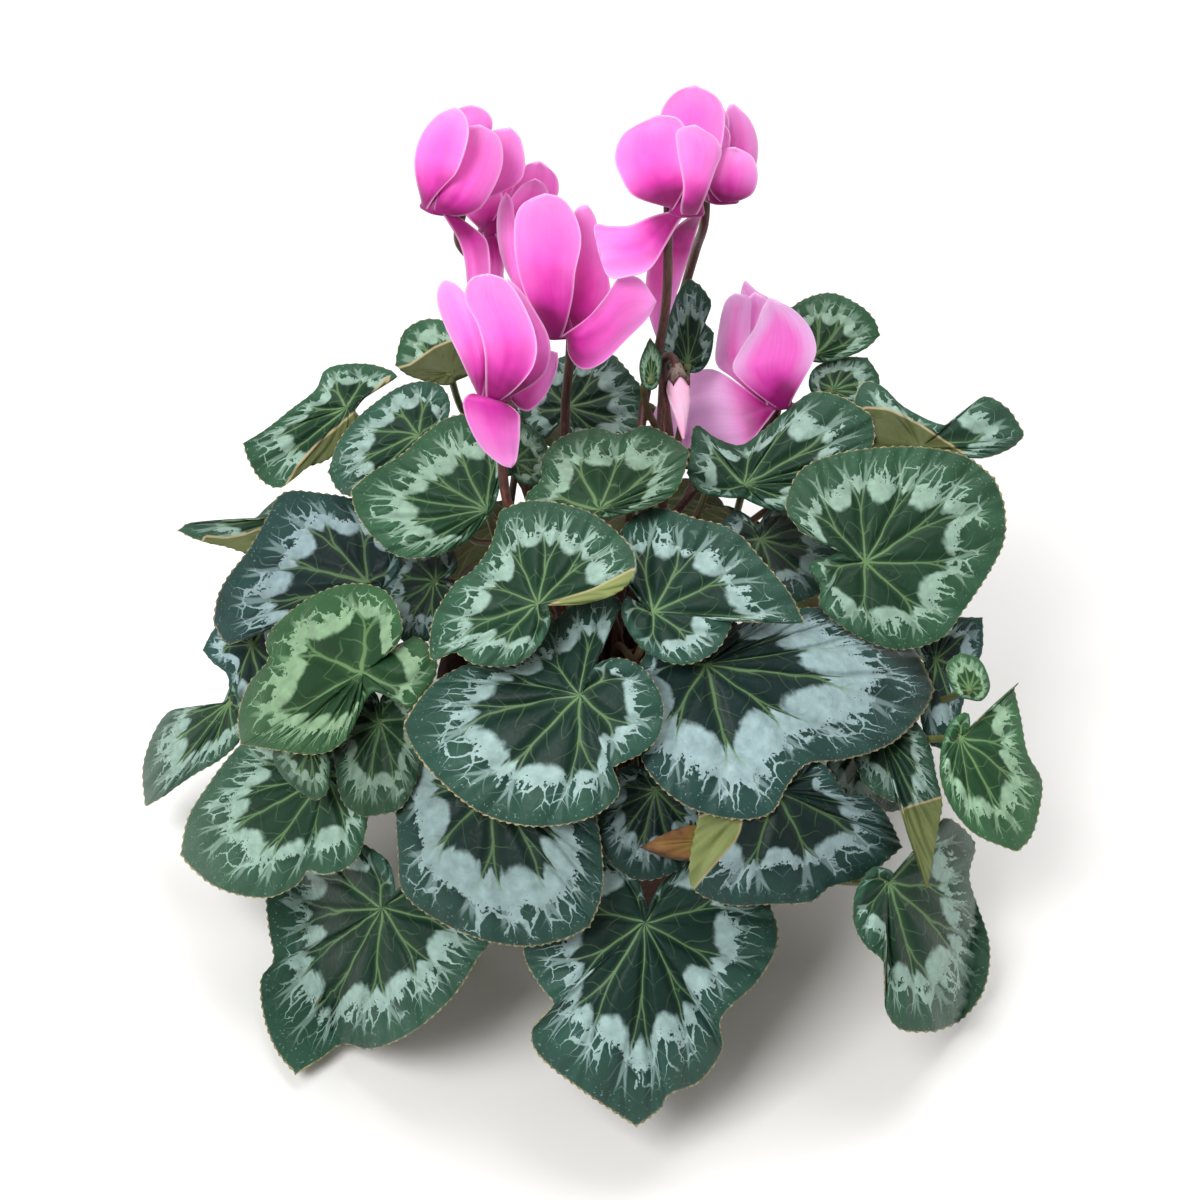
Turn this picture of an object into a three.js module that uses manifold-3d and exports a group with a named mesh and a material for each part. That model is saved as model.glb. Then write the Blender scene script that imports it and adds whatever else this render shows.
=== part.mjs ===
// Potted cyclamen: leaves on their stalks, nodding blooms on hooked stems, a bud, the tuber, soil and pot.
// Millimetres, +Z up, the origin at the middle of the pot's underside, the plant's front towards -Y.
//
// Leaves and blooms are laid out as they are seen from the front, looking down on the plant at
// SIGHT.elevation. A place is written as [across, up]: millimetres to the right of the plant's middle
// and upwards from SIGHT.aim, in the plane square to that line of sight. A third number is a height in
// millimetres off the surface that the piece lies on, or towards the viewer.

import * as THREE from "three";
import { mergeVertices } from "three/addons/utils/BufferGeometryUtils.js";
import Module from "manifold-3d";

const wasm = await Module();
wasm.setup();

const DEG = Math.PI / 180;
const UP = new THREE.Vector3(0, 0, 1);

// How the plant is seen: a viewer 850 mm off, 40 degrees above the level, looking at its middle.
const SIGHT = { elevation: 40 * DEG, distance: 850, aim: new THREE.Vector3(0, 0, 150) };

// The mound of foliage: an ellipsoid that the blades lie on in layers. A leaf's rise is its layer.
const MOUND = { radius: 178, height: 165, foot: 50, lowest: 9 };

// Pot, soil and tuber.
const POT = { height: 110, topRadius: 65, baseRadius: 48, wall: 2.6, floor: 4, rimHeight: 20, rimOut: 2.4 };
const DRAIN = { count: 4, radius: 4, ring: 30, sides: 8 };
const SOIL = { top: 98, mound: 4 };
const TUBER = { radius: 33, bottom: 80, middle: 97, crown: 112.5, crownRadius: 25 };
const SOCKET = { depth: 4, spacing: 3.3, sides: 4 };
const CLEARANCE = 0.3;
const SMALLEST = 0.06;
const ROUND = 24;

// Blades and stalks.
const BLADE = { heart: 1.5, margin: 0.8, tooth: 0.6, stationLength: 12.5, rearStationLength: 18 };
const STALK = { radius: 1.5, sides: 5, stepLength: 30, rise: 0.55, approach: 34 };
const STEM = { radius: 1.9, sides: 5, stepLength: 30, hookRadius: 4.8, hookSteps: 4 };

// Blooms and the bud.
const TUBE = { radius: 6.5, height: 10, neck: 3.2, sides: 8 };
const PETAL = { base: 6, thickness: 0.9, across: 2, along: 5, cup: 3 };
const CALYX = { radius: 4.4, height: 5 };

const COLOURS = {
  blade: 0x2f5a45,
  petal: 0xf46fd0,
  bud: 0xf6b3d6,
  stem: 0x5a2f26,
  tuber: 0x5b4636,
  soil: 0x2b211b,
  pot: 0xb0623f,
};

// Leaves. heart is where the stalk joins, sinus the inner end of the notch beside it. The margin runs
// from the sinus along one side to the tip, and from the sinus along the other side to the same tip.
// A leaf with "faces" lies on a bent plane that faces that compass angle and height instead of lying on
// the mound; "nearer" is how far its middle stands towards the viewer.
const LEAVES = [
  {
    name: "leaf_front_bottom", rise: -40, lean: 0.4, heart: [18, -129], sinus: [19, -124],
    tip: [14.5, -211, -2],
    sideA: [[14, -110, 1], [2, -101, 0], [-14, -108, -2], [-26, -124, -2], [-31, -140, 0], [-26, -152, 1],
      [-17, -165, 3], [-27, -171, -3], [-25, -182, -2], [-8, -196, 1]],
    sideB: [[26, -112, 1], [40, -103, 0], [58, -108, -2], [69, -124, -2], [71, -138, 0], [63, -153, 2],
      [49, -167, 3], [49, -180, -3], [40, -193, -1], [28, -198, 3], [24, -204, 0]],
  },
  {
    name: "leaf_front_left_bottom", rise: -43, lean: 0.4, heart: [-87, -123], sinus: [-82, -117],
    tip: [-122, -190, 0],
    sideA: [[-84, -106, 1], [-92, -99, 0], [-106, -94, -1], [-122, -100, -2], [-133, -116, -1],
      [-133, -131, 1], [-131, -144, 3], [-136, -152, -1], [-135, -166, 0], [-130, -180, 1]],
    sideB: [[-76, -112, 1], [-66, -110, 0], [-52, -118, -2], [-43, -134, -3], [-49, -144, -2],
      [-57, -157, 0], [-68, -168, 1], [-80, -176, 1], [-92, -180, -1], [-103, -178, 2], [-112, -184, 0]],
  },
  {
    name: "leaf_front_right_bottom", rise: -14, lean: 0.3, heart: [115, -113], sinus: [116, -108],
    tip: [134, -173, 0],
    sideA: [[109, -107, 0], [103, -115, -1], [101, -126, 0], [105, -137, 1], [116, -147, 4],
      [119, -153, 1], [114, -162, -4], [120, -172, -1]],
    sideB: [[124, -115, 1], [132, -115, 2], [135, -102, 1], [138, -87, -3], [150, -97, -2],
      [148, -112, 1], [156, -137, 0], [154, -156, 0], [145, -168, 1]],
  },
  {
    name: "leaf_front_right_low", rise: -22, heart: [70, -76], sinus: [68, -70], tip: [121, -99, -2],
    sideA: [[56, -66, 0], [44, -74, -1], [38, -92, 1], [36, -114, 3], [50, -122, 0], [68, -122, 0],
      [84, -121, 1], [92, -115, -1], [104, -112, -1], [113, -106, 0]],
    sideB: [[78, -64, 0], [90, -66, 1], [99, -78, 3], [108, -79, 2], [115, -86, -1]],
  },
  {
    name: "leaf_front_left_low", rise: -23, heart: [-43, -75], sinus: [-40, -68], tip: [-4, -131, 0],
    sideA: [[-52, -57, 0], [-68, -54, -1], [-82, -62, -2], [-82, -82, 0], [-81, -102, 1], [-79, -117, 1],
      [-66, -128, -1], [-48, -136, 1], [-30, -139, 0], [-14, -136, 1]],
    sideB: [[-29, -61, 0], [-14, -66, -1], [-3, -82, 0], [1, -100, 0], [1, -118, 1]],
  },
  {
    name: "leaf_middle_left", rise: -9, heart: [-8, -38], sinus: [-5, -32], tip: [-79, -50, 0],
    sideA: [[3, -20, -5], [11, -9, -9], [7, 1, -9], [-6, 2, -9], [-20, -9, -9], [-38, -18, -6],
      [-52, -25, -2], [-64, -31, 0], [-73, -40, 1]],
    sideB: [[-3, -27, 2], [6, -23, 3], [17, -27, 3], [25, -40, 2], [24, -54, 0], [16, -62, -1],
      [5, -68, 3], [8, -77, -2], [-3, -87, 0], [-25, -91, 1], [-47, -86, 0], [-66, -71, 1],
      [-76, -58, 0]],
  },
  {
    name: "leaf_middle_right", rise: -20, heart: [42, -26], sinus: [38, -20, -2], tip: [134, -36, 0],
    sideA: [[30, -14, -4], [18, -22, -4], [12, -38, -5], [14, -54, -3], [19, -69, 0], [33, -82, 1],
      [52, -88, 0], [68, -86, 1], [75, -75, 2], [83, -66, 3], [98, -64, -1], [116, -58, 0], [129, -46, 0]],
    sideB: [[46, -15, -4], [60, -8, -6], [84, -3, -9], [108, -7, -9], [126, -20, -3]],
  },
  {
    name: "leaf_right_round", nearer: 12, faces: [-68, 58], bend: 260, heart: [106, 15], sinus: [96, 19.5],
    tip: [158, 49, 0],
    sideA: [[91, 21, 2], [86, 19, 3], [78, 30, 1], [74, 38, 0], [79, 51, 0], [90, 57.5, 1],
      [108, 61, 0], [128, 61.5, 0], [146, 58, 0]],
    sideB: [[92, 17.5, -1], [87, 16, -3], [83, 13, -2], [88, 5, -1], [88, -3, 0], [100, -13, 1],
      [118, -20, 0], [136, -16, 1], [146, -4, 1], [156, 11, 0], [162, 24, 0], [162, 38, 0]],
  },
  {
    name: "leaf_right_shadow", rise: -42, heart: [104, -58], sinus: [101, -53], tip: [128, -81, 0],
    sideA: [[94, -57, 0], [90, -68, 1], [91, -79, 3], [101, -84, 0], [112, -85, 0], [121, -84, 0]],
    sideB: [[108, -50, 0], [114, -54, 0], [118, -62, 0], [124, -71, 0]],
    also: "leaf_right_hanging"
  },
  {
    name: "leaf_right_hanging", nearer: 37, faces: [-70, 71], bend: 300, heart: [112, -52],
    sinus: [110, -48], tip: [131, -116, 0],
    sideA: [[103, -50, 0], [101, -61, 0], [106, -74, 1], [115, -80, 1], [121.5, -83, 0], [125, -93, 0],
      [128, -104, 0]],
    sideB: [[119, -45, 0], [126, -48, 0], [132, -58, 0], [134.5, -70, 0], [137, -81, 0],
      [135.5, -91, 0], [133.5, -102, 0]],
  },
  {
    name: "leaf_right_outer", rise: 0, faces: [-48, 36], bend: 200, heart: [144, -55], sinus: [148, -51],
    tip: [167, -101, 0],
    sideA: [[147, -45, 1], [141, -48, 0], [137, -57, 0], [136, -70, 0], [140, -82, 0], [150, -94, 0]],
    sideB: [[151, -46, 2], [157, -37, 2], [163, -29, 0], [168, -45, -2], [171, -61, 1], [177, -73, -2],
      [175, -88, 0], [172, -96, 0]],
  },
  {
    name: "leaf_right_young", rise: 0, stalkTurn: [0.15, 0.1, -0.2], faces: [-60, 45], bend: 60,
    heart: [148, -36], sinus: [149, -40], tip: [144, -21, 0],
    sideA: [[143, -38, 0], [139, -31, 0], [139, -25, 0]],
    sideB: [[153, -40, 0], [156, -34, 0], [152, -24, 0]],
    also: "leaf_right_behind",
  },
  {
    name: "leaf_right_behind", rise: -16, faces: [-50, 55], bend: 200, heart: [134, -24], sinus: [131, -24],
    tip: [153, -7, 0],
    sideA: [[128, -18, 0], [131, -9, 0], [142, -7, 0]],
    sideB: [[128, -32, 0], [128, -46, 0], [132, -58, 0], [140, -58, 0], [144, -46, 0], [148, -32, 0],
      [153, -20, 0]],
  },
  {
    name: "leaf_centre_left", rise: 5, stalkTurn: [0, 0.5, 0], heart: [-25, -2], sinus: [-21, -2],
    tip: [-40, 36, 0],
    sideA: [[-16, -3.5, 0], [-5, -1, 0], [4, 1.5, 0], [11, 6, 1], [14.5, 13, 1], [12, 22, 0], [0, 33, -1],
      [-12, 38, -1], [-28, 40, 0]],
    sideB: [[-20, -9, 0], [-24, -18, 1], [-34, -26, 2], [-50, -26, 2], [-59, -21, 1], [-68, -24, -1],
      [-67, -8, 0], [-59, 6, 3], [-51, 12, -3], [-44, 22, -3]],
  },
  {
    name: "leaf_centre_right", rise: -9, heart: [21, -5], sinus: [18, -3], tip: [82, -9, 0],
    sideA: [[12, 5, 1], [8, 10, 0], [6, 18, -1], [9, 29, -1], [17, 36, -1], [25, 37, 0], [38, 33, 0],
      [54, 28, 0], [66, 15, 0], [76, 3, 0]],
    sideB: [[12, 2, -2], [8.5, -3, -1], [11, -12, 0], [20, -22, 1], [34, -26, 1], [46, -21, 1],
      [52, -12, 2], [55, -2, 6], [62, -5, 2], [72, -9, -1]],
  },
  {
    name: "leaf_centre_top", rise: -2, heart: [0, 36], sinus: [0, 33], tip: [36, 60, 0],
    sideA: [[-10, 28, -2], [-24, 33, -2], [-30, 41, 0], [-24, 48, 1], [-23, 57, 0], [-16, 65, 0],
      [-2, 69, 1], [8, 66.5, -1], [18, 70, 1], [28, 66, 0]],
    sideB: [[4, 33, 1], [12, 35, 3], [22, 38, 2], [30, 43, 0], [34, 51, 0]],
  },
  {
    name: "leaf_upper_left", rise: -2, faces: [-108, 62], bend: 220, heart: [-45, 36], sinus: [-42.5, 37],
    tip: [-100, 44, 0],
    sideA: [[-40.5, 44, 0], [-39, 55, 0], [-39, 66, -1], [-48, 74, -2], [-60, 73.5, -2], [-70, 67, -1],
      [-80, 58, 0], [-92, 51, 1]],
    sideB: [[-46, 32, 0], [-53, 24, 0], [-65, 18, 0], [-80, 17, 0], [-91, 25, 0], [-98, 35, 0]],
    also: "leaf_centre_shaded",
  },
  {
    name: "leaf_left_green", rise: -5, heart: [-95, -29], sinus: [-91, -36.5], tip: [-144, -58, 0],
    sideA: [[-87, -37.5, -2], [-81, -40.5, -4], [-75, -43, -8], [-66, -31, -8], [-66, -21, -8],
      [-75, -14, -8], [-84, -17, -6], [-91, -25, -2], [-90, -22, 1], [-82, -19, 2], [-79, -9, 2],
      [-86, 4, 0], [-102, 6.5, 0], [-118, 0, 0], [-131, -11, 0], [-134, -18, 1], [-133, -24, 2],
      [-141, -34, 0], [-145, -47, 0]],
    sideB: [[-94, -40.5, 0], [-97, -47, 0], [-102, -56, 0], [-109, -61, 0], [-118, -62, 1],
      [-131, -60, 0]],
  },
  {
    name: "leaf_left_blue", nearer: 4, faces: [-126, 55], bend: 150, heart: [-93, 7], sinus: [-91, 3],
    tip: [-155, -9, -3],
    sideA: [[-85, 6, 0], [-80, 14, 1], [-82, 27, -1], [-95, 39, -2], [-112, 43, -1], [-127, 43, 0],
      [-134, 32, 1], [-141, 20, 3], [-148, 11, 0], [-153, 2, -1]],
    sideB: [[-98, 0, 0], [-111, -4, -1], [-126, -10, -1], [-140, -12, 0], [-149, -18, -3]],
    also: "leaf_left_shaded",
  },
  {
    name: "leaf_upper_left_silver", nearer: -5, faces: [-105, 66], bend: 200, heart: [-72, 66],
    sinus: [-68, 68], tip: [-109, 51, 0],
    sideA: [[-62, 70, 0], [-60, 79, 0], [-64, 86, 0], [-72, 87.5, 0], [-81, 85, 0], [-90, 79, 1],
      [-98, 72, -1], [-105, 63, 0]],
    sideB: [[-66, 60, 0], [-74, 50, 0], [-88, 42, 0], [-103, 42, 0]],
  },
  {
    name: "leaf_upper_left_outer", nearer: -28, faces: [-105, 50], bend: 150, heart: [-101, 77],
    sinus: [-98, 76], tip: [-143, 62.5, 0],
    sideA: [[-94, 81, 0], [-87, 86, 0], [-81, 90, 0], [-90, 94, 0], [-101, 94.5, 0], [-110, 92, 0],
      [-114, 84, 1], [-124, 76, 0], [-134, 68, 0]],
    sideB: [[-98, 70, 2], [-103, 61, 4], [-110, 55.5, 4], [-117, 53, 3], [-123, 48, 2], [-129, 44.5, 0],
      [-136, 48, -1], [-141, 56, 0]],
  },
  {
    name: "leaf_back_left", nearer: -30, faces: [-100, 62], bend: 90, heart: [-60, 91],
    sinus: [-57, 88], tip: [-82, 94, 0],
    sideA: [[-50, 92, 0], [-50, 102, 0], [-58, 110, 0], [-69, 112.5, 0], [-78, 108, 0], [-81, 100, 0]],
    sideB: [[-61, 86, 0], [-68, 87, 2], [-77, 90, 2]],
  },
  {
    name: "leaf_left_edge", nearer: -50, faces: [85, 75], heart: [-122, 33], sinus: [-119, 32],
    tip: [-169, 27.7, 0],
    sideA: [[-118, 38, 0], [-126, 42, 0], [-133, 37.5, 0], [-140, 30.5, 0], [-148, 26.3, 1],
      [-157, 26.6, 1], [-164, 30.8, 0]],
    sideB: [[-119, 25, 0], [-128, 15, 0], [-140, 18, 0], [-149, 21, 0], [-158, 23, 0], [-164, 25, 0]],
  },
  {
    name: "leaf_left_bottom", nearer: -25, faces: [-150, 28], bend: 160, heart: [-148, -41],
    sinus: [-145, -38], tip: [-182, -83, 0],
    sideA: [[-147, -33, 0], [-152, -43, 1], [-161, -45, 0], [-171, -44, -1], [-178, -52, 0],
      [-183, -67, 0]],
    sideB: [[-142, -45, 0], [-144, -56, 1], [-152, -64, -1], [-164, -71, 1], [-175, -79, 0]],
    also: "leaf_left_behind",
  },
  {
    name: "leaf_left_behind", nearer: -26, faces: [-140, 60], bend: 200, heart: [-139, -18],
    sinus: [-138, -13], tip: [-159, -20, 0],
    sideA: [[-139, -5, 0], [-147, -6, 0], [-154, -11, 0]],
    sideB: [[-134, -5, 0], [-128, -18, 0], [-129, -36, 0], [-134, -50, 0], [-144, -48, 0],
      [-148, -38, 0], [-149, -30, 0], [-155, -25, 0]],
  },
  {
    name: "leaf_left_low", rise: -22, faces: [-130, 35], bend: 150, heart: [-109, -70],
    sinus: [-105, -66], tip: [-168, -102, 0],
    sideA: [[-108, -56, -2], [-122, -52, -3], [-138, -53, -3], [-148, -62, -2], [-157, -74, 0],
      [-165, -87, 0]],
    sideB: [[-97, -68, -1], [-93, -80, 0], [-94, -95, 0], [-99, -106, 0], [-110, -110, 1],
      [-117, -108.5, 3], [-121, -114, 1], [-134, -119.5, 0], [-152, -116, 0], [-163, -108, 0]],
  },
  {
    name: "leaf_left_shadow", rise: -19, heart: [-88, -49], sinus: [-88, -43], tip: [-95, -87, 0],
    sideA: [[-90, -37, 0], [-98, -35, 0], [-107, -47, 0], [-106, -66, 0], [-103, -81, 0]],
    sideB: [[-86.5, -37.5, -1], [-77, -36, -1], [-70, -47, 0], [-72, -68, 0], [-79, -83, 1],
      [-87, -86, 0]],
    also: "leaf_left_small"
  },
  {
    name: "leaf_left_small", rise: -14, heart: [-116, -58], sinus: [-113, -55], tip: [-114, -80.5, 0],
    sideA: [[-122, -56, 0], [-131, -61, 0], [-126, -72, 0]],
    sideB: [[-109, -59, 0], [-108, -68, 0], [-109, -77, 0]],
  },
  {
    name: "leaf_right_shaded", rise: -29, heart: [64, 24], sinus: [63, 29], tip: [90, 3, 0],
    sideA: [[54, 36, 0], [46, 24, 0], [51, 9, 0], [66, 0, 0], [79, -1, 0]],
    sideB: [[71, 40, 0], [84, 39, 0], [94, 30, 0], [95, 14, 0]],
  },
  {
    name: "leaf_upper_right", nearer: -12, faces: [-72, 66], bend: 200, heart: [58, 46], sinus: [57, 41],
    tip: [109, 74, 0],
    sideA: [[50, 41, 1], [40, 43, 2], [35, 50, 3], [36, 60, 4], [38, 70, 5], [46, 65, 2], [56, 62, -3],
      [64, 67, -5], [76, 77, -2], [86, 83.5, 0], [98, 81, 0]],
    sideB: [[66, 37, 1], [76, 36, 1], [90, 44, 0], [104, 55, 0], [110, 64, 0]],
  },
  {
    name: "leaf_back_right", nearer: -39, faces: [-62, 58], bend: 120, heart: [128, 61], sinus: [124, 57],
    tip: [170, 66, 0],
    sideA: [[110, 56, 0], [101, 70, 0], [104, 86, 0], [112, 86, 0], [122, 77, 0], [138, 70, 2],
      [146, 75, 1], [154, 81.5, 0], [163, 77, 0], [168, 70, 0]],
    sideB: [[132, 57, 3], [144, 57, 3], [155, 57, 1], [165, 61, 0]],
  },
  {
    name: "leaf_back_right_tall", nearer: -54, faces: [-75, 48], bend: 150, heart: [86, 98],
    sinus: [83, 96], tip: [112, 106, 0],
    sideA: [[77, 100, 0], [72, 110, 0], [79, 119, 0], [92, 123, 0], [104, 118, 0], [110, 112, 0]],
    sideB: [[89, 95, 2], [98, 97, 3], [107, 101, 2]],
    also: "leaf_back_right_small",
  },
  {
    name: "leaf_back_right_small", nearer: -51, faces: [-70, 60], bend: 150, heart: [93, 84],
    sinus: [90, 81], tip: [107, 97, 0],
    sideA: [[84, 84, 0], [85, 92, 0], [95, 97, 0]],
    sideB: [[97, 79, 0], [108, 80, 0], [112, 88, 0]],
  },
  {
    name: "leaf_back_middle", nearer: -7, stalkTurn: [0, -1, -0.4], faces: [-85, 36], bend: 160,
    heart: [35, 94.5], sinus: [34.5, 91], tip: [35, 129, 0],
    sideA: [[29.5, 90, 0], [24.5, 97, 1], [26, 109, -1], [30, 121, 1]],
    sideB: [[40, 91.5, 0], [44, 97, 1], [45.5, 107, 2], [42, 111, -2], [44.5, 119, 1], [40, 126, 0]],
    also: "leaf_back_small"
  },
  {
    name: "leaf_back_centre", nearer: -20, faces: [-85, 60], bend: 200, heart: [-13, 77], sinus: [-15, 72],
    tip: [6, 98, 0],
    sideA: [[-24, 64, 0], [-32, 74, 0], [-28, 88, 0], [-16, 97, 0], [-4, 100, 0]],
    sideB: [[-8, 62, 0], [6, 61, 0], [17, 68, 0], [18, 82, 0], [12, 91, 0]],
  },
  {
    name: "leaf_back_small", nearer: 23, faces: [-60, 45], bend: 100, heart: [20.5, 88], sinus: [20, 84],
    tip: [20, 105, 0],
    sideA: [[17, 86, 0], [16, 95, 0]],
    sideB: [[23, 86, 0], [24.5, 97, 0]],
  },
  {
    name: "leaf_centre_shaded", nearer: 12, faces: [-90, 55], bend: 200, heart: [-34, 55],
    sinus: [-35, 50], tip: [-31, 71, 0],
    sideA: [[-41, 50, 0], [-42, 60, 0], [-38, 69, 0]],
    sideB: [[-30, 46, 0], [-22, 47, 0], [-19, 56, 0], [-24, 66, 0]],
  },
  {
    name: "leaf_left_shaded", rise: -27, heart: [-66, 7], sinus: [-62, 8], tip: [-88, -4, 0],
    sideA: [[-57, 14, 0], [-62, 23, 0], [-76, 22, 0], [-87, 11, 0]],
    sideB: [[-56, 2, 0], [-61, -12, 0], [-73, -17, 0], [-83, -14, 0]],
  },
  {
    name: "leaf_front_shaded", rise: -31, heart: [22, -76], sinus: [22, -70], tip: [13, -112, 0],
    sideA: [[12, -66, 0], [2, -74, 0], [-1, -92, 0], [4, -105, 0]],
    sideB: [[32, -66, 0], [42, -74, 0], [44, -90, 0], [34, -106, 0], [22, -112, 0]],
    also: "leaf_withered",
  },
  {
    name: "leaf_withered", rise: -26, heart: [43, -96], sinus: [45, -93], tip: [16, -99, 0],
    sideA: [[38, -90, 0], [27, -93, 0]],
    sideB: [[46, -99, 0], [36, -104, 0], [26, -103, 0]],
  },
];

// Rear leaves, out of sight from the front, each laid out as seen on walking round the plant by "turn":
// a plain heart shape of the given width and length about its heart, its tip towards "spin" (0 is down).
const REAR_LEAVES = [
  { name: "leaf_rear_1", turn: 126, rise: -8, lean: 0, heart: [0, -101], width: 90, length: 80, spin: 6 },
  { name: "leaf_rear_2", turn: 152, rise: -18, lean: 0, heart: [0, -79], width: 92, length: 82, spin: -8 },
  { name: "leaf_rear_3", turn: 187, rise: -8, lean: 0, heart: [0, -66], width: 94, length: 82, spin: 4 },
  { name: "leaf_rear_4", turn: 220, rise: -18, lean: 0, heart: [0, -80], width: 90, length: 82, spin: -6 },
  { name: "leaf_rear_5", turn: 118, rise: -30, lean: 0.35, heart: [0, -140], width: 84, length: 70, spin: 0 },
  { name: "leaf_rear_6", turn: 142, rise: -38, lean: 0.25, heart: [0, -136], width: 88, length: 74, spin: 8 },
  { name: "leaf_rear_7", turn: 170, rise: -30, lean: 0.35, heart: [0, -142], width: 90, length: 72, spin: -6 },
  { name: "leaf_rear_8", turn: 198, rise: -38, lean: 0.25, heart: [0, -136], width: 88, length: 74, spin: 4 },
  { name: "leaf_rear_9", turn: 226, rise: -30, lean: 0.35, heart: [0, -142], width: 86, length: 70, spin: -4 },
  { name: "leaf_rear_10", turn: 252, rise: -40, lean: 0.25, heart: [0, -136], width: 76, length: 70, spin: 6 },
];

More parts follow.
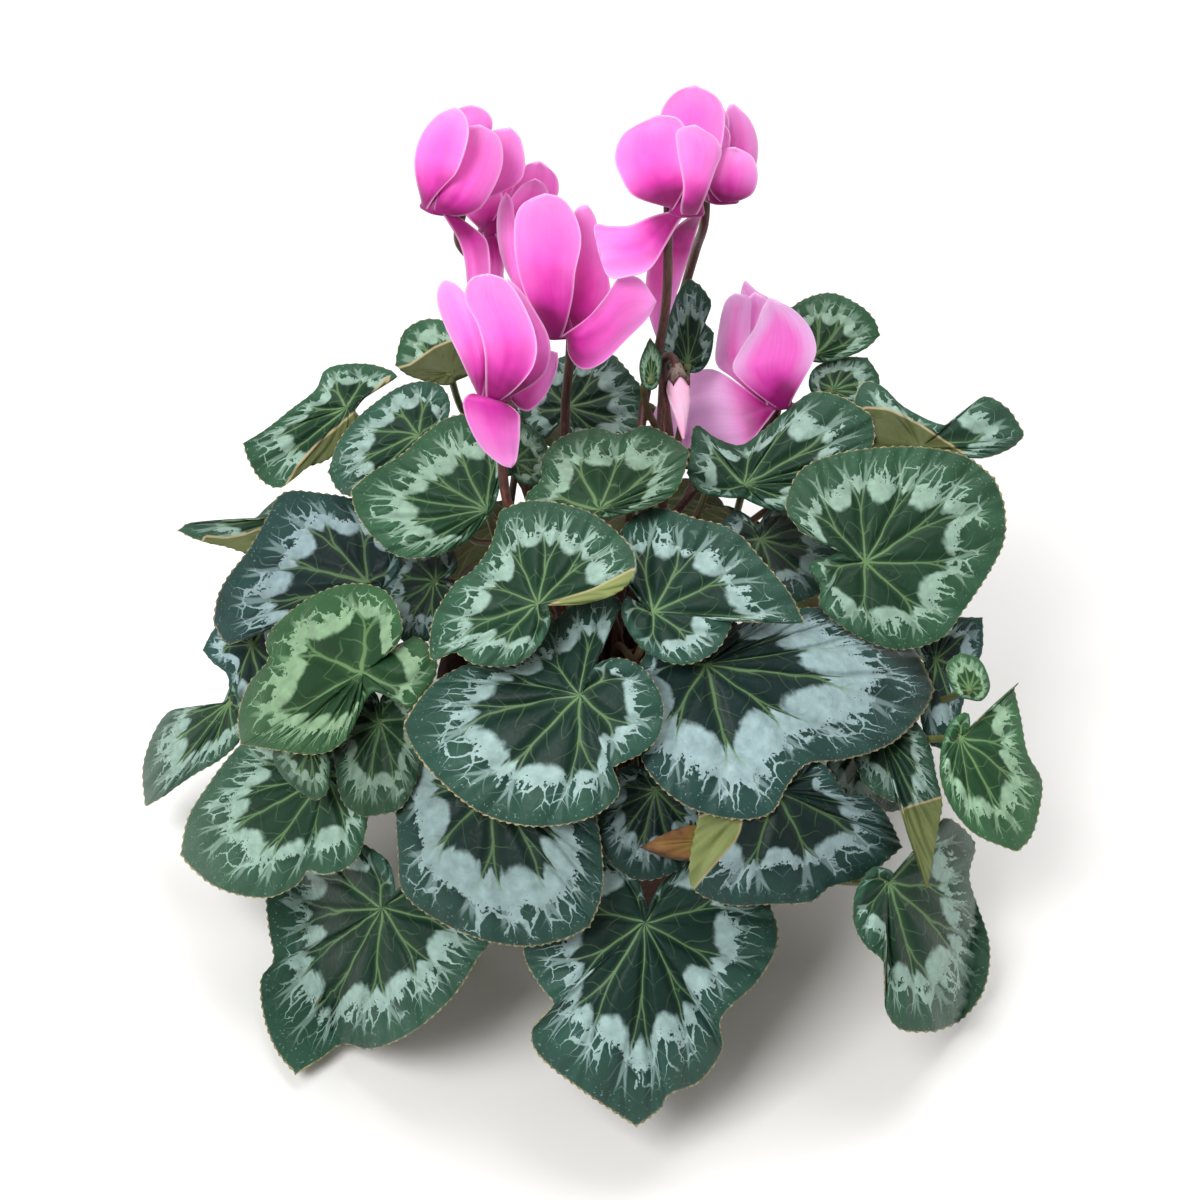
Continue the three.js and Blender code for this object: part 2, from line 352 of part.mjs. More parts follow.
// Blooms. mouth is the middle of the corolla's mouth as seen, nearer how far it stands towards the
// viewer, lean the way from the mouth to the calyx, stemSide the compass angle (90 away from the viewer)
// at which the stem passes the mouth, stem the places it passes as [across, up, nearer]. Each petal has
// its left and right edge as seen, from its foot to its tip, the compass angle at which it leaves the
// mouth, the way its middle faces, and how far it stands in front of the mouth (negative: behind).
const BLOOMS = [
  {
    name: "bloom_left_front", mouth: [-65, 156], nearer: 55, lean: [0.25, 0.3, 1], stemSide: 0,
    stem: [[-36, 56, 4], [-42, 74, 4], [-45, 98, 4], [-49, 122, 16], [-50, 138, 30]],
    petals: [
      { from: 205, faces: [236, 22], nearer: 4, tip: [-58, 197],
        left: [[-70, 158], [-73.5, 168], [-74, 178], [-71, 187], [-65, 194]],
        right: [[-68, 160], [-64, 165], [-58, 170], [-54.5, 178], [-52.5, 187], [-54, 194]] },
      { from: 280, faces: [276, 28], nearer: 3, tip: [-48, 190],
        left: [[-68, 156], [-64, 167], [-60, 180], [-56, 188]],
        right: [[-60, 150], [-50, 154.5], [-43, 164], [-39, 175], [-40.5, 185]] },
      { from: 140, faces: [262, 24], nearer: -10, tip: [-52, 198],
        left: [[-69, 160], [-67, 180], [-61, 194]],
        right: [[-60, 160], [-48, 178], [-43, 190], [-46, 196]] },
      { from: 345, faces: [284, 26], nearer: -7, tip: [-36, 189],
        left: [[-62, 158], [-52, 172], [-46, 186]],
        right: [[-57, 153], [-44, 161], [-33, 166.5], [-30, 173], [-31.5, 184]] },
      { from: 310, faces: [285, 4], nearer: 4, tip: [-49, 119],
        left: [[-61, 151], [-57, 145], [-54, 135], [-53, 126]],
        right: [[-53, 151], [-46, 145], [-44, 136], [-44.5, 126]] },
    ],
  },
  {
    name: "bloom_left_back", mouth: [-42, 147], nearer: 10, lean: [0, 0.35, 1], stemSide: 90,
    stem: [[-30, 54, -4], [-35, 76, -12], [-37, 100, -18], [-40, 125, -14]],
    petals: [
      { from: 10, faces: [280, 22], nearer: -8, tip: [-24, 175.5],
        left: [[-43, 150], [-37, 160], [-33, 169], [-29.5, 174]],
        right: [[-37, 148], [-26, 154], [-18, 160], [-16.5, 166], [-18.5, 171]] },
      { from: 320, faces: [285, 24], nearer: 0, tip: [-26, 168.5],
        left: [[-42, 150], [-36, 160], [-31, 166]],
        right: [[-37, 147], [-28, 153], [-21, 160], [-22, 166]] },
      { from: 205, faces: [256, 24], nearer: 3, tip: [-50, 171],
        left: [[-46, 149], [-53, 153], [-56, 161]],
        right: [[-42, 151], [-39, 160], [-42, 169]] },
      { from: 250, faces: [262, 4], nearer: 3, tip: [-43, 119],
        left: [[-46, 144], [-47, 134], [-46, 126]],
        right: [[-39, 144], [-38.5, 134], [-39.5, 126]] },
      { from: 140, faces: [270, 24], nearer: -14, tip: [-36, 180],
        left: [[-44, 152], [-45, 164], [-42, 176]],
        right: [[-38, 152], [-30, 164], [-30, 175]] },
    ],
  },
  {
    name: "bloom_middle_back", mouth: [-17, 106], nearer: 30, lean: [0, 0.35, 1], stemSide: 60,
    stem: [[-12, 40, 0], [-14, 66, -4], [-13.5, 82, 8], [-12, 94, 17]],
    petals: [
      { from: 195, faces: [232, 20], nearer: 3, tip: [-37.5, 163],
        left: [[-21, 107], [-31, 121], [-38, 133], [-41, 146], [-40.5, 157]],
        right: [[-18, 109], [-28, 124], [-32, 137], [-34, 150], [-35, 159]] },
      { from: 258, faces: [268, 26], nearer: 5, tip: [-22, 162.5],
        left: [[-20.5, 107], [-28, 118], [-33, 132], [-34.5, 148], [-31.5, 158]],
        right: [[-13, 109], [-11, 116], [-10, 130], [-7.5, 143], [-9.5, 153], [-15, 160.5]] },
      { from: 350, faces: [285, 22], nearer: -5, tip: [-5, 158],
        left: [[-17, 110], [-15, 130], [-12, 150], [-9, 157]],
        right: [[-12.5, 107.5], [-3, 110.5], [3, 118], [4, 126], [1, 140], [-1.5, 152]] },
      { from: 310, faces: [280, 12], nearer: 8, tip: [22.5, 119.5],
        left: [[-15, 107], [-6, 112], [2, 121], [8, 129], [16, 128.5]],
        right: [[-18, 103], [-15, 96], [-6, 92.3], [2, 95.5], [11, 104.5], [19, 112.5]] },
      { from: 120, faces: [262, 20], nearer: -8, tip: [-22, 158],
        left: [[-20, 110], [-30, 128], [-30, 148]],
        right: [[-15, 110], [-12, 128], [-14, 148]] },
    ],
  },
  {
    name: "bloom_left_low", mouth: [-42, 81], nearer: 62, lean: [0, 0.35, 1], stemSide: 75,
    stem: [[-30, 22, 36], [-37.5, 40, 42], [-37, 53, 46], [-38, 66, 46]],
    petals: [
      { from: 200, faces: [234, 22], nearer: 4, tip: [-62, 128],
        left: [[-49, 81], [-55, 95], [-62, 110], [-65, 119], [-64.5, 125]],
        right: [[-47, 83], [-45, 95], [-47, 107], [-51, 118], [-57, 126]] },
      { from: 268, faces: [270, 28], nearer: 3, tip: [-45, 130.5],
        left: [[-47, 82], [-46, 97], [-49, 110], [-54, 120], [-52, 128]],
        right: [[-38, 81], [-30, 87], [-25.5, 97], [-26, 107], [-31, 119], [-37, 127.5]] },
      { from: 330, faces: [284, 26], nearer: -4, tip: [-37, 128.5],
        left: [[-41, 84], [-38, 100], [-41, 120]],
        right: [[-35, 82], [-24, 88], [-20, 97], [-20.5, 105], [-25, 114], [-31, 123]] },
      { from: 15, faces: [295, 20], nearer: -9, tip: [-17, 99],
        left: [[-38, 82], [-30, 90], [-22, 99]],
        right: [[-36, 79], [-31, 74.5], [-24, 79], [-19.5, 86], [-17, 94]] },
      { from: 235, faces: [266, 2], nearer: 5, tip: [-35.5, 53],
        left: [[-47, 81.5], [-53, 84], [-55, 80], [-53, 71], [-47.5, 61], [-40, 54.5]],
        right: [[-37, 79], [-32.5, 76], [-32, 68], [-32.5, 61], [-33.5, 55.5]] },
    ],
  },
  {
    name: "bloom_middle_front", mouth: [35, 155], nearer: 70, lean: [0, 0.3, 1], stemSide: 135,
    stem: [[14, 48, -4], [19, 76, -10], [21.5, 92, 2], [24.5, 104, 20], [26.5, 113, 32], [26.5, 120, 40],
      [27.5, 130, 50], [28.5, 146, 62]],
    petals: [
      { from: 90, faces: [265, 24], nearer: -11, tip: [38, 206],
        left: [[31, 160], [24, 178], [24, 194], [30, 203]],
        right: [[40, 160], [47, 175], [50, 192], [47, 201]] },
      { from: 170, faces: [250, 22], nearer: 13, tip: [23, 194],
        left: [[27, 158], [14, 161], [8, 170], [6, 178], [10, 187]],
        right: [[33, 160], [36, 170], [36, 182], [32, 192]] },
      { from: 275, faces: [272, 22], nearer: 15, tip: [38, 190],
        left: [[28, 157], [33, 163], [33, 169], [31, 180], [31, 188]],
        right: [[41, 155], [43, 163], [46, 172], [48.5, 179], [46, 185]] },
      { from: 235, faces: [240, 30], nearer: -8, tip: [-0.5, 139.5],
        left: [[28, 158], [20, 153.5], [12, 150], [4, 149.6], [-2.2, 149.8]],
        right: [[28, 151], [26, 142], [20, 132.5], [12, 129.5], [3.5, 129.2]] },
      { from: 330, faces: [272, 2], nearer: -34, tip: [23, 104],
        left: [[28, 152], [22, 141], [18.5, 128], [19.5, 115]],
        right: [[38, 152], [36.5, 141], [33, 130], [29, 118], [26, 110]] },
    ],
  },
  {
    name: "bloom_right_back", mouth: [49, 160], nearer: 40, lean: [0, 0.3, 1], stemSide: 130,
    stem: [[22, 50, -20], [24.5, 84, -27], [30, 110, -28], [36, 132, -13], [40, 146, 16]],
    petals: [
      { from: 30, faces: [288, 20], nearer: -4, tip: [53.5, 198.5],
        left: [[50, 165], [48, 178], [49, 188], [51, 197]],
        right: [[56, 164], [62, 173], [63, 183], [60, 192]] },
      { from: 290, faces: [275, 34], nearer: 5, tip: [54, 181],
        left: [[44, 161], [42.5, 165], [43.5, 173], [48, 180]],
        right: [[54, 158.5], [60.5, 162], [63, 169], [61, 177]] },
      { from: 170, faces: [255, 22], nearer: -5, tip: [49, 197],
        left: [[45, 165], [44, 178], [45, 189]],
        right: [[50, 166], [51, 180], [51.5, 192]] },
      { from: 90, faces: [268, 22], nearer: -12, tip: [56, 193],
        left: [[48, 166], [50, 178], [52, 189]],
        right: [[54, 166], [60, 178], [60, 188]] },
      { from: 235, faces: [262, 22], nearer: 1, tip: [48, 192],
        left: [[44, 161], [40, 172], [42, 185]],
        right: [[50, 162], [51, 175], [52, 186]] },
    ],
  },
  {
    name: "bloom_right_low", mouth: [71, 78], nearer: -33, lean: [0, 0.35, 1], stemSide: 90,
    stem: [[34, 40, -24], [58, 62, -44], [69, 72, -34]],
    petals: [
      { from: 200, faces: [248, 24], nearer: 2, tip: [54, 122.7],
        left: [[65, 79], [53, 89], [46.5, 95], [47.5, 108], [50, 119]],
        right: [[68, 81], [63, 92], [60, 103], [60, 113], [60, 121]] },
      { from: 150, faces: [262, 24], nearer: -6, tip: [62, 123],
        left: [[66, 82], [60, 97], [57, 110], [59, 120]],
        right: [[71, 84], [68, 98], [67, 110], [67, 119]] },
      { from: 290, faces: [280, 28], nearer: 3, tip: [68, 121],
        left: [[66, 78], [57, 87], [53, 93], [56, 100], [62, 109], [65, 117]],
        right: [[75, 78], [80, 86], [85, 95], [86.5, 101], [84, 109], [77, 116.5]] },
      { from: 40, faces: [276, 22], nearer: -12, tip: [58, 128],
        left: [[68, 82], [60, 100], [56, 115], [56.5, 124]],
        right: [[74, 82], [76, 100], [70, 118], [63, 123.5]] },
      { from: 240, faces: [262, 34], nearer: 1, tip: [20, 69.5],
        left: [[66, 77.5], [56, 86], [44, 92.5], [32, 88], [24, 80]],
        right: [[70, 75.5], [65, 69], [57, 60.5], [44, 60], [30, 62]] },
    ],
  },
];

// The nodding bud: its calyx's top and its point as seen.
const BUD = {
  mouth: [31, 88], nearer: 8, point: [33, 68], length: 24, radius: 4.6, stemSide: 130,
  stem: [[27, 40, -14], [27.5, 62, -12], [27.6, 80, -2]],
};

function mix(a, b, t) {
  return a + (b - a) * t;
}

function ease(t) {
  const k = Math.min(1, Math.max(0, t));
  return k * k * (3 - 2 * k);
}

function compass(azimuth, elevation = 0) {
  const flat = Math.cos(elevation * DEG);
  return new THREE.Vector3(
    flat * Math.cos(azimuth * DEG),
    flat * Math.sin(azimuth * DEG),
    Math.sin(elevation * DEG),
  );
}

// The directions of a picture seen after walking round the plant by "turn" degrees.
function sightFrom(turn = 0) {
  const right = compass(turn);
  const away = compass(turn + 90);
  const sine = Math.sin(SIGHT.elevation);
  const cosine = Math.cos(SIGHT.elevation);
  const up = away.clone().multiplyScalar(sine).addScaledVector(UP, cosine);
  const toward = away.clone().multiplyScalar(-cosine).addScaledVector(UP, sine);
  return { right, up, toward };
}

const FRONT = sightFrom(0);

function lineOfSight(point, sight) {
  const eye = SIGHT.aim.clone().addScaledVector(sight.toward, SIGHT.distance);
  const through = SIGHT.aim.clone()
    .addScaledVector(sight.right, point[0])
    .addScaledVector(sight.up, point[1]);
  return { eye, ray: through.sub(eye).normalize() };
}

// The place seen at [across, up] that stands "nearer" millimetres towards the viewer.
function placeSeen([across, up], nearer, sight = FRONT) {
  const scale = 1 - nearer / SIGHT.distance;
  return SIGHT.aim.clone()
    .addScaledVector(sight.right, across * scale)
    .addScaledVector(sight.up, up * scale)
    .addScaledVector(sight.toward, nearer);
}

function onMound(point, layer, sight) {
  const { eye, ray } = lineOfSight(point, sight);
  const wide = MOUND.radius + layer;
  const high = MOUND.height + layer;
  const from = new THREE.Vector3(eye.x / wide, eye.y / wide, (eye.z - MOUND.foot) / high);
  const step = new THREE.Vector3(ray.x / wide, ray.y / wide, ray.z / high);
  const square = step.dot(step);
  const half = from.dot(step);
  const inside = Math.max(0, half * half - square * (from.dot(from) - 1));
  const reach = (-half - Math.sqrt(inside)) / square;
  const toFloor = (MOUND.lowest - eye.z) / ray.z;
  return eye.addScaledVector(ray, Math.min(reach, toFloor));
}

function onPlane(point, lift, plane, sight) {
  const { eye, ray } = lineOfSight(point, sight);
  const slope = ray.dot(plane.normal);
  let place = null;
  let sag = 0;
  for (let pass = 0; pass < 6; pass += 1) {
    const reach = plane.anchor.clone().sub(eye).dot(plane.normal) + lift - sag;
    place = eye.clone().addScaledVector(ray, reach / slope);
    sag = plane.bend ? place.distanceToSquared(plane.anchor) / (2 * plane.bend) : 0;
  }
  return place;
}

// A smooth run through the points: Catmull-Rom, "fine" steps to a span.
function smoothRun(points, fine = 10) {
  const run = [];
  const count = points.length;
  for (let index = 0; index < count - 1; index += 1) {
    const before = points[Math.max(0, index - 1)];
    const start = points[index];
    const end = points[index + 1];
    const after = points[Math.min(count - 1, index + 2)];
    for (let step = 0; step < fine; step += 1) {
      const t = step / fine;
      run.push(start.map((_, axis) => 0.5 * (
        2 * start[axis]
        + (end[axis] - before[axis]) * t
        + (2 * before[axis] - 5 * start[axis] + 4 * end[axis] - after[axis]) * t * t
        + (3 * start[axis] - before[axis] - 3 * end[axis] + after[axis]) * t * t * t
      )));
    }
  }
  run.push(points[count - 1]);
  return run;
}

function runLength(run) {
  const lengths = [0];
  for (let index = 1; index < run.length; index += 1) {
    const across = run[index][0] - run[index - 1][0];
    const up = run[index][1] - run[index - 1][1];
    lengths.push(lengths[index - 1] + Math.hypot(across, up));
  }
  return lengths;
}

// The run cut into "count" equal steps.
function evenSteps(run, count) {
  const lengths = runLength(run);
  const total = lengths[lengths.length - 1];
  const steps = [];
  let index = 0;
  for (let step = 0; step <= count; step += 1) {
    const wanted = (total * step) / count;
    while (index < run.length - 2 && lengths[index + 1] < wanted) {
      index += 1;
    }
    const span = lengths[index + 1] - lengths[index] || 1;
    const t = (wanted - lengths[index]) / span;
    steps.push(run[index].map((value, axis) => mix(value, run[index + 1][axis], t)));
  }
  return steps;
}

function withLift(point) {
  return [point[0], point[1], point[2] ?? 0];
}

// A leaf's margin as stations [across, up, lift], going round from the sinus by the tip and back, the
// way that turns anticlockwise as seen, so that the blade's upper face looks at the viewer.
function marginStations(leaf, stationLength) {
  const sides = [leaf.sideA, leaf.sideB].map((side, index) => {
    const run = smoothRun([leaf.sinus, ...side, leaf.tip].map(withLift));
    const total = runLength(run).pop();
    const count = Math.max(index ? 4 : 8, 4 * Math.round(total / stationLength / 4));
    return evenSteps(run, count);
  });
  const stations = [...sides[0].slice(0, -1), ...sides[1].slice(1).reverse()];
  let area = 0;
  stations.forEach((here, index) => {
    const next = stations[(index + 1) % stations.length];
    area += here[0] * next[1] - next[0] * here[1];
  });
  const turning = area > 0 ? stations : [stations[0], ...stations.slice(1).reverse()];
  const tipAt = area > 0 ? sides[0].length - 1 : sides[1].length - 1;
  return keepTurning(turning, leaf.heart, tipAt);
}

// Stations that would fold back are turned about the heart, so that each lies further round than the
// one before: the side that ends at the tip is put right backwards from it, the other onwards.
function keepTurning(stations, [across, up], tipAt) {
  const least = 1.2 * DEG;
  const count = stations.length;
  const rays = stations.map((station) => [
    Math.atan2(station[1] - up, station[0] - across),
    Math.hypot(station[0] - across, station[1] - up),
  ]);
  const turned = [0];
  for (let index = 1; index < count; index += 1) {
    const step = rays[index][0] - rays[index - 1][0];
    turned.push(turned[index - 1] + Math.atan2(Math.sin(step), Math.cos(step)));
  }
  for (let index = tipAt - 1; index > 0; index -= 1) {
    turned[index] = Math.min(turned[index], turned[index + 1] - least);
  }
  for (let index = tipAt + 1; index < count; index += 1) {
    turned[index] = Math.max(turned[index], turned[index - 1] + least);
  }
  return stations.map((station, index) => {
    const low = index * least;
    const high = 2 * Math.PI - (count - index) * least;
    const angle = rays[0][0] + (index ? Math.min(high, Math.max(low, turned[index])) : 0);
    const reach = rays[index][1];
    return [across + reach * Math.cos(angle), up + reach * Math.sin(angle), station[2]];
  });
}

function leafSurface(leaf, stations) {
  const sight = sightFrom(leaf.turn ?? 0);
  const middle = [0, 1].map((axis) => (
    stations.reduce((sum, station) => sum + station[axis], 0) / stations.length
  ));
  if (!leaf.faces) {
    const lean = leaf.lean ?? 0;
    return (point, lift) => {
      const layer = leaf.rise + lean * Math.max(0, leaf.heart[1] - point[1]) + lift;
      return onMound(point, layer, sight);
    };
  }
  const anchor = leaf.nearer === undefined
    ? onMound(middle, leaf.rise, sight)
    : placeSeen(middle, leaf.nearer, sight);
  const plane = { anchor, normal: compass(...leaf.faces), bend: leaf.bend };
  return (point, lift) => onPlane(point, lift, plane, sight);
}

// Rings of the blade: how far out they lie between the heart and the margin, and one station in how many.
const RINGS = [[0.3, 4], [0.64, 2], [1, 1]];

function bladeMiddle(leaf) {
  const stations = marginStations(leaf, leaf.turn ? BLADE.rearStationLength : BLADE.stationLength);
  const surface = leafSurface(leaf, stations);
  const places = [surface(leaf.heart, 0)];
  const spreads = [0];
  const rings = RINGS.map(([out, every]) => {
    const ring = [];
    for (let index = 0; index < stations.length; index += every) {
      const station = stations[index];
      const reach = out === 1 && index % 2 ? 1 - BLADE.tooth / 30 : out;
      const point = [0, 1].map((axis) => mix(leaf.heart[axis], station[axis], reach));
      ring.push(places.length);
      places.push(surface(point, station[2] * out ** 1.5));
      spreads.push(out);
    }
    return ring;
  });
  const faces = [];
  rings[0].forEach((here, index) => faces.push([0, here, rings[0][(index + 1) % rings[0].length]]));
  for (let level = 1; level < rings.length; level += 1) {
    const inner = rings[level - 1];
    const outer = rings[level];
    inner.forEach((here, index) => {
      const next = inner[(index + 1) % inner.length];
      const first = outer[2 * index];
      const second = outer[2 * index + 1];
      const third = outer[(2 * index + 2) % outer.length];
      faces.push([here, first, second], [here, second, next], [next, second, third]);
    });
  }
  return { places, spreads, faces, margin: rings[rings.length - 1] };
}

function vertexNormals(places, faces) {
  const normals = places.map(() => new THREE.Vector3());
  faces.forEach(([a, b, c]) => {
    const square = places[b].clone().sub(places[a]).cross(places[c].clone().sub(places[a]));
    [a, b, c].forEach((corner) => normals[corner].add(square));
  });
  return normals.map((normal) => normal.normalize());
}

function geometryFrom(places, faces) {
  const geometry = new THREE.BufferGeometry();
  const numbers = places.flatMap((place) => [place.x, place.y, place.z]);
  geometry.setAttribute("position", new THREE.Float32BufferAttribute(numbers, 3));
  geometry.setIndex(faces.flat());
  return geometry;
}

// A sheet made solid: the same triangles above and below its middle, joined round the margin.
function thicken({ places, faces, margin }, halves) {
  const normals = vertexNormals(places, faces);
  const count = places.length;
  const above = places.map((place, index) => place.clone().addScaledVector(normals[index], halves[index]));
  const below = places.map((place, index) => place.clone().addScaledVector(normals[index], -halves[index]));
  const solid = [...faces, ...faces.map(([a, b, c]) => [a + count, c + count, b + count])];
  margin.forEach((here, index) => {
    const next = margin[(index + 1) % margin.length];
    solid.push([here, here + count, next + count], [here, next + count, next]);
  });
  return { geometry: geometryFrom([...above, ...below], solid), normal: normals[0] };
}

function solidOf(geometry) {
  const bare = geometry.clone();
  bare.deleteAttribute("normal");
  bare.deleteAttribute("uv");
  const merged = mergeVertices(bare, 1e-3);
  const mesh = new wasm.Mesh({
    numProp: 3,
    vertProperties: Float32Array.from(merged.attributes.position.array),
    triVerts: Uint32Array.from(merged.index.array),
  });
  return new wasm.Manifold(mesh);
}

// The main piece of a solid, as triangles.
function geometryOf(solid) {
  const pieces = solid.simplify(SMALLEST).decompose().sort((a, b) => b.volume() - a.volume());
  const mesh = pieces[0].getMesh();
  const places = [];
  for (let index = 0; index < mesh.vertProperties.length; index += mesh.numProp) {
    const [x, y, z] = [0, 1, 2].map((axis) => Math.round(mesh.vertProperties[index + axis] * 1e4) / 1e4);
    places.push(new THREE.Vector3(x, y, z));
  }
  const geometry = geometryFrom(places, [Array.from(mesh.triVerts)]);
  return mergeVertices(geometry, 1e-3);
}

function joined(geometries) {
  const solids = geometries.map(solidOf);
  return geometryOf(solids.slice(1).reduce((whole, solid) => whole.add(solid), solids[0]));
}

// The bodies joined, with room cut for the stem that passes.
function clearedOf(geometries, strand, cap) {
  const hooked = strand.path.slice(-STEM.hookSteps - 4);
  const room = solidOf(tube(hooked, strand.radius + CLEARANCE + 0.25, STEM.sides));
  const whole = solidOf(joined(geometries)).subtract(room).subtract(solidOf(cap));
  return geometryOf(whole);
}

// A tube with one ring of corners at each place of the path.
function tube(path, radius, sides) {
  const curve = new THREE.CatmullRomCurve3(path, false, "centripetal");
  curve.getUtoTmapping = (u) => u;
  const shape = new THREE.Shape();
  for (let side = 0; side < sides; side += 1) {
    const angle = (2 * Math.PI * side) / sides;
    shape[side ? "lineTo" : "moveTo"](radius * Math.cos(angle), radius * Math.sin(angle));
  }
  shape.closePath();
  const steps = path.length - 1;
  return new THREE.ExtrudeGeometry(shape, { steps, extrudePath: curve, bevelEnabled: false });
}

function rearLeaf({ name, turn, rise, lean, heart, width, length, spin }) {
  const half = width / 2;
  const outline = [[0.24, 0.3], [0.56, 0.36], [0.88, 0.14], [1, -0.2], [0.86, -0.52], [0.5, -0.78]];
  const turned = ([across, down]) => {
    const angle = spin * DEG;
    return [
      heart[0] + across * Math.cos(angle) - down * Math.sin(angle),
      heart[1] + across * Math.sin(angle) + down * Math.cos(angle),
      0,
    ];
  };
  const side = (sign) => outline.map(([across, up]) => turned([sign * across * half, up * length]));
  return {
    name, turn, rise, lean, heart,
    sinus: turned([0, 0.08 * length]),
    tip: turned([0, -0.92 * length]),
    sideA: side(-1),
    sideB: side(1),
  };
}

const ALL_LEAVES = [...LEAVES, ...REAR_LEAVES.map(rearLeaf)];
const SHARED = new Map(ALL_LEAVES.filter((leaf) => leaf.also).map((leaf) => [leaf.also, leaf.name]));

// Sockets in the tuber's crown: a spiral of even spacing.
function socketSites(count) {
  const sites = [];
  for (let index = 0; index < count; index += 1) {
    const radius = SOCKET.spacing * Math.sqrt(index + 0.5);
    const angle = index * Math.PI * (3 - Math.sqrt(5));
    sites.push([radius * Math.cos(angle), radius * Math.sin(angle)]);
  }
  return sites;
}

// Each stalk takes the free socket nearest to where it leans: the lower its end, the further out.
function giveSockets(ends) {
  const sites = socketSites(ends.length);
  const order = ends.map((end, index) => {
    const flat = Math.hypot(end.x, end.y);
    const steep = Math.atan2(end.z - TUBER.crown, flat);
    const reach = TUBER.crownRadius * Math.min(1, Math.max(0.1, Math.cos(Math.max(0, steep)) ** 1.2));
    return { index, reach, wish: [(end.x / flat) * reach, (end.y / flat) * reach] };
  });
  order.sort((a, b) => b.reach - a.reach || a.index - b.index);
  const given = [];
  order.forEach(({ index, wish }) => {
    let best = 0;
    sites.forEach((site, place) => {
      const far = Math.hypot(site[0] - wish[0], site[1] - wish[1]);
      if (far < Math.hypot(sites[best][0] - wish[0], sites[best][1] - wish[1])) {
        best = place;
      }
    });
    given[index] = sites.splice(best, 1)[0];
  });
  return given;
}

function foot([x, y]) {
  return [TUBER.crown - SOCKET.depth + 0.5, TUBER.crown + 4, TUBER.crown + 16]
    .map((z) => new THREE.Vector3(x, y, z));
}

function spaced(controls, stepLength) {
  const curve = new THREE.CatmullRomCurve3(controls, false, "centripetal");
  return curve.getSpacedPoints(Math.max(2, Math.round(curve.getLength() / stepLength)));
}

// A stalk rises from its socket, leans out over the pot's rim and meets the blade square from below.
function stalkPath(site, end, normal, bias) {
  const start = foot(site);
  const inward = normal.clone().negate().add(new THREE.Vector3(...(bias ?? [0, 0, 0]))).normalize();
  const turn = end.clone().addScaledVector(inward, STALK.approach);
  const out = start[2];
  const over = out.clone().lerp(turn, 0.5);
  over.z = mix(out.z, turn.z, 0.5) + STALK.rise * 0.3 * Math.hypot(turn.x - out.x, turn.y - out.y);
  if (Math.hypot(over.x, over.y) > 40) {
    over.z = Math.max(over.z, POT.height + 22);
  }
  const near = end.clone().addScaledVector(inward, 9);
  const middle = spaced([start[1], start[2], over, turn, near], STALK.stepLength);
  return [start[0], ...middle, end.clone()];
}

function closestOnSegments(p1, q1, p2, q2) {
  const d1 = q1.clone().sub(p1);
  const d2 = q2.clone().sub(p2);
  const r = p1.clone().sub(p2);
  const a = d1.dot(d1);
  const e = d2.dot(d2);
  const f = d2.dot(r);
  const c = d1.dot(r);
  const b = d1.dot(d2);
  const spread = a * e - b * b;
  let s = spread > 1e-9 ? Math.min(1, Math.max(0, (b * f - c * e) / spread)) : 0;
  let t = (b * s + f) / e;
  if (t < 0) {
    t = 0;
    s = Math.min(1, Math.max(0, -c / a));
  } else if (t > 1) {
    t = 1;
    s = Math.min(1, Math.max(0, (b - c) / a));
  }
  const gap = p1.clone().addScaledVector(d1, s).sub(p2.clone().addScaledVector(d2, t));
  return { s, t, gap };
}

// Stalks and stems that pass too close are eased apart, their feet and ends held.
function easeApart(strands) {
  const room = 0.7;
  const boxes = () => strands.map((strand) => new THREE.Box3().setFromPoints(strand.path).expandByScalar(4));
  for (let pass = 0; pass < 150; pass += 1) {
    const bounds = boxes();
    let moved = 0;
    for (let first = 0; first < strands.length; first += 1) {
      for (let second = first + 1; second < strands.length; second += 1) {
        const one = strands[first];
        const two = strands[second];
        if (one.host === two.name || two.host === one.name || !bounds[first].intersectsBox(bounds[second])) {
          continue;
        }
        const need = one.radius + two.radius + room;
        for (let i = 1; i < one.path.length - 1; i += 1) {
          for (let j = 1; j < two.path.length - 1; j += 1) {
            const near = closestOnSegments(one.path[i], one.path[i + 1], two.path[j], two.path[j + 1]);
            const far = near.gap.length();
            if (far >= need) {
              continue;
            }
            const push = near.gap.multiplyScalar(((need - far) * 0.6) / Math.max(far, 1e-3));
            const shares = [
              [one, i, (1 - near.s)], [one, i + 1, near.s], [two, j, -(1 - near.t)], [two, j + 1, -near.t],
            ];
            shares.forEach(([strand, index, share]) => {
              if (index >= strand.held[0] && index < strand.path.length - strand.held[1]) {
                strand.path[index].addScaledVector(push, share);
              }
            });
            moved += 1;
          }
        }
      }
    }
    if (!moved) {
      break;
    }
  }
}

function bloomFrame(bloom) {
  const mouth = placeSeen(bloom.mouth, bloom.nearer);
  const axis = new THREE.Vector3(...bloom.lean).normalize();
  const away = new THREE.Vector3(0, 1, 0).addScaledVector(axis, -axis.y).normalize();
  const right = away.clone().cross(axis).normalize();
  const round = (angle) => right.clone().multiplyScalar(Math.cos(angle * DEG))
    .addScaledVector(away, Math.sin(angle * DEG));
  return { mouth, axis, round };
}

function alongAxis(geometry, place, axis) {
  const turn = new THREE.Quaternion().setFromUnitVectors(UP, axis);
  return geometry.applyQuaternion(turn).translate(place.x, place.y, place.z);
}

// A turned body about Z from a profile of [radius, height] that starts and ends on the axis.
function turnedBody(profile, sides) {
  const geometry = new THREE.LatheGeometry(profile.map(([r, z]) => new THREE.Vector2(r, z)), sides);
  return geometry.rotateX(Math.PI / 2);
}

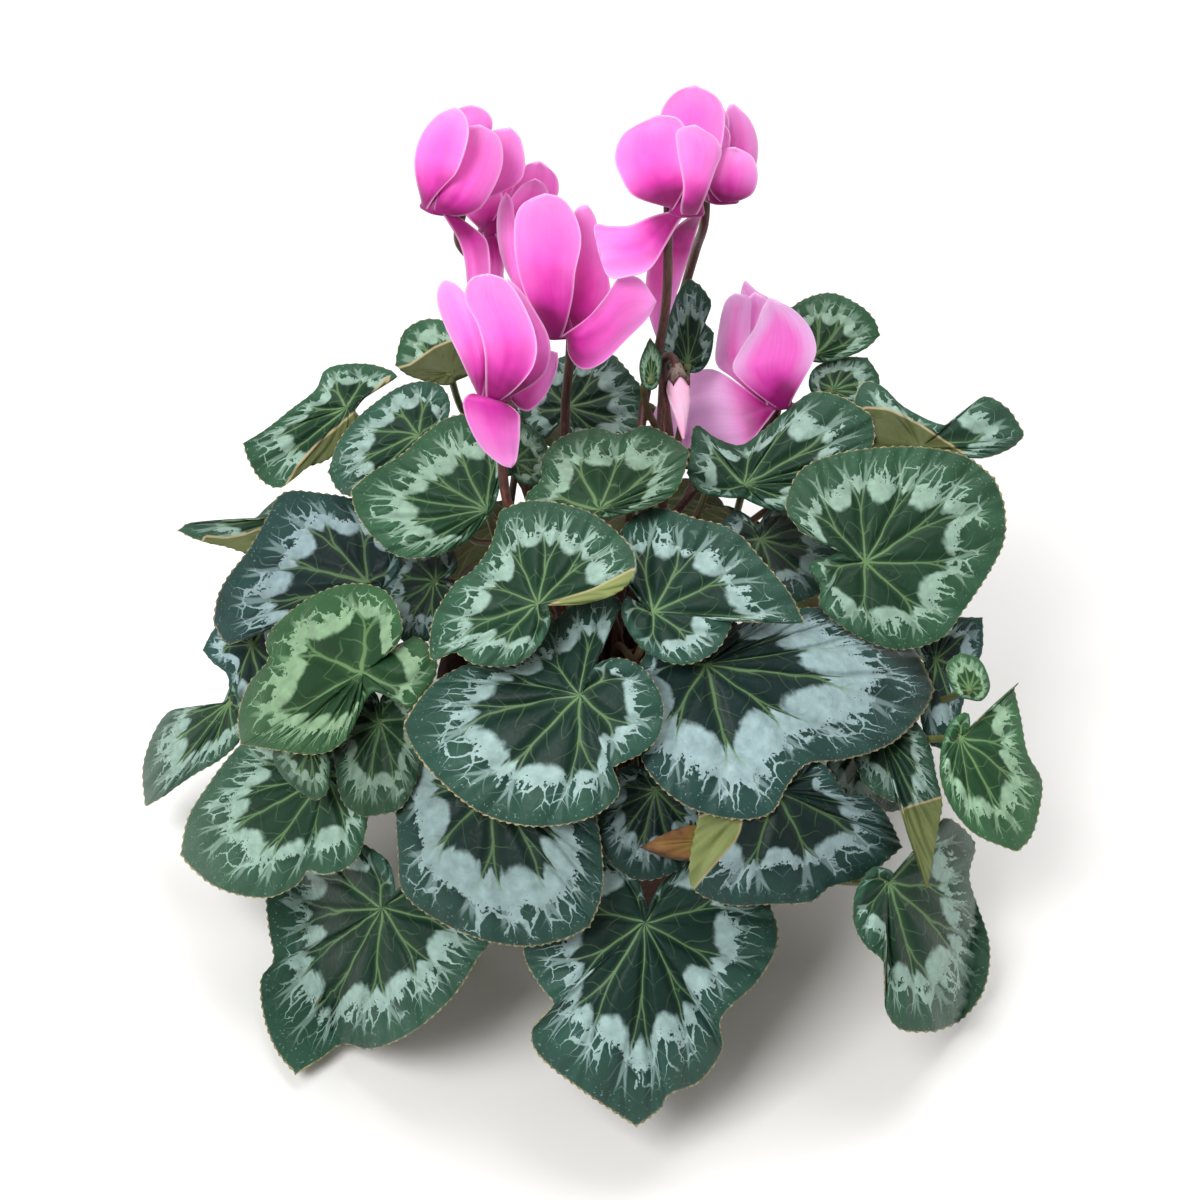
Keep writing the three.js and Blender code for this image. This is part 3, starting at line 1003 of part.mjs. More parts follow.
function petalSheet(bloom, petal, across, along) {
  const { mouth, axis, round } = bloomFrame(bloom);
  const edges = [petal.left, petal.right].map((edge) => evenSteps(smoothRun([...edge, petal.tip]), along));
  const anchor = mouth.clone().addScaledVector(round(petal.from), TUBE.radius)
    .addScaledVector(FRONT.toward, petal.nearer);
  const plane = { anchor, normal: compass(...petal.faces), bend: 0 };
  const places = [];
  const rows = [];
  for (let step = 0; step < along; step += 1) {
    const out = step / along;
    const row = [];
    for (let line = 0; line <= across; line += 1) {
      const t = line / across;
      const point = [0, 1].map((axisIndex) => mix(edges[0][step][axisIndex], edges[1][step][axisIndex], t));
      const cup = -PETAL.cup * (2 * t - 1) ** 2 * Math.sin(Math.PI * Math.min(1, out + 0.1));
      const seen = onPlane(point, cup, plane, FRONT);
      const spread = (PETAL.base / TUBE.radius / DEG) * (t - 0.5);
      const start = mouth.clone().addScaledVector(round(petal.from + spread), TUBE.radius - 0.5)
        .addScaledVector(axis, 0.7);
      row.push(places.length);
      places.push(start.lerp(seen, ease(out / 0.4)));
    }
    rows.push(row);
  }
  const tip = places.length;
  places.push(onPlane(petal.tip, 0, plane, FRONT));
  const faces = [];
  for (let step = 0; step < along - 1; step += 1) {
    for (let line = 0; line < across; line += 1) {
      const [a, b] = [rows[step][line], rows[step][line + 1]];
      const [c, d] = [rows[step + 1][line], rows[step + 1][line + 1]];
      faces.push([a, b, d], [a, d, c]);
    }
  }
  const last = rows[along - 1];
  for (let line = 0; line < across; line += 1) {
    faces.push([last[line], last[line + 1], tip]);
  }
  const margin = [
    ...rows[0],
    ...rows.slice(1).map((row) => row[across]),
    tip,
    ...rows.slice(1).map((row) => row[0]).reverse(),
  ];
  return { places, faces, margin };
}

function petalSolid(bloom, petal) {
  const sheet = petalSheet(bloom, petal, PETAL.across, PETAL.along);
  return thicken(sheet, sheet.places.map(() => PETAL.thickness / 2)).geometry;
}

function bloomBody(bloom) {
  const { mouth, axis } = bloomFrame(bloom);
  const profile = [
    [0, TUBE.height], [TUBE.neck, TUBE.height], [TUBE.radius - 0.6, 4.5], [TUBE.radius, 0], [0, 3],
  ];
  const corolla = alongAxis(turnedBody(profile.reverse(), TUBE.sides), mouth, axis);
  return [corolla, ...bloom.petals.map((petal) => petalSolid(bloom, petal))];
}

// A flower stem rises past its places, goes up beside the corolla and hooks over into the calyx.
function stemPath(site, flower, rise) {
  const { mouth, axis, round } = bloomFrame(flower);
  const side = round(flower.stemSide);
  const hook = STEM.hookRadius;
  const at = (out, up) => mouth.clone().addScaledVector(side, out).addScaledVector(axis, up);
  const start = foot(site);
  const passed = flower.stem.map(([across, up, nearer]) => placeSeen([across, up], nearer));
  const climb = spaced([start[1], start[2], ...passed, at(2 * hook, -8)], STEM.stepLength);
  const bend = [at(2 * hook, rise - 2)];
  for (let step = 1; step < STEM.hookSteps; step += 1) {
    const angle = (Math.PI * step) / STEM.hookSteps;
    bend.push(at(hook + hook * Math.cos(angle), rise + 1 + hook * Math.sin(angle)));
  }
  return [start[0], ...climb, ...bend, at(0, rise - 1)];
}

function calyx(flower, from, grow = 0) {
  const { mouth, axis } = bloomFrame(flower);
  const wide = CALYX.radius + grow;
  const profile = [
    [0, -grow], [wide, -grow], [wide * 0.94, CALYX.height * 0.5],
    [CALYX.radius * 0.5 + grow, CALYX.height + grow], [0, CALYX.height + grow],
  ];
  return alongAxis(turnedBody(profile, 6), mouth.clone().addScaledVector(axis, from), axis);
}

const BUD_FLOWER = (() => {
  const top = placeSeen(BUD.mouth, BUD.nearer);
  const point = placeSeen(BUD.point, BUD.nearer + 2);
  const lean = top.clone().sub(point).normalize().toArray();
  return { ...BUD, lean };
})();

function budBody() {
  const { mouth, axis } = bloomFrame(BUD_FLOWER);
  const profile = [
    [0, -BUD.length], [BUD.radius * 0.45, -BUD.length * 0.72], [BUD.radius * 0.86, -BUD.length * 0.38],
    [BUD.radius, -BUD.length * 0.16], [BUD.radius * 0.9, 0], [0, 0],
  ];
  return alongAxis(turnedBody(profile, 10), mouth, axis);
}

function potBody() {
  const lean = (z) => mix(POT.baseRadius, POT.topRadius, z / POT.height);
  const rimFoot = POT.height - POT.rimHeight;
  const outer = [
    [0, 0], [lean(0) - 1, 0], [lean(0), 1], [lean(rimFoot) - 0.6, rimFoot - 0.6],
    [lean(rimFoot) + POT.rimOut, rimFoot + 1], [POT.topRadius + POT.rimOut, POT.height - 1],
    [POT.topRadius + POT.rimOut - 1, POT.height],
  ];
  const inner = [
    [POT.topRadius - POT.wall + 1.2, POT.height], [lean(POT.floor) - POT.wall, POT.floor], [0, POT.floor],
  ];
  let pot = solidOf(turnedBody([...outer, ...inner], ROUND));
  for (let hole = 0; hole < DRAIN.count; hole += 1) {
    const angle = ((hole + 0.5) * 2 * Math.PI) / DRAIN.count;
    const drill = new THREE.CylinderGeometry(DRAIN.radius, DRAIN.radius, POT.floor * 3, DRAIN.sides);
    drill.rotateX(Math.PI / 2).translate(DRAIN.ring * Math.cos(angle), DRAIN.ring * Math.sin(angle), 0);
    pot = pot.subtract(solidOf(drill));
  }
  return geometryOf(pot);
}

function soilBody() {
  const inside = (z) => {
    const wide = POT.topRadius - POT.wall + 1.2;
    const narrow = mix(POT.baseRadius, POT.topRadius, POT.floor / POT.height) - POT.wall;
    const wall = mix(narrow, wide, (z - POT.floor) / (POT.height - POT.floor));
    return wall - CLEARANCE / Math.cos(Math.PI / ROUND);
  };
  const low = POT.floor + CLEARANCE;
  const profile = [
    [0, low], [inside(low), low], [inside(SOIL.top), SOIL.top], [50, SOIL.top + SOIL.mound * 0.5],
    [42, SOIL.top + SOIL.mound], [0, SOIL.top + SOIL.mound],
  ];
  const room = solidOf(turnedBody(tuberProfile(CLEARANCE + 0.25), ROUND));
  return geometryOf(solidOf(turnedBody(profile, ROUND)).subtract(room));
}

function tuberProfile(grow = 0) {
  return [
    [0, TUBER.bottom - grow], [TUBER.radius * 0.6 + grow, TUBER.bottom + 2 - grow],
    [TUBER.radius * 0.92 + grow, TUBER.middle - 6], [TUBER.radius + grow, TUBER.middle],
    [TUBER.radius * 0.94 + grow, TUBER.middle + 8], [TUBER.crownRadius + 2 + grow, TUBER.crown - 1 + grow],
    [0, TUBER.crown + grow],
  ];
}

function tuberBody(strands) {
  let tuber = solidOf(turnedBody(tuberProfile(), ROUND));
  strands.filter((strand) => !strand.host).forEach(({ path, radius }) => {
    const wide = (radius + CLEARANCE + 0.05) / Math.cos(Math.PI / SOCKET.sides);
    const drill = new THREE.CylinderGeometry(wide, wide, SOCKET.depth * 4, SOCKET.sides);
    drill.rotateX(Math.PI / 2).translate(path[0].x, path[0].y, TUBER.crown + SOCKET.depth);
    tuber = tuber.subtract(solidOf(drill));
  });
  return geometryOf(tuber);
}

function named(name, geometry, colour) {
  const material = new THREE.MeshStandardMaterial({ color: colour, roughness: 0.6 });
  const mesh = new THREE.Mesh(geometry, material);
  mesh.name = name;
  return mesh;
}

function build() {
  const blades = ALL_LEAVES.map((leaf) => {
    const sheet = bladeMiddle(leaf);
    const halves = sheet.spreads.map((spread) => mix(BLADE.heart, BLADE.margin, spread) / 2);
    return { leaf, sheet, ...thicken(sheet, halves), end: sheet.places[0] };
  });
  const flowers = [...BLOOMS, { ...BUD_FLOWER, name: "bud" }];
  const rooted = blades.filter(({ leaf }) => !SHARED.has(leaf.name));
  const ends = [
    ...rooted.map(({ end }) => end),
    ...flowers.map((flower) => placeSeen(flower.stem[0], flower.stem[0][2])),
  ];
  const sites = giveSockets(ends);
  const strands = rooted.map(({ leaf, end, normal }, index) => ({
    name: leaf.name,
    radius: STALK.radius,
    held: [2, 2],
    path: stalkPath(sites[index], end, normal, leaf.stalkTurn),
  }));
  flowers.forEach((flower, index) => {
    const rise = flower.name === "bud" ? CALYX.height : TUBE.height + CLEARANCE + CALYX.height;
    const path = stemPath(sites[rooted.length + index], flower, rise);
    strands.push({ name: flower.name, radius: STEM.radius, held: [2, STEM.hookSteps + 2], path });
  });
  easeApart(strands);
  blades.filter(({ leaf }) => SHARED.has(leaf.name)).forEach(({ leaf, end, normal }) => {
    const host = strands.find((strand) => strand.name === SHARED.get(leaf.name));
    const from = host.path[Math.max(3, Math.round(host.path.length * 0.55))];
    const turn = end.clone().addScaledVector(normal, -STALK.approach * 0.5);
    const near = end.clone().addScaledVector(normal, -6);
    const path = [...spaced([from.clone(), turn, near], STALK.stepLength), end.clone()];
    strands.push({ name: leaf.name, host: host.name, radius: STALK.radius, held: [1, 2], path });
  });
  easeApart(strands);

  const strandOf = (name) => strands.find((strand) => strand.name === name);
  const group = new THREE.Group();
  group.name = "root";
  group.add(named("pot", potBody(), COLOURS.pot));
  group.add(named("soil", soilBody(), COLOURS.soil));
  group.add(named("tuber", tuberBody(strands), COLOURS.tuber));
  blades.filter(({ leaf }) => !SHARED.has(leaf.name)).forEach((blade) => {
    const members = [blade, ...blades.filter(({ leaf }) => leaf.name === blade.leaf.also)];
    const bodies = members.flatMap(({ leaf, geometry }) => {
      const strand = strandOf(leaf.name);
      return [tube(strand.path, strand.radius, STALK.sides), geometry];
    });
    group.add(named(blade.leaf.name, joined(bodies), COLOURS.blade));
  });
  BLOOMS.forEach((bloom) => {
    const strand = strandOf(bloom.name);
    const top = TUBE.height + CLEARANCE + 0.1;
    const corolla = clearedOf(bloomBody(bloom), strand, calyx(bloom, top, CLEARANCE + 0.08));
    group.add(named(bloom.name, corolla, COLOURS.petal));
    group.add(named(`stem_of_${bloom.name}`, joined([
      tube(strand.path, strand.radius, STEM.sides), calyx(bloom, top),
    ]), COLOURS.stem));
  });
  const budStrand = strandOf("bud");
  group.add(named("bud", geometryOf(solidOf(budBody())), COLOURS.bud));
  group.add(named("stem_of_bud", joined([
    tube(budStrand.path, budStrand.radius, STEM.sides), calyx(BUD_FLOWER, CLEARANCE),
  ]), COLOURS.stem));
  return group;
}

export default build();
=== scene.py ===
"""Potted cyclamen: the living surface over the model of leaves, blooms, stems, bud, tuber, soil and pot.

Places are millimetres while they are worked out and metres in Blender, with +Z up, the origin at the
middle of the pot's underside and the plant's front towards -Y. Leaves and blooms are laid out as they are
seen from the front, as in the model: [across, up] in the plane square to the line of sight, and a third
number is a height off the surface that the piece lies on, or towards the viewer.
"""
import functools
import math

import bpy
import numpy as np
from bpy.props import FloatProperty, FloatVectorProperty, IntProperty, PointerProperty
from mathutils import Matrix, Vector


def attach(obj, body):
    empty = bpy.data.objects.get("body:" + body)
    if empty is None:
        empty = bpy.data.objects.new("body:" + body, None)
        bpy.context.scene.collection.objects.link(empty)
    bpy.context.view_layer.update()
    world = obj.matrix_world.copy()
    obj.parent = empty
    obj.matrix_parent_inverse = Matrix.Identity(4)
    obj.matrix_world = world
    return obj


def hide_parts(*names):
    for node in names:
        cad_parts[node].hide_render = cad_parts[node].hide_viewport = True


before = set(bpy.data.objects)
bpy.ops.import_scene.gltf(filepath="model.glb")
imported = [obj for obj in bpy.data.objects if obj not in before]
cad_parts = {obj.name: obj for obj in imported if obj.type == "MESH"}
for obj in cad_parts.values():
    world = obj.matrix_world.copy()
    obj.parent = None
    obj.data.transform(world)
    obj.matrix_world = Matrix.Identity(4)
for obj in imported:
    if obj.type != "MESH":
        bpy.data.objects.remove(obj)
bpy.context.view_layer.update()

bl_info = {
    "name": "Potted Cyclamen",
    "version": (1, 0, 0),
    "blender": (4, 5, 0),
    "location": "3D View > Sidebar > Cyclamen",
    "description": "Leaves, blooms, stems, bud, tuber, soil and pot of a cyclamen, and a plain stage",
    "category": "Object",
}

MM = 0.001
UP = np.array([0.0, 0.0, 1.0])

# How the plant is seen, and the mound that its blades lie on.
ELEVATION = math.radians(40)
DISTANCE = 850.0
AIM = np.array([0.0, 0.0, 150.0])
PHOTO_WIDTH = 1200 * 0.4
MOUND = dict(radius=178, height=165, foot=50, lowest=9)

# Pot, soil and tuber.
POT = dict(height=110, top=65, base=48, wall=2.6, floor=4, rim_height=20, rim_out=2.4)
SOIL = dict(top=98, mound=4)
TUBER = dict(radius=33, bottom=80, middle=97, crown=112.5, crown_radius=25)
SOCKET = dict(depth=4, spacing=3.3)

# Blades, stalks and stems.
COARSE_STEP = dict(front=12.5, rear=18)
STALK = dict(radius=1.5, step=30, rise=0.55, approach=34, sides=8)
STEM = dict(radius=1.9, step=30, hook_radius=4.8, hook_steps=4)
TUBE = dict(radius=6.5, height=10, neck=3.2)
CALYX = dict(height=5)
CLEARANCE = 0.3
SILVER_USUAL = (0.52, 0.73)
WITHERED = "leaf_withered"
SECTORS = 9
# How far a vein forks and its tips part, as shares of a sector, where that begins and how long it takes, as
# shares of the way from the heart to the edge, and how wide its trough is, in millimetres.
VEIN = dict(fork=0.25, fork_run=0.55, tips=0.115, tips_from=0.66, tips_run=0.4, trough=2.6)
# The edge's waves, how often each comes round it, and its droop, in millimetres.
EDGE = dict(waves=(0.9, 0.45, 0.25), turns=(5, 11, 17), droop=0.9)
# How much further out the silver begins within a fork, at a vein and beside the notch, and how far round
# the notch, as shares of the way to the edge.
LOBE = dict(forked=0.05, deep=0.19, sinus=0.5, sinus_reach=0.42)
REAR_COARSER = 1.4
# Where the rings of a blade's vertices lie between its heart (0) and its edge (1).
RINGS = np.array([0.03, 0.1, 0.18, 0.26, 0.34, 0.42, 0.5, 0.58, 0.66, 0.73, 0.8, 0.86, 0.91, 0.95, 0.985, 1])


def lifted(points):
    """The points seen, each with its height off the surface."""
    return [[*point, 0][:3] for point in points]


def leaf(name, heart, sinus, tip, side_a, side_b, look=(0.5, 0.8), **rest):
    """A leaf as seen. Its stalk joins at the heart. Its margin runs from the sinus, the inner end of the
    notch beside the heart, along each side to the tip. It lies on the mound, raised by "rise" and by "lean"
    the further down it is, or on a bent plane that "faces" a compass angle and height, where "nearer" is how
    far its middle stands towards the viewer. "look" is how blue its green is and how light it is painted: a
    low lightness is painted shade for a leaf that lies in shade, a high one painted light. "silver" is where
    its silver ring begins and ends, "under" the part whose underside shows, and the under light how light
    that part is painted, painted shade or painted light as well. "also" names a smaller leaf that grows from
    the same stalk.
    """
    if "also" in rest:
        rest["also"] = f"leaf_{rest['also']}"
    sides = [lifted([sinus, *side, tip]) for side in (side_a, side_b)]
    return dict(name=f"leaf_{name}", heart=heart, sides=sides, look=look, **rest)


def petal(leaves_at, faces, nearer, tip, left, right, washed_and_lit=0.1):
    """A petal as seen, from the corolla's mouth at the angle leaves_at along its left and right edge to its
    tip. It lies on a plane that faces a compass angle and height. washed pales all of it: its own paleness,
    and painted light where it lies in shade."""
    return dict(leaves_at=leaves_at, faces=faces, nearer=nearer, tip=tip, sides=(left, right), washed_and_lit=washed_and_lit)


# In each look the second number is painted shade or light: it darkens the leaves that lie in shade and
# lightens the others.
LEAVES = [
    leaf("front_bottom", [18, -129], [19, -124], [14.5, -211, -2], [[14, -110, 1], [2, -101],
        [-14, -108, -2], [-26, -124, -2], [-31, -140], [-26, -152, 1], [-17, -165, 3], [-27, -171, -3],
        [-25, -182, -2], [-8, -196, 1]], [[26, -112, 1], [40, -103], [58, -108, -2], [69, -124, -2],
        [71, -138], [63, -153, 2], [49, -167, 3], [49, -180, -3], [40, -193, -1], [28, -198, 3], [24, -204]],
        rise=-40, lean=0.4, look=(0.8, 0.85)),
    leaf("front_left_bottom", [-87, -123], [-82, -117], [-122, -190], [[-84, -106, 1], [-92, -99],
        [-106, -94, -1], [-122, -100, -2], [-133, -116, -1], [-133, -131, 1], [-131, -144, 3],
        [-136, -152, -1], [-135, -166], [-130, -180, 1]], [[-76, -112, 1], [-66, -110], [-52, -118, -2],
        [-43, -134, -3], [-49, -144, -2], [-57, -157], [-68, -168, 1], [-80, -176, 1], [-92, -180, -1],
        [-103, -178, 2], [-112, -184]], rise=-43, lean=0.4, look=(0.6, 0.85)),
    leaf("front_right_bottom", [115, -113], [116, -108], [134, -173], [[109, -107], [103, -115, -1],
        [101, -126], [105, -137, 1], [116, -147, 4], [119, -153, 1], [114, -162, -4], [120, -172, -1]],
        [[124, -115, 1], [132, -115, 2], [135, -102, 1], [138, -87, -3], [150, -97, -2], [148, -112, 1],
        [156, -137], [154, -156], [145, -168, 1]], rise=-14, lean=0.3, look=(0.5, 0.9)),
    leaf("front_right_low", [70, -76], [68, -70], [121, -99, -2], [[56, -66], [44, -74, -1], [38, -92, 1],
        [36, -114, 3], [50, -122], [68, -122], [84, -121, 1], [92, -115, -1], [104, -112, -1], [113, -106]],
        [[78, -64], [90, -66, 1], [99, -78, 3], [108, -79, 2], [115, -86, -1]], rise=-22, look=(0.95, 0.62),
        under_light=1.6, under=[[57, -87], [55, -95], [48, -103], [42, -110], [37, -116], [34, -112],
        [35, -100], [37, -88], [46, -84]]),
    leaf("front_left_low", [-43, -75], [-40, -68], [-4, -131], [[-52, -57], [-68, -54, -1], [-82, -62, -2],
        [-82, -82], [-81, -102, 1], [-79, -117, 1], [-66, -128, -1], [-48, -136, 1], [-30, -139],
        [-14, -136, 1]], [[-29, -61], [-14, -66, -1], [-3, -82], [1, -100], [1, -118, 1]], rise=-23,
        look=(0.85, 0.66), silver=(0.46, 0.8)),
    leaf("middle_left", [-8, -38], [-5, -32], [-79, -50], [[3, -20, -5], [11, -9, -9], [7, 1, -9],
        [-6, 2, -9], [-20, -9, -9], [-38, -18, -6], [-52, -25, -2], [-64, -31], [-73, -40, 1]],
        [[-3, -27, 2], [6, -23, 3], [17, -27, 3], [25, -40, 2], [24, -54], [16, -62, -1], [5, -68, 3],
        [8, -77, -2], [-3, -87], [-25, -91, 1], [-47, -86], [-66, -71, 1], [-76, -58]], rise=-9,
        look=(0.75, 0.85)),
    leaf("middle_right", [42, -26], [38, -20, -2], [134, -36], [[30, -14, -4], [18, -22, -4], [12, -38, -5],
        [14, -54, -3], [19, -69], [33, -82, 1], [52, -88], [68, -86, 1], [75, -75, 2], [83, -66, 3],
        [98, -64, -1], [116, -58], [129, -46]], [[46, -15, -4], [60, -8, -6], [84, -3, -9], [108, -7, -9],
        [126, -20, -3]], rise=-20, look=(0.95, 0.78), silver=(0.42, 0.78)),
    leaf("right_round", [106, 15], [96, 19.5], [158, 49], [[91, 21, 2], [86, 19, 3], [78, 30, 1], [74, 38],
        [79, 51], [90, 57.5, 1], [108, 61], [128, 61.5], [146, 58]], [[92, 17.5, -1], [87, 16, -3],
        [83, 13, -2], [88, 5, -1], [88, -3], [100, -13, 1], [118, -20], [136, -16, 1], [146, -4, 1],
        [156, 11], [162, 24], [162, 38]], nearer=12, faces=[-68, 58], bend=260, look=(0.35, 0.85)),
    leaf("right_shadow", [104, -58], [101, -53], [128, -81], [[94, -57], [90, -68, 1], [91, -79, 3],
        [101, -84], [112, -85], [121, -84]], [[108, -50], [114, -54], [118, -62], [124, -71]], rise=-42,
        also="right_hanging", look=(0.6, 0.6)),
    leaf("right_hanging", [112, -52], [110, -48], [131, -116], [[103, -50], [101, -61], [106, -74, 1],
        [115, -80, 1], [121.5, -83], [125, -93], [128, -104]], [[119, -45], [126, -48], [132, -58],
        [134.5, -70], [137, -81], [135.5, -91], [133.5, -102]], nearer=37, faces=[-70, 71], bend=300,
        look=(0.55, 0.65), under_light=1.15, under=[[120, -84], [128, -81.5], [139.5, -78], [141, -82],
        [136, -104], [131, -121], [124, -104]]),
    leaf("right_outer", [144, -55], [148, -51], [167, -101], [[147, -45, 1], [141, -48], [137, -57],
        [136, -70], [140, -82], [150, -94]], [[151, -46, 2], [157, -37, 2], [163, -29], [168, -45, -2],
        [171, -61, 1], [177, -73, -2], [175, -88], [172, -96]], rise=0, faces=[-48, 36], bend=200,
        look=(0.12, 1.15)),
    leaf("right_young", [148, -36], [149, -40], [144, -21], [[143, -38], [139, -31], [139, -25]],
        [[153, -40], [156, -34], [152, -24]], rise=0, faces=[-60, 45], bend=60, stalk_turn=[0.15, 0.1, -0.2],
        also="right_behind", look=(0.1, 1)),
    leaf("right_behind", [134, -24], [131, -24], [153, -7], [[128, -18], [131, -9], [142, -7]], [[128, -32],
        [128, -46], [132, -58], [140, -58], [144, -46], [148, -32], [153, -20]], rise=-16, faces=[-50, 55],
        bend=200, look=(1, 0.85)),
    leaf("centre_left", [-25, -2], [-21, -2], [-40, 36], [[-16, -3.5], [-5, -1], [4, 1.5], [11, 6, 1],
        [14.5, 13, 1], [12, 22], [0, 33, -1], [-12, 38, -1], [-28, 40]], [[-20, -9], [-24, -18, 1],
        [-34, -26, 2], [-50, -26, 2], [-59, -21, 1], [-68, -24, -1], [-67, -8], [-59, 6, 3], [-51, 12, -3],
        [-44, 22, -3]], rise=5, stalk_turn=[0, 0.5, 0], look=(0.45, 0.88), under_light=1.5,
        under=[[-21, -2.5], [-12, 1], [-3, 4], [5, 8], [13.5, 12.5], [17, 10], [6, 0], [-5, -4], [-17, -7]]),
    leaf("centre_right", [21, -5], [18, -3], [82, -9], [[12, 5, 1], [8, 10], [6, 18, -1], [9, 29, -1],
        [17, 36, -1], [25, 37], [38, 33], [54, 28], [66, 15], [76, 3]], [[12, 2, -2], [8.5, -3, -1],
        [11, -12], [20, -22, 1], [34, -26, 1], [46, -21, 1], [52, -12, 2], [55, -2, 6], [62, -5, 2],
        [72, -9, -1]], rise=-9, look=(0.7, 0.88)),
    leaf("centre_top", [0, 36], [0, 33], [36, 60], [[-10, 28, -2], [-24, 33, -2], [-30, 41], [-24, 48, 1],
        [-23, 57], [-16, 65], [-2, 69, 1], [8, 66.5, -1], [18, 70, 1], [28, 66]], [[4, 33, 1], [12, 35, 3],
        [22, 38, 2], [30, 43], [34, 51]], rise=-2, look=(0.25, 0.85)),
    leaf("upper_left", [-45, 36], [-42.5, 37], [-100, 44], [[-40.5, 44], [-39, 55], [-39, 66, -1],
        [-48, 74, -2], [-60, 73.5, -2], [-70, 67, -1], [-80, 58], [-92, 51, 1]], [[-46, 32], [-53, 24],
        [-65, 18], [-80, 17], [-91, 25], [-98, 35]], rise=-2, faces=[-108, 62], bend=220,
        also="centre_shaded", look=(0.3, 0.88)),
    leaf("left_green", [-95, -29], [-91, -36.5], [-144, -58], [[-87, -37.5, -2], [-81, -40.5, -4],
        [-75, -43, -8], [-66, -31, -8], [-66, -21, -8], [-75, -14, -8], [-84, -17, -6], [-91, -25, -2],
        [-90, -22, 1], [-82, -19, 2], [-79, -9, 2], [-86, 4], [-102, 6.5], [-118, 0], [-131, -11],
        [-134, -18, 1], [-133, -24, 2], [-141, -34], [-145, -47]], [[-94, -40.5], [-97, -47], [-102, -56],
        [-109, -61], [-118, -62, 1], [-131, -60]], rise=-5, look=(0, 0.85), silver=(0.52, 0.76)),
    leaf("left_blue", [-93, 7], [-91, 3], [-155, -9, -3], [[-85, 6], [-80, 14, 1], [-82, 27, -1],
        [-95, 39, -2], [-112, 43, -1], [-127, 43], [-134, 32, 1], [-141, 20, 3], [-148, 11], [-153, 2, -1]],
        [[-98, 0], [-111, -4, -1], [-126, -10, -1], [-140, -12], [-149, -18, -3]], nearer=4,
        faces=[-126, 55], bend=150, also="left_shaded", look=(1, 0.62)),
    leaf("upper_left_silver", [-72, 66], [-68, 68], [-109, 51], [[-62, 70], [-60, 79], [-64, 86],
        [-72, 87.5], [-81, 85], [-90, 79, 1], [-98, 72, -1], [-105, 63]], [[-66, 60], [-74, 50], [-88, 42],
        [-103, 42]], nearer=-5, faces=[-105, 66], bend=200, look=(0.6, 0.85)),
    leaf("upper_left_outer", [-101, 77], [-98, 76], [-143, 62.5], [[-94, 81], [-87, 86], [-81, 90],
        [-90, 94], [-101, 94.5], [-110, 92], [-114, 84, 1], [-124, 76], [-134, 68]], [[-98, 70, 2],
        [-103, 61, 4], [-110, 55.5, 4], [-117, 53, 3], [-123, 48, 2], [-129, 44.5], [-136, 48, -1],
        [-141, 56]], nearer=-28, faces=[-105, 50], bend=150, look=(0.4, 0.9), under_light=0.6,
        under=[[-84, 90], [-95, 78.5], [-101, 72.5], [-114, 61.5], [-121, 53.5], [-125.5, 46], [-126, 40],
        [-108, 50], [-96, 62], [-88, 76]]),
    leaf("back_left", [-60, 91], [-57, 88], [-82, 94], [[-50, 92], [-50, 102], [-58, 110], [-69, 112.5],
        [-78, 108], [-81, 100]], [[-61, 86], [-68, 87, 2], [-77, 90, 2]], nearer=-30, faces=[-100, 62],
        bend=90, look=(0.3, 0.92), under_light=0.45, under=[[-46, 88], [-48, 98], [-54, 103], [-60, 103.5],
        [-66, 101], [-76, 94], [-84, 92], [-80, 84], [-60, 80]]),
    leaf("left_edge", [-122, 33], [-119, 32], [-169, 27.7], [[-118, 38], [-126, 42], [-133, 37.5],
        [-140, 30.5], [-148, 26.3, 1], [-157, 26.6, 1], [-164, 30.8]], [[-119, 25], [-128, 15], [-140, 18],
        [-149, 21], [-158, 23], [-164, 25]], nearer=-50, faces=[85, 75], look=(0.5, 0.8), under_light=0.75,
        under=[[-158, 25.5], [-150, 24.6], [-142, 26], [-134, 29], [-126, 30], [-122, 12], [-145, 14],
        [-160, 21]]),
    leaf("left_bottom", [-148, -41], [-145, -38], [-182, -83], [[-147, -33], [-152, -43, 1], [-161, -45],
        [-171, -44, -1], [-178, -52], [-183, -67]], [[-142, -45], [-144, -56, 1], [-152, -64, -1],
        [-164, -71, 1], [-175, -79]], nearer=-25, faces=[-150, 28], bend=160, also="left_behind",
        look=(0.5, 0.9), silver=(0.48, 0.74)),
    leaf("left_behind", [-139, -18], [-138, -13], [-159, -20], [[-139, -5], [-147, -6], [-154, -11]],
        [[-134, -5], [-128, -18], [-129, -36], [-134, -50], [-144, -48], [-148, -38], [-149, -30],
        [-155, -25]], nearer=-26, faces=[-140, 60], bend=200, look=(1, 0.85)),
    leaf("left_low", [-109, -70], [-105, -66], [-168, -102], [[-108, -56, -2], [-122, -52, -3],
        [-138, -53, -3], [-148, -62, -2], [-157, -74], [-165, -87]], [[-97, -68, -1], [-93, -80], [-94, -95],
        [-99, -106], [-110, -110, 1], [-117, -108.5, 3], [-121, -114, 1], [-134, -119.5], [-152, -116],
        [-163, -108]], rise=-22, faces=[-130, 35], bend=150, look=(0.45, 0.95)),
    leaf("left_shadow", [-88, -49], [-88, -43], [-95, -87], [[-90, -37], [-98, -35], [-107, -47],
        [-106, -66], [-103, -81]], [[-86.5, -37.5, -1], [-77, -36, -1], [-70, -47], [-72, -68],
        [-79, -83, 1], [-87, -86]], rise=-19, also="left_small", look=(0.3, 0.5)),
    leaf("left_small", [-116, -58], [-113, -55], [-114, -80.5], [[-122, -56], [-131, -61], [-126, -72]],
        [[-109, -59], [-108, -68], [-109, -77]], rise=-14, look=(0.3, 0.7)),
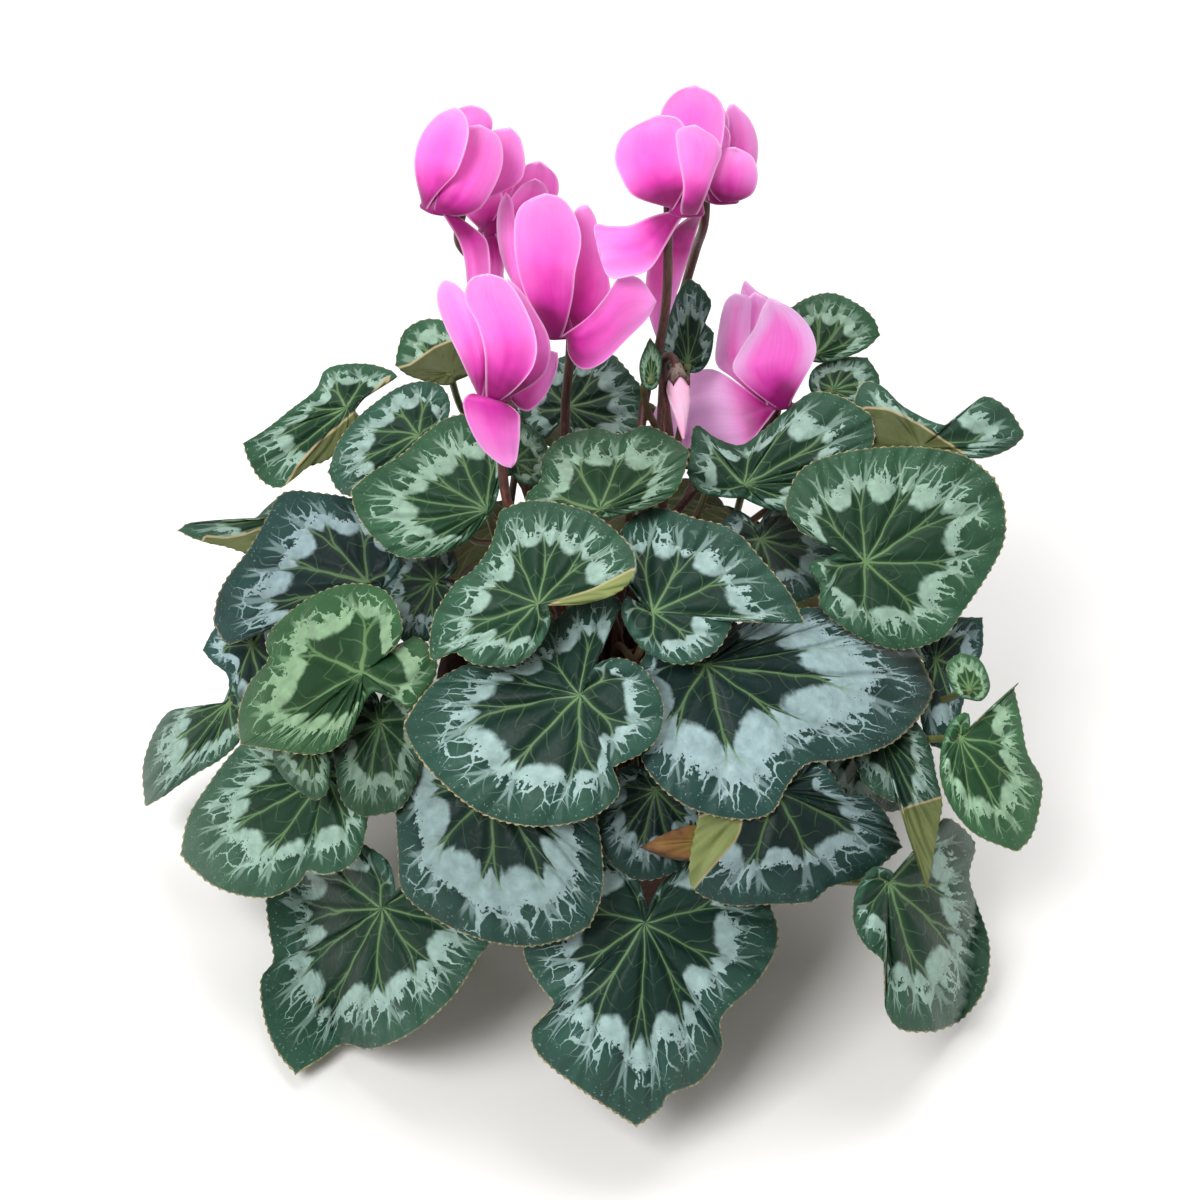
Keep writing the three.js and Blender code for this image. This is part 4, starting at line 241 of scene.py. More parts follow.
    leaf("right_shaded", [64, 24], [63, 29], [90, 3], [[54, 36], [46, 24], [51, 9], [66, 0], [79, -1]],
        [[71, 40], [84, 39], [94, 30], [95, 14]], rise=-29, look=(0.8, 0.45)),
    leaf("upper_right", [58, 46], [57, 41], [109, 74], [[50, 41, 1], [40, 43, 2], [35, 50, 3], [36, 60, 4],
        [38, 70, 5], [46, 65, 2], [56, 62, -3], [64, 67, -5], [76, 77, -2], [86, 83.5], [98, 81]],
        [[66, 37, 1], [76, 36, 1], [90, 44], [104, 55], [110, 64]], nearer=-12, faces=[-72, 66], bend=200,
        look=(0.5, 0.85)),
    leaf("back_right", [128, 61], [124, 57], [170, 66], [[110, 56], [101, 70], [104, 86], [112, 86],
        [122, 77], [138, 70, 2], [146, 75, 1], [154, 81.5], [163, 77], [168, 70]], [[132, 57, 3],
        [144, 57, 3], [155, 57, 1], [165, 61]], nearer=-39, faces=[-62, 58], bend=120, look=(0.5, 0.9),
        under_light=0.6, under=[[99, 72], [106, 77], [116, 76], [128, 70], [140, 62], [146, 58], [130, 54],
        [108, 58]]),
    leaf("back_right_tall", [86, 98], [83, 96], [112, 106], [[77, 100], [72, 110], [79, 119], [92, 123],
        [104, 118], [110, 112]], [[89, 95, 2], [98, 97, 3], [107, 101, 2]], nearer=-54, faces=[-75, 48],
        bend=150, also="back_right_small", look=(0.3, 0.9)),
    leaf("back_right_small", [93, 84], [90, 81], [107, 97], [[84, 84], [85, 92], [95, 97]], [[97, 79],
        [108, 80], [112, 88]], nearer=-51, faces=[-70, 60], bend=150, look=(0.5, 0.8)),
    leaf("back_middle", [35, 94.5], [34.5, 91], [35, 129], [[29.5, 90], [24.5, 97, 1], [26, 109, -1],
        [30, 121, 1]], [[40, 91.5], [44, 97, 1], [45.5, 107, 2], [42, 111, -2], [44.5, 119, 1], [40, 126]],
        nearer=-7, faces=[-85, 36], bend=160, stalk_turn=[0, -1, -0.4], also="back_small", look=(0.7, 0.6)),
    leaf("back_centre", [-13, 77], [-15, 72], [6, 98], [[-24, 64], [-32, 74], [-28, 88], [-16, 97],
        [-4, 100]], [[-8, 62], [6, 61], [17, 68], [18, 82], [12, 91]], nearer=-20, faces=[-85, 60], bend=200,
        look=(0.6, 0.65)),
    leaf("back_small", [20.5, 88], [20, 84], [20, 105], [[17, 86], [16, 95]], [[23, 86], [24.5, 97]],
        nearer=23, faces=[-60, 45], bend=100, look=(0.2, 0.7)),
    leaf("centre_shaded", [-34, 55], [-35, 50], [-31, 71], [[-41, 50], [-42, 60], [-38, 69]], [[-30, 46],
        [-22, 47], [-19, 56], [-24, 66]], nearer=12, faces=[-90, 55], bend=200, look=(0.3, 0.62)),
    leaf("left_shaded", [-66, 7], [-62, 8], [-88, -4], [[-57, 14], [-62, 23], [-76, 22], [-87, 11]],
        [[-56, 2], [-61, -12], [-73, -17], [-83, -14]], rise=-27, look=(0.8, 0.45)),
    leaf("front_shaded", [22, -76], [22, -70], [13, -112], [[12, -66], [2, -74], [-1, -92], [4, -105]],
        [[32, -66], [42, -74], [44, -90], [34, -106], [22, -112]], rise=-31, also="withered",
        look=(0.9, 0.45)),
    leaf("withered", [43, -96], [45, -93], [16, -99], [[38, -90], [27, -93]], [[46, -99], [36, -104],
        [26, -103]], rise=-26),
]

# Leaves of the far side: turn round the plant, rise, lean, how far up the heart is, width, length, spin.
REAR_LEAVES = [
    (126, -8, 0, -101, 90, 80, 6),
    (152, -18, 0, -79, 92, 82, -8),
    (187, -8, 0, -66, 94, 82, 4),
    (220, -18, 0, -80, 90, 82, -6),
    (118, -30, 0.35, -140, 84, 70, 0),
    (142, -38, 0.25, -136, 88, 74, 8),
    (170, -30, 0.35, -142, 90, 72, -6),
    (198, -38, 0.25, -136, 88, 74, 4),
    (226, -30, 0.35, -142, 86, 70, -4),
    (252, -40, 0.25, -136, 76, 70, 6),
]

BLOOMS = [
    dict(name="bloom_left_front", mouth=[-65, 156], nearer=55, lean=[0.25, 0.3, 1], stem_side=0, pale=0.2,
        stem=[[-36, 56, 4], [-42, 74, 4], [-45, 98, 4], [-49, 122, 16], [-50, 138, 30]], petals=[
        petal(205, [236, 22], 4, [-58, 197], [[-70, 158], [-73.5, 168], [-74, 178], [-71, 187], [-65, 194]],
            [[-68, 160], [-64, 165], [-58, 170], [-54.5, 178], [-52.5, 187], [-54, 194]]),
        petal(280, [276, 28], 3, [-48, 190], [[-68, 156], [-64, 167], [-60, 180], [-56, 188]], [[-60, 150],
            [-50, 154.5], [-43, 164], [-39, 175], [-40.5, 185]]),
        petal(140, [262, 24], -10, [-52, 198], [[-69, 160], [-67, 180], [-61, 194]], [[-60, 160], [-48, 178],
            [-43, 190], [-46, 196]]),
        petal(345, [284, 26], -7, [-36, 189], [[-62, 158], [-52, 172], [-46, 186]], [[-57, 153], [-44, 161],
            [-33, 166.5], [-30, 173], [-31.5, 184]]),
        petal(310, [285, 4], 4, [-49, 119], [[-61, 151], [-57, 145], [-54, 135], [-53, 126]], [[-53, 151],
            [-46, 145], [-44, 136], [-44.5, 126]]),
    ]),
    dict(name="bloom_left_back", mouth=[-42, 147], nearer=10, lean=[0, 0.35, 1], stem_side=90, pale=0.2,
        stem=[[-30, 54, -4], [-35, 76, -12], [-37, 100, -18], [-40, 125, -14]], petals=[
        petal(10, [280, 22], -8, [-24, 175.5], [[-43, 150], [-37, 160], [-33, 169], [-29.5, 174]],
            [[-37, 148], [-26, 154], [-18, 160], [-16.5, 166], [-18.5, 171]]),
        petal(320, [285, 24], 0, [-26, 168.5], [[-42, 150], [-36, 160], [-31, 166]], [[-37, 147], [-28, 153],
            [-21, 160], [-22, 166]]),
        petal(205, [256, 24], 3, [-50, 171], [[-46, 149], [-53, 153], [-56, 161]], [[-42, 151], [-39, 160],
            [-42, 169]]),
        petal(250, [262, 4], 3, [-43, 119], [[-46, 144], [-47, 134], [-46, 126]], [[-39, 144], [-38.5, 134],
            [-39.5, 126]]),
        petal(140, [270, 24], -14, [-36, 180], [[-44, 152], [-45, 164], [-42, 176]], [[-38, 152], [-30, 164],
            [-30, 175]]),
    ]),
    dict(name="bloom_middle_back", mouth=[-17, 106], nearer=30, lean=[0, 0.35, 1], stem_side=60, pale=0.2,
        stem=[[-12, 40, 0], [-14, 66, -4], [-13.5, 82, 8], [-12, 94, 17]], petals=[
        petal(195, [232, 20], 3, [-37.5, 163], [[-21, 107], [-31, 121], [-38, 133], [-41, 146],
            [-40.5, 157]], [[-18, 109], [-28, 124], [-32, 137], [-34, 150], [-35, 159]]),
        petal(258, [268, 26], 5, [-22, 162.5], [[-20.5, 107], [-28, 118], [-33, 132], [-34.5, 148],
            [-31.5, 158]], [[-13, 109], [-11, 116], [-10, 130], [-7.5, 143], [-9.5, 153], [-15, 160.5]]),
        petal(350, [285, 22], -5, [-5, 158], [[-17, 110], [-15, 130], [-12, 150], [-9, 157]],
            [[-12.5, 107.5], [-3, 110.5], [3, 118], [4, 126], [1, 140], [-1.5, 152]]),
        petal(310, [280, 12], 8, [22.5, 119.5], [[-15, 107], [-6, 112], [2, 121], [8, 129], [16, 128.5]],
            [[-18, 103], [-15, 96], [-6, 92.3], [2, 95.5], [11, 104.5], [19, 112.5]]),
        petal(120, [262, 20], -8, [-22, 158], [[-20, 110], [-30, 128], [-30, 148]], [[-15, 110], [-12, 128],
            [-14, 148]]),
    ]),
    dict(name="bloom_left_low", mouth=[-42, 81], nearer=62, lean=[0, 0.35, 1], stem_side=75, pale=0.2,
        stem=[[-30, 22, 36], [-37.5, 40, 42], [-37, 53, 46], [-38, 66, 46]], petals=[
        petal(200, [234, 22], 4, [-62, 128], [[-49, 81], [-55, 95], [-62, 110], [-65, 119], [-64.5, 125]],
            [[-47, 83], [-45, 95], [-47, 107], [-51, 118], [-57, 126]]),
        petal(268, [270, 28], 3, [-45, 130.5], [[-47, 82], [-46, 97], [-49, 110], [-54, 120], [-52, 128]],
            [[-38, 81], [-30, 87], [-25.5, 97], [-26, 107], [-31, 119], [-37, 127.5]]),
        petal(330, [284, 26], -4, [-37, 128.5], [[-41, 84], [-38, 100], [-41, 120]], [[-35, 82], [-24, 88],
            [-20, 97], [-20.5, 105], [-25, 114], [-31, 123]]),
        petal(15, [295, 20], -9, [-17, 99], [[-38, 82], [-30, 90], [-22, 99]], [[-36, 79], [-31, 74.5],
            [-24, 79], [-19.5, 86], [-17, 94]]),
        petal(235, [266, 2], 5, [-35.5, 53], [[-47, 81.5], [-53, 84], [-55, 80], [-53, 71], [-47.5, 61],
            [-40, 54.5]], [[-37, 79], [-32.5, 76], [-32, 68], [-32.5, 61], [-33.5, 55.5]]),
    ]),
    dict(name="bloom_middle_front", mouth=[35, 155], nearer=70, lean=[0, 0.3, 1], stem_side=135, pale=0.25,
        stem=[[14, 48, -4], [19, 76, -10], [21.5, 92, 2], [24.5, 104, 20], [26.5, 113, 32], [26.5, 120, 40],
        [27.5, 130, 50], [28.5, 146, 62]], petals=[
        petal(90, [265, 24], -11, [38, 206], [[31, 160], [24, 178], [24, 194], [30, 203]], [[40, 160],
            [47, 175], [50, 192], [47, 201]]),
        petal(170, [250, 22], 13, [23, 194], [[27, 158], [14, 161], [8, 170], [6, 178], [10, 187]],
            [[33, 160], [36, 170], [36, 182], [32, 192]]),
        petal(275, [272, 22], 15, [38, 190], [[28, 157], [33, 163], [33, 169], [31, 180], [31, 188]],
            [[41, 155], [43, 163], [46, 172], [48.5, 179], [46, 185]]),
        petal(235, [240, 30], -8, [-0.5, 139.5], [[28, 158], [20, 153.5], [12, 150], [4, 149.6],
            [-2.2, 149.8]], [[28, 151], [26, 142], [20, 132.5], [12, 129.5], [3.5, 129.2]]),
        petal(330, [272, 2], -34, [23, 104], [[28, 152], [22, 141], [18.5, 128], [19.5, 115]], [[38, 152],
            [36.5, 141], [33, 130], [29, 118], [26, 110]]),
    ]),
    dict(name="bloom_right_back", mouth=[49, 160], nearer=40, lean=[0, 0.3, 1], stem_side=130, pale=0.35,
        stem=[[22, 50, -20], [24.5, 84, -27], [30, 110, -28], [36, 132, -13], [40, 146, 16]], petals=[
        petal(30, [288, 20], -4, [53.5, 198.5], [[50, 165], [48, 178], [49, 188], [51, 197]], [[56, 164],
            [62, 173], [63, 183], [60, 192]]),
        petal(290, [275, 34], 5, [54, 181], [[44, 161], [42.5, 165], [43.5, 173], [48, 180]], [[54, 158.5],
            [60.5, 162], [63, 169], [61, 177]]),
        petal(170, [255, 22], -5, [49, 197], [[45, 165], [44, 178], [45, 189]], [[50, 166], [51, 180],
            [51.5, 192]]),
        petal(90, [268, 22], -12, [56, 193], [[48, 166], [50, 178], [52, 189]], [[54, 166], [60, 178],
            [60, 188]]),
        petal(235, [262, 22], 1, [48, 192], [[44, 161], [40, 172], [42, 185]], [[50, 162], [51, 175],
            [52, 186]]),
    ]),
    dict(name="bloom_right_low", mouth=[71, 78], nearer=-33, lean=[0, 0.35, 1], stem_side=90, pale=0.9,
        stem=[[34, 40, -24], [58, 62, -44], [69, 72, -34]], petals=[
        petal(200, [248, 24], 2, [54, 122.7], [[65, 79], [53, 89], [46.5, 95], [47.5, 108], [50, 119]],
            [[68, 81], [63, 92], [60, 103], [60, 113], [60, 121]]),
        petal(150, [262, 24], -6, [62, 123], [[66, 82], [60, 97], [57, 110], [59, 120]], [[71, 84], [68, 98],
            [67, 110], [67, 119]]),
        petal(290, [280, 28], 3, [68, 121], [[66, 78], [57, 87], [53, 93], [56, 100], [62, 109], [65, 117]],
            [[75, 78], [80, 86], [85, 95], [86.5, 101], [84, 109], [77, 116.5]]),
        petal(40, [276, 22], -12, [58, 128], [[68, 82], [60, 100], [56, 115], [56.5, 124]], [[74, 82],
            [76, 100], [70, 118], [63, 123.5]]),
        # This petal is washed pale all over: pale in itself, and made paler still as painted light, since it
        # lies in shade.
        petal(240, [262, 34], 1, [20, 69.5], [[66, 77.5], [56, 86], [44, 92.5], [32, 88], [24, 80]],
            [[70, 75.5], [65, 69], [57, 60.5], [44, 60], [30, 62]], washed_and_lit=1),
    ]),
]

# The bud: its calyx's top and its point as seen.
BUD = dict(name="bud", mouth=[31, 88], nearer=8, point=[33, 68], length=24, stem_side=130,
    stem=[[27, 40, -14], [27.5, 62, -12], [27.6, 80, -2]])


def compass(azimuth, elevation=0.0):
    a, e = math.radians(azimuth), math.radians(elevation)
    return np.array([math.cos(e) * math.cos(a), math.cos(e) * math.sin(a), math.sin(e)])


def unit(vectors):
    lengths = np.linalg.norm(vectors, axis=-1, keepdims=True)
    return vectors / np.maximum(lengths, 1e-9)


def ease(t):
    k = np.clip(t, 0, 1)
    return k * k * (3 - 2 * k)


def sight_from(turn=0.0):
    """The right, up and toward directions of a picture seen after walking round the plant by turn degrees."""
    right, away = compass(turn), compass(turn + 90)
    sine, cosine = math.sin(ELEVATION), math.cos(ELEVATION)
    return right, away * sine + UP * cosine, UP * sine - away * cosine


FRONT = sight_from(0)


def lines_of_sight(points, sight):
    right, up, toward = sight
    points = np.asarray(points, float)
    eye = AIM + toward * DISTANCE
    return eye, unit(AIM + points[..., :1] * right + points[..., 1:2] * up - eye)


def place_seen(point, nearer, sight=FRONT):
    """The place seen at [across, up] that stands "nearer" millimetres towards the viewer."""
    right, up, toward = sight
    scale = 1 - nearer / DISTANCE
    return AIM + right * point[0] * scale + up * point[1] * scale + toward * nearer


def on_mound(points, layers, sight):
    """Where the points are seen on the mound, raised by their layers, or on the low plane round its foot."""
    eye, rays = lines_of_sight(points, sight)
    layers = np.asarray(layers, float)
    wide, high = MOUND["radius"] + layers, MOUND["height"] + layers
    start = np.stack([eye[0] / wide, eye[1] / wide, (eye[2] - MOUND["foot"]) / high], -1)
    step = rays / np.stack([wide, wide, high], -1)
    square = (step * step).sum(-1)
    half = (start * step).sum(-1)
    inside = np.maximum(0, half ** 2 - square * ((start * start).sum(-1) - 1))
    reach = (-half - np.sqrt(inside)) / square
    to_floor = (MOUND["lowest"] - eye[2]) / rays[..., 2]
    return eye + rays * np.minimum(reach, to_floor)[..., None]


def on_plane(points, lifts, anchor, normal, bend, sight):
    """Where the points are seen on a plane that bends away from its anchor, in a circle of radius bend."""
    eye, rays = lines_of_sight(points, sight)
    slope = rays @ normal
    sag = np.zeros(np.shape(lifts))
    for _ in range(6):
        reach = (anchor - eye) @ normal + lifts - sag
        places = eye + rays * (reach / slope)[..., None]
        sag = ((places - anchor) ** 2).sum(-1) / (2 * bend) if bend else sag
    return places


def smooth_run(points, fine=10):
    """A smooth run through the points: Catmull-Rom, "fine" steps to a span."""
    points = np.array(points, float)
    ends = np.concatenate([points[:1], points, points[-1:]])
    t = (np.arange(fine) / fine)[:, None]
    run = [0.5 * (
        2 * start + (end - before) * t + (2 * before - 5 * start + 4 * end - after) * t ** 2
        + (3 * start - before - 3 * end + after) * t ** 3
    ) for before, start, end, after in zip(ends, ends[1:], ends[2:], ends[3:])]
    return np.concatenate([*run, points[-1:]])


def run_length(run):
    return np.concatenate([[0], np.cumsum(np.hypot(*(np.diff(run[:, :2], axis=0).T)))])


def even_steps(run, count):
    """The run cut into "count" equal steps."""
    lengths = run_length(run)
    wanted = np.linspace(0, lengths[-1], count + 1)
    return np.stack([np.interp(wanted, lengths, run[:, axis]) for axis in range(run.shape[1])], -1)


def margin_stations(leaf, side_count, least):
    """The leaf's margin as stations [across, up, lift] and their share s of the way round, anticlockwise."""
    runs = [smooth_run(side) for side in leaf["sides"]]
    counts = [side_count(run_length(run)[-1], index) for index, run in enumerate(runs)]
    first, second = (even_steps(run, count) for run, count in zip(runs, counts))
    stations = np.concatenate([first[:-1], second[1:][::-1]])
    shares = np.concatenate([
        0.5 * np.arange(counts[0]) / counts[0], 1 - 0.5 * np.arange(counts[1], 0, -1) / counts[1],
    ])
    following = np.roll(stations, -1, axis=0)
    area = (stations[:, 0] * following[:, 1] - following[:, 0] * stations[:, 1]).sum()
    tip_at = counts[0]
    if area <= 0:
        stations = np.concatenate([stations[:1], stations[1:][::-1]])
        shares = np.concatenate([shares[:1], 1 - shares[1:][::-1]])
        tip_at = counts[1]
    return keep_turning(stations, np.array(leaf["heart"], float), tip_at, least), shares


def keep_turning(stations, heart, tip_at, least):
    """Stations that would fold back are turned about the heart, so that each lies further round."""
    count = len(stations)
    out = stations[:, :2] - heart
    angles, reaches = np.arctan2(out[:, 1], out[:, 0]), np.hypot(out[:, 0], out[:, 1])
    turned = np.unwrap(angles) - angles[0]
    for index in range(tip_at - 1, 0, -1):
        turned[index] = min(turned[index], turned[index + 1] - least)
    for index in range(tip_at + 1, count):
        turned[index] = max(turned[index], turned[index - 1] + least)
    order = np.arange(count)
    turned = np.clip(turned, order * least, 2 * math.pi - (count - order) * least)
    turned[0] = 0
    angle = angles[0] + turned
    across, up = heart[0] + reaches * np.cos(angle), heart[1] + reaches * np.sin(angle)
    return np.stack([across, up, stations[:, 2]], -1)


def leaf_surface(leaf, middle):
    """The surface a leaf lies on, as a function from points seen and lifts to places."""
    sight = sight_from(leaf.get("turn", 0))
    if "faces" not in leaf:
        lean, heart = leaf.get("lean", 0), leaf["heart"]

        def lying(points, lifts):
            points = np.asarray(points, float)
            layers = leaf["rise"] + lean * np.maximum(0, heart[1] - points[..., 1]) + lifts
            return on_mound(points, layers, sight)

        return lying
    if "nearer" in leaf:
        anchor = place_seen(middle, leaf["nearer"], sight)
    else:
        anchor = on_mound(middle, leaf["rise"], sight)
    normal, bend = compass(*leaf["faces"]), leaf.get("bend")
    return lambda points, lifts: on_plane(points, np.asarray(lifts, float), anchor, normal, bend, sight)


def coarse_blade(leaf):
    """The blade as the model has it: its surface, the place of its heart and the way it faces there."""
    step = COARSE_STEP["rear" if "turn" in leaf else "front"]

    def side_count(total, side):
        return max(4 if side else 8, 4 * math.floor(total / step / 4 + 0.5))

    stations, _ = margin_stations(leaf, side_count, math.radians(1.2))
    surface = leaf_surface(leaf, stations[:, :2].mean(axis=0))
    heart = np.array(leaf["heart"], float)
    inner = stations[::4]
    ring = surface(heart + (inner[:, :2] - heart) * 0.3, inner[:, 2] * 0.3 ** 1.5)
    end = surface(heart, 0.0)
    normal = unit(np.cross(ring - end, np.roll(ring, -1, axis=0) - end).sum(axis=0))
    return surface, end, normal


def rear_leaf(number, turn, rise, lean, down, width, length, spin):
    """A rear leaf, with a plain heart shape."""
    cosine, sine = math.cos(math.radians(spin)), math.sin(math.radians(spin))
    outline = [(0.24, 0.3), (0.56, 0.36), (0.88, 0.14), (1, -0.2), (0.86, -0.52), (0.5, -0.78)]

    def turned(across, up):
        across, up = across * width / 2, up * length
        return [across * cosine - up * sine, down + across * sine + up * cosine]

    side_a, side_b = ([turned(side * across, up) for across, up in outline] for side in (-1, 1))
    return leaf(f"rear_{number}", [0, down], turned(0, 0.08), turned(0, -0.92), side_a, side_b,
        turn=turn, rise=rise, lean=lean)


ALL_LEAVES = LEAVES + [rear_leaf(number + 1, *row) for number, row in enumerate(REAR_LEAVES)]
SHARED = {leaf["also"]: leaf["name"] for leaf in ALL_LEAVES if "also" in leaf}


def curve_through(points, shares):
    """Places on the smooth (centripetal) curve through the points, at shares 0 to 1 of its spans."""
    points = np.asarray(points, float)
    count = len(points)
    ends = np.concatenate([[2 * points[0] - points[1]], points, [2 * points[-1] - points[-2]]])
    at = np.clip(np.asarray(shares, float), 0, 1) * (count - 1)
    index = np.minimum(at.astype(int), count - 2)
    t = (at - index)[:, None]
    p0, p1, p2, p3 = (ends[index + k] for k in range(4))
    d0, d1, d2 = (((b - a) ** 2).sum(-1, keepdims=True) ** 0.25 for a, b in ((p0, p1), (p1, p2), (p2, p3)))
    slope1 = ((p1 - p0) / d0 - (p2 - p0) / (d0 + d1) + (p2 - p1) / d1) * d1
    slope2 = ((p2 - p1) / d1 - (p3 - p1) / (d1 + d2) + (p3 - p2) / d2) * d1
    square, cube = 3 * (p2 - p1) - 2 * slope1 - slope2, 2 * (p1 - p2) + slope1 + slope2
    return p1 + slope1 * t + square * t ** 2 + cube * t ** 3


def curve_cut(points, step, least=2):
    """The smooth curve through the points, cut into equal steps of about that length."""
    fine = np.linspace(0, 1, 201)
    pieces = np.linalg.norm(np.diff(curve_through(points, fine), axis=0), axis=1)
    lengths = np.concatenate([[0], np.cumsum(pieces)])
    count = max(least, math.floor(lengths[-1] / step + 0.5))
    return curve_through(points, np.interp(np.linspace(0, lengths[-1], count + 1), lengths, fine))


def give_sockets(ends):
    """Each stalk takes the free socket of the tuber's crown nearest to where it leans."""
    golden = math.pi * (3 - math.sqrt(5))
    sites = []
    for k in range(len(ends)):
        out = SOCKET["spacing"] * math.sqrt(k + 0.5)
        sites.append((out * math.cos(k * golden), out * math.sin(k * golden)))
    wishes = []
    for index, end in enumerate(ends):
        flat = math.hypot(end[0], end[1])
        steep = math.atan2(end[2] - TUBER["crown"], flat)
        reach = TUBER["crown_radius"] * min(1, max(0.1, math.cos(max(0, steep)) ** 1.2))
        wishes.append((-reach, index, end[0] / flat * reach, end[1] / flat * reach))
    given = [None] * len(ends)
    for _, index, x, y in sorted(wishes):
        best = min(range(len(sites)), key=lambda k: math.hypot(sites[k][0] - x, sites[k][1] - y))
        given[index] = sites.pop(best)
    return given


def foot(site):
    heights = (TUBER["crown"] - SOCKET["depth"] + 0.5, TUBER["crown"] + 4, TUBER["crown"] + 16)
    return [np.array([*site, z]) for z in heights]


def stalk_path(site, end, normal, bias):
    """A stalk rises from its socket, leans out over the pot's rim and meets the blade square from below."""
    start = foot(site)
    inward = unit(np.array(bias) - normal)
    turn = end + inward * STALK["approach"]
    over = (start[2] + turn) / 2
    over[2] += STALK["rise"] * 0.3 * math.hypot(turn[0] - start[2][0], turn[1] - start[2][1])
    if math.hypot(over[0], over[1]) > 40:
        over[2] = max(over[2], POT["height"] + 22)
    middle = curve_cut([start[1], start[2], over, turn, end + inward * 9], STALK["step"])
    return np.array([start[0], *middle, end])


def closest(p1, q1, p2, q2):
    """Shares s and t of two segments where they pass closest, and the gap between them."""
    d1, d2, r = q1 - p1, q2 - p2, p1 - p2
    a, e, f = (d1 * d1).sum(-1), (d2 * d2).sum(-1), (d2 * r).sum(-1)
    c, b = (d1 * r).sum(-1), (d1 * d2).sum(-1)
    spread = a * e - b * b
    s = np.where(spread > 1e-9, np.clip((b * f - c * e) / np.where(spread > 1e-9, spread, 1), 0, 1), 0)
    t = (b * s + f) / e
    s = np.where(t < 0, np.clip(-c / a, 0, 1), np.where(t > 1, np.clip((b - c) / a, 0, 1), s))
    t = np.clip(t, 0, 1)
    return s, t, p1 + d1 * s[..., None] - p2 - d2 * t[..., None]


def ease_apart(strands):
    """Stalks and stems that pass too close are eased apart, their feet and ends held."""
    room = 0.7
    owner = np.concatenate([[k] * (len(s["path"]) - 2) for k, s in enumerate(strands)])
    order = np.concatenate([np.arange(1, len(s["path"]) - 1) for s in strands])
    radii = np.array([s["radius"] for s in strands])[owner]
    names = [s["name"] for s in strands]
    host = np.array([names.index(s["host"]) if "host" in s else -1 for s in strands])[owner]
    first, second = np.triu_indices(len(owner), 1)
    apart = (owner[first] != owner[second]) & (host[first] != owner[second]) & (host[second] != owner[first])
    first, second = first[apart], second[apart]
    need = radii[first] + radii[second] + room
    for _ in range(150):
        start = np.concatenate([s["path"][1:-1] for s in strands])
        end = np.concatenate([s["path"][2:] for s in strands])
        gap = closest(start[first], end[first], start[second], end[second])[2]
        moved = False
        for k in np.nonzero(np.linalg.norm(gap, axis=1) < need + 1)[0]:
            one, two = strands[owner[first[k]]], strands[owner[second[k]]]
            i, j = order[first[k]], order[second[k]]
            s, t, gap = closest(one["path"][i], one["path"][i + 1], two["path"][j], two["path"][j + 1])
            far = np.linalg.norm(gap)
            if far >= need[k]:
                continue
            moved = True
            push = gap * ((need[k] - far) * 0.6) / max(far, 1e-3)
            for strand, index, share in ((one, i, 1 - s), (one, i + 1, s), (two, j, t - 1), (two, j + 1, -t)):
                if strand["held"][0] <= index < len(strand["path"]) - strand["held"][1]:
                    strand["path"][index] += push * share
        if not moved:
            break


def bloom_frame(bloom):
    """The middle of a bloom's mouth, its axis towards the calyx and the directions round that axis."""
    mouth = place_seen(bloom["mouth"], bloom["nearer"])
    axis = unit(np.array(bloom["lean"], float))
    away = unit(np.array([0.0, 1.0, 0.0]) - axis * axis[1])
    right = unit(np.cross(away, axis))

    def round_axis(angle):
        turn = np.radians(np.asarray(angle, float))[..., None]
        return right * np.cos(turn) + away * np.sin(turn)

    return mouth, axis, round_axis


def stem_path(site, flower):
    """A flower stem goes up past its places and beside the corolla, and hooks over into the calyx."""
    mouth, axis, round_axis = bloom_frame(flower)
    side, hook, steps = round_axis(flower["stem_side"]), STEM["hook_radius"], STEM["hook_steps"]
    rise = CALYX["height"] + (0 if flower is BUD else TUBE["height"] + CLEARANCE)
    start = foot(site)
    passed = [place_seen(point, point[2]) for point in flower["stem"]]
    up_to = mouth + side * 2 * hook - axis * 8
    climb = curve_cut([start[1], start[2], *passed, up_to], STEM["step"])
    bend = [mouth + side * 2 * hook + axis * (rise - 2)]
    for angle in math.pi * np.arange(1, steps) / steps:
        bend.append(mouth + side * hook * (1 + math.cos(angle)) + axis * (rise + 1 + hook * math.sin(angle)))
    return np.array([start[0], *climb, *bend, mouth + axis * (rise - 1)])


BUD["lean"] = unit(place_seen(BUD["mouth"], BUD["nearer"]) - place_seen(BUD["point"], BUD["nearer"] + 2))
FLOWERS = [*BLOOMS, BUD]


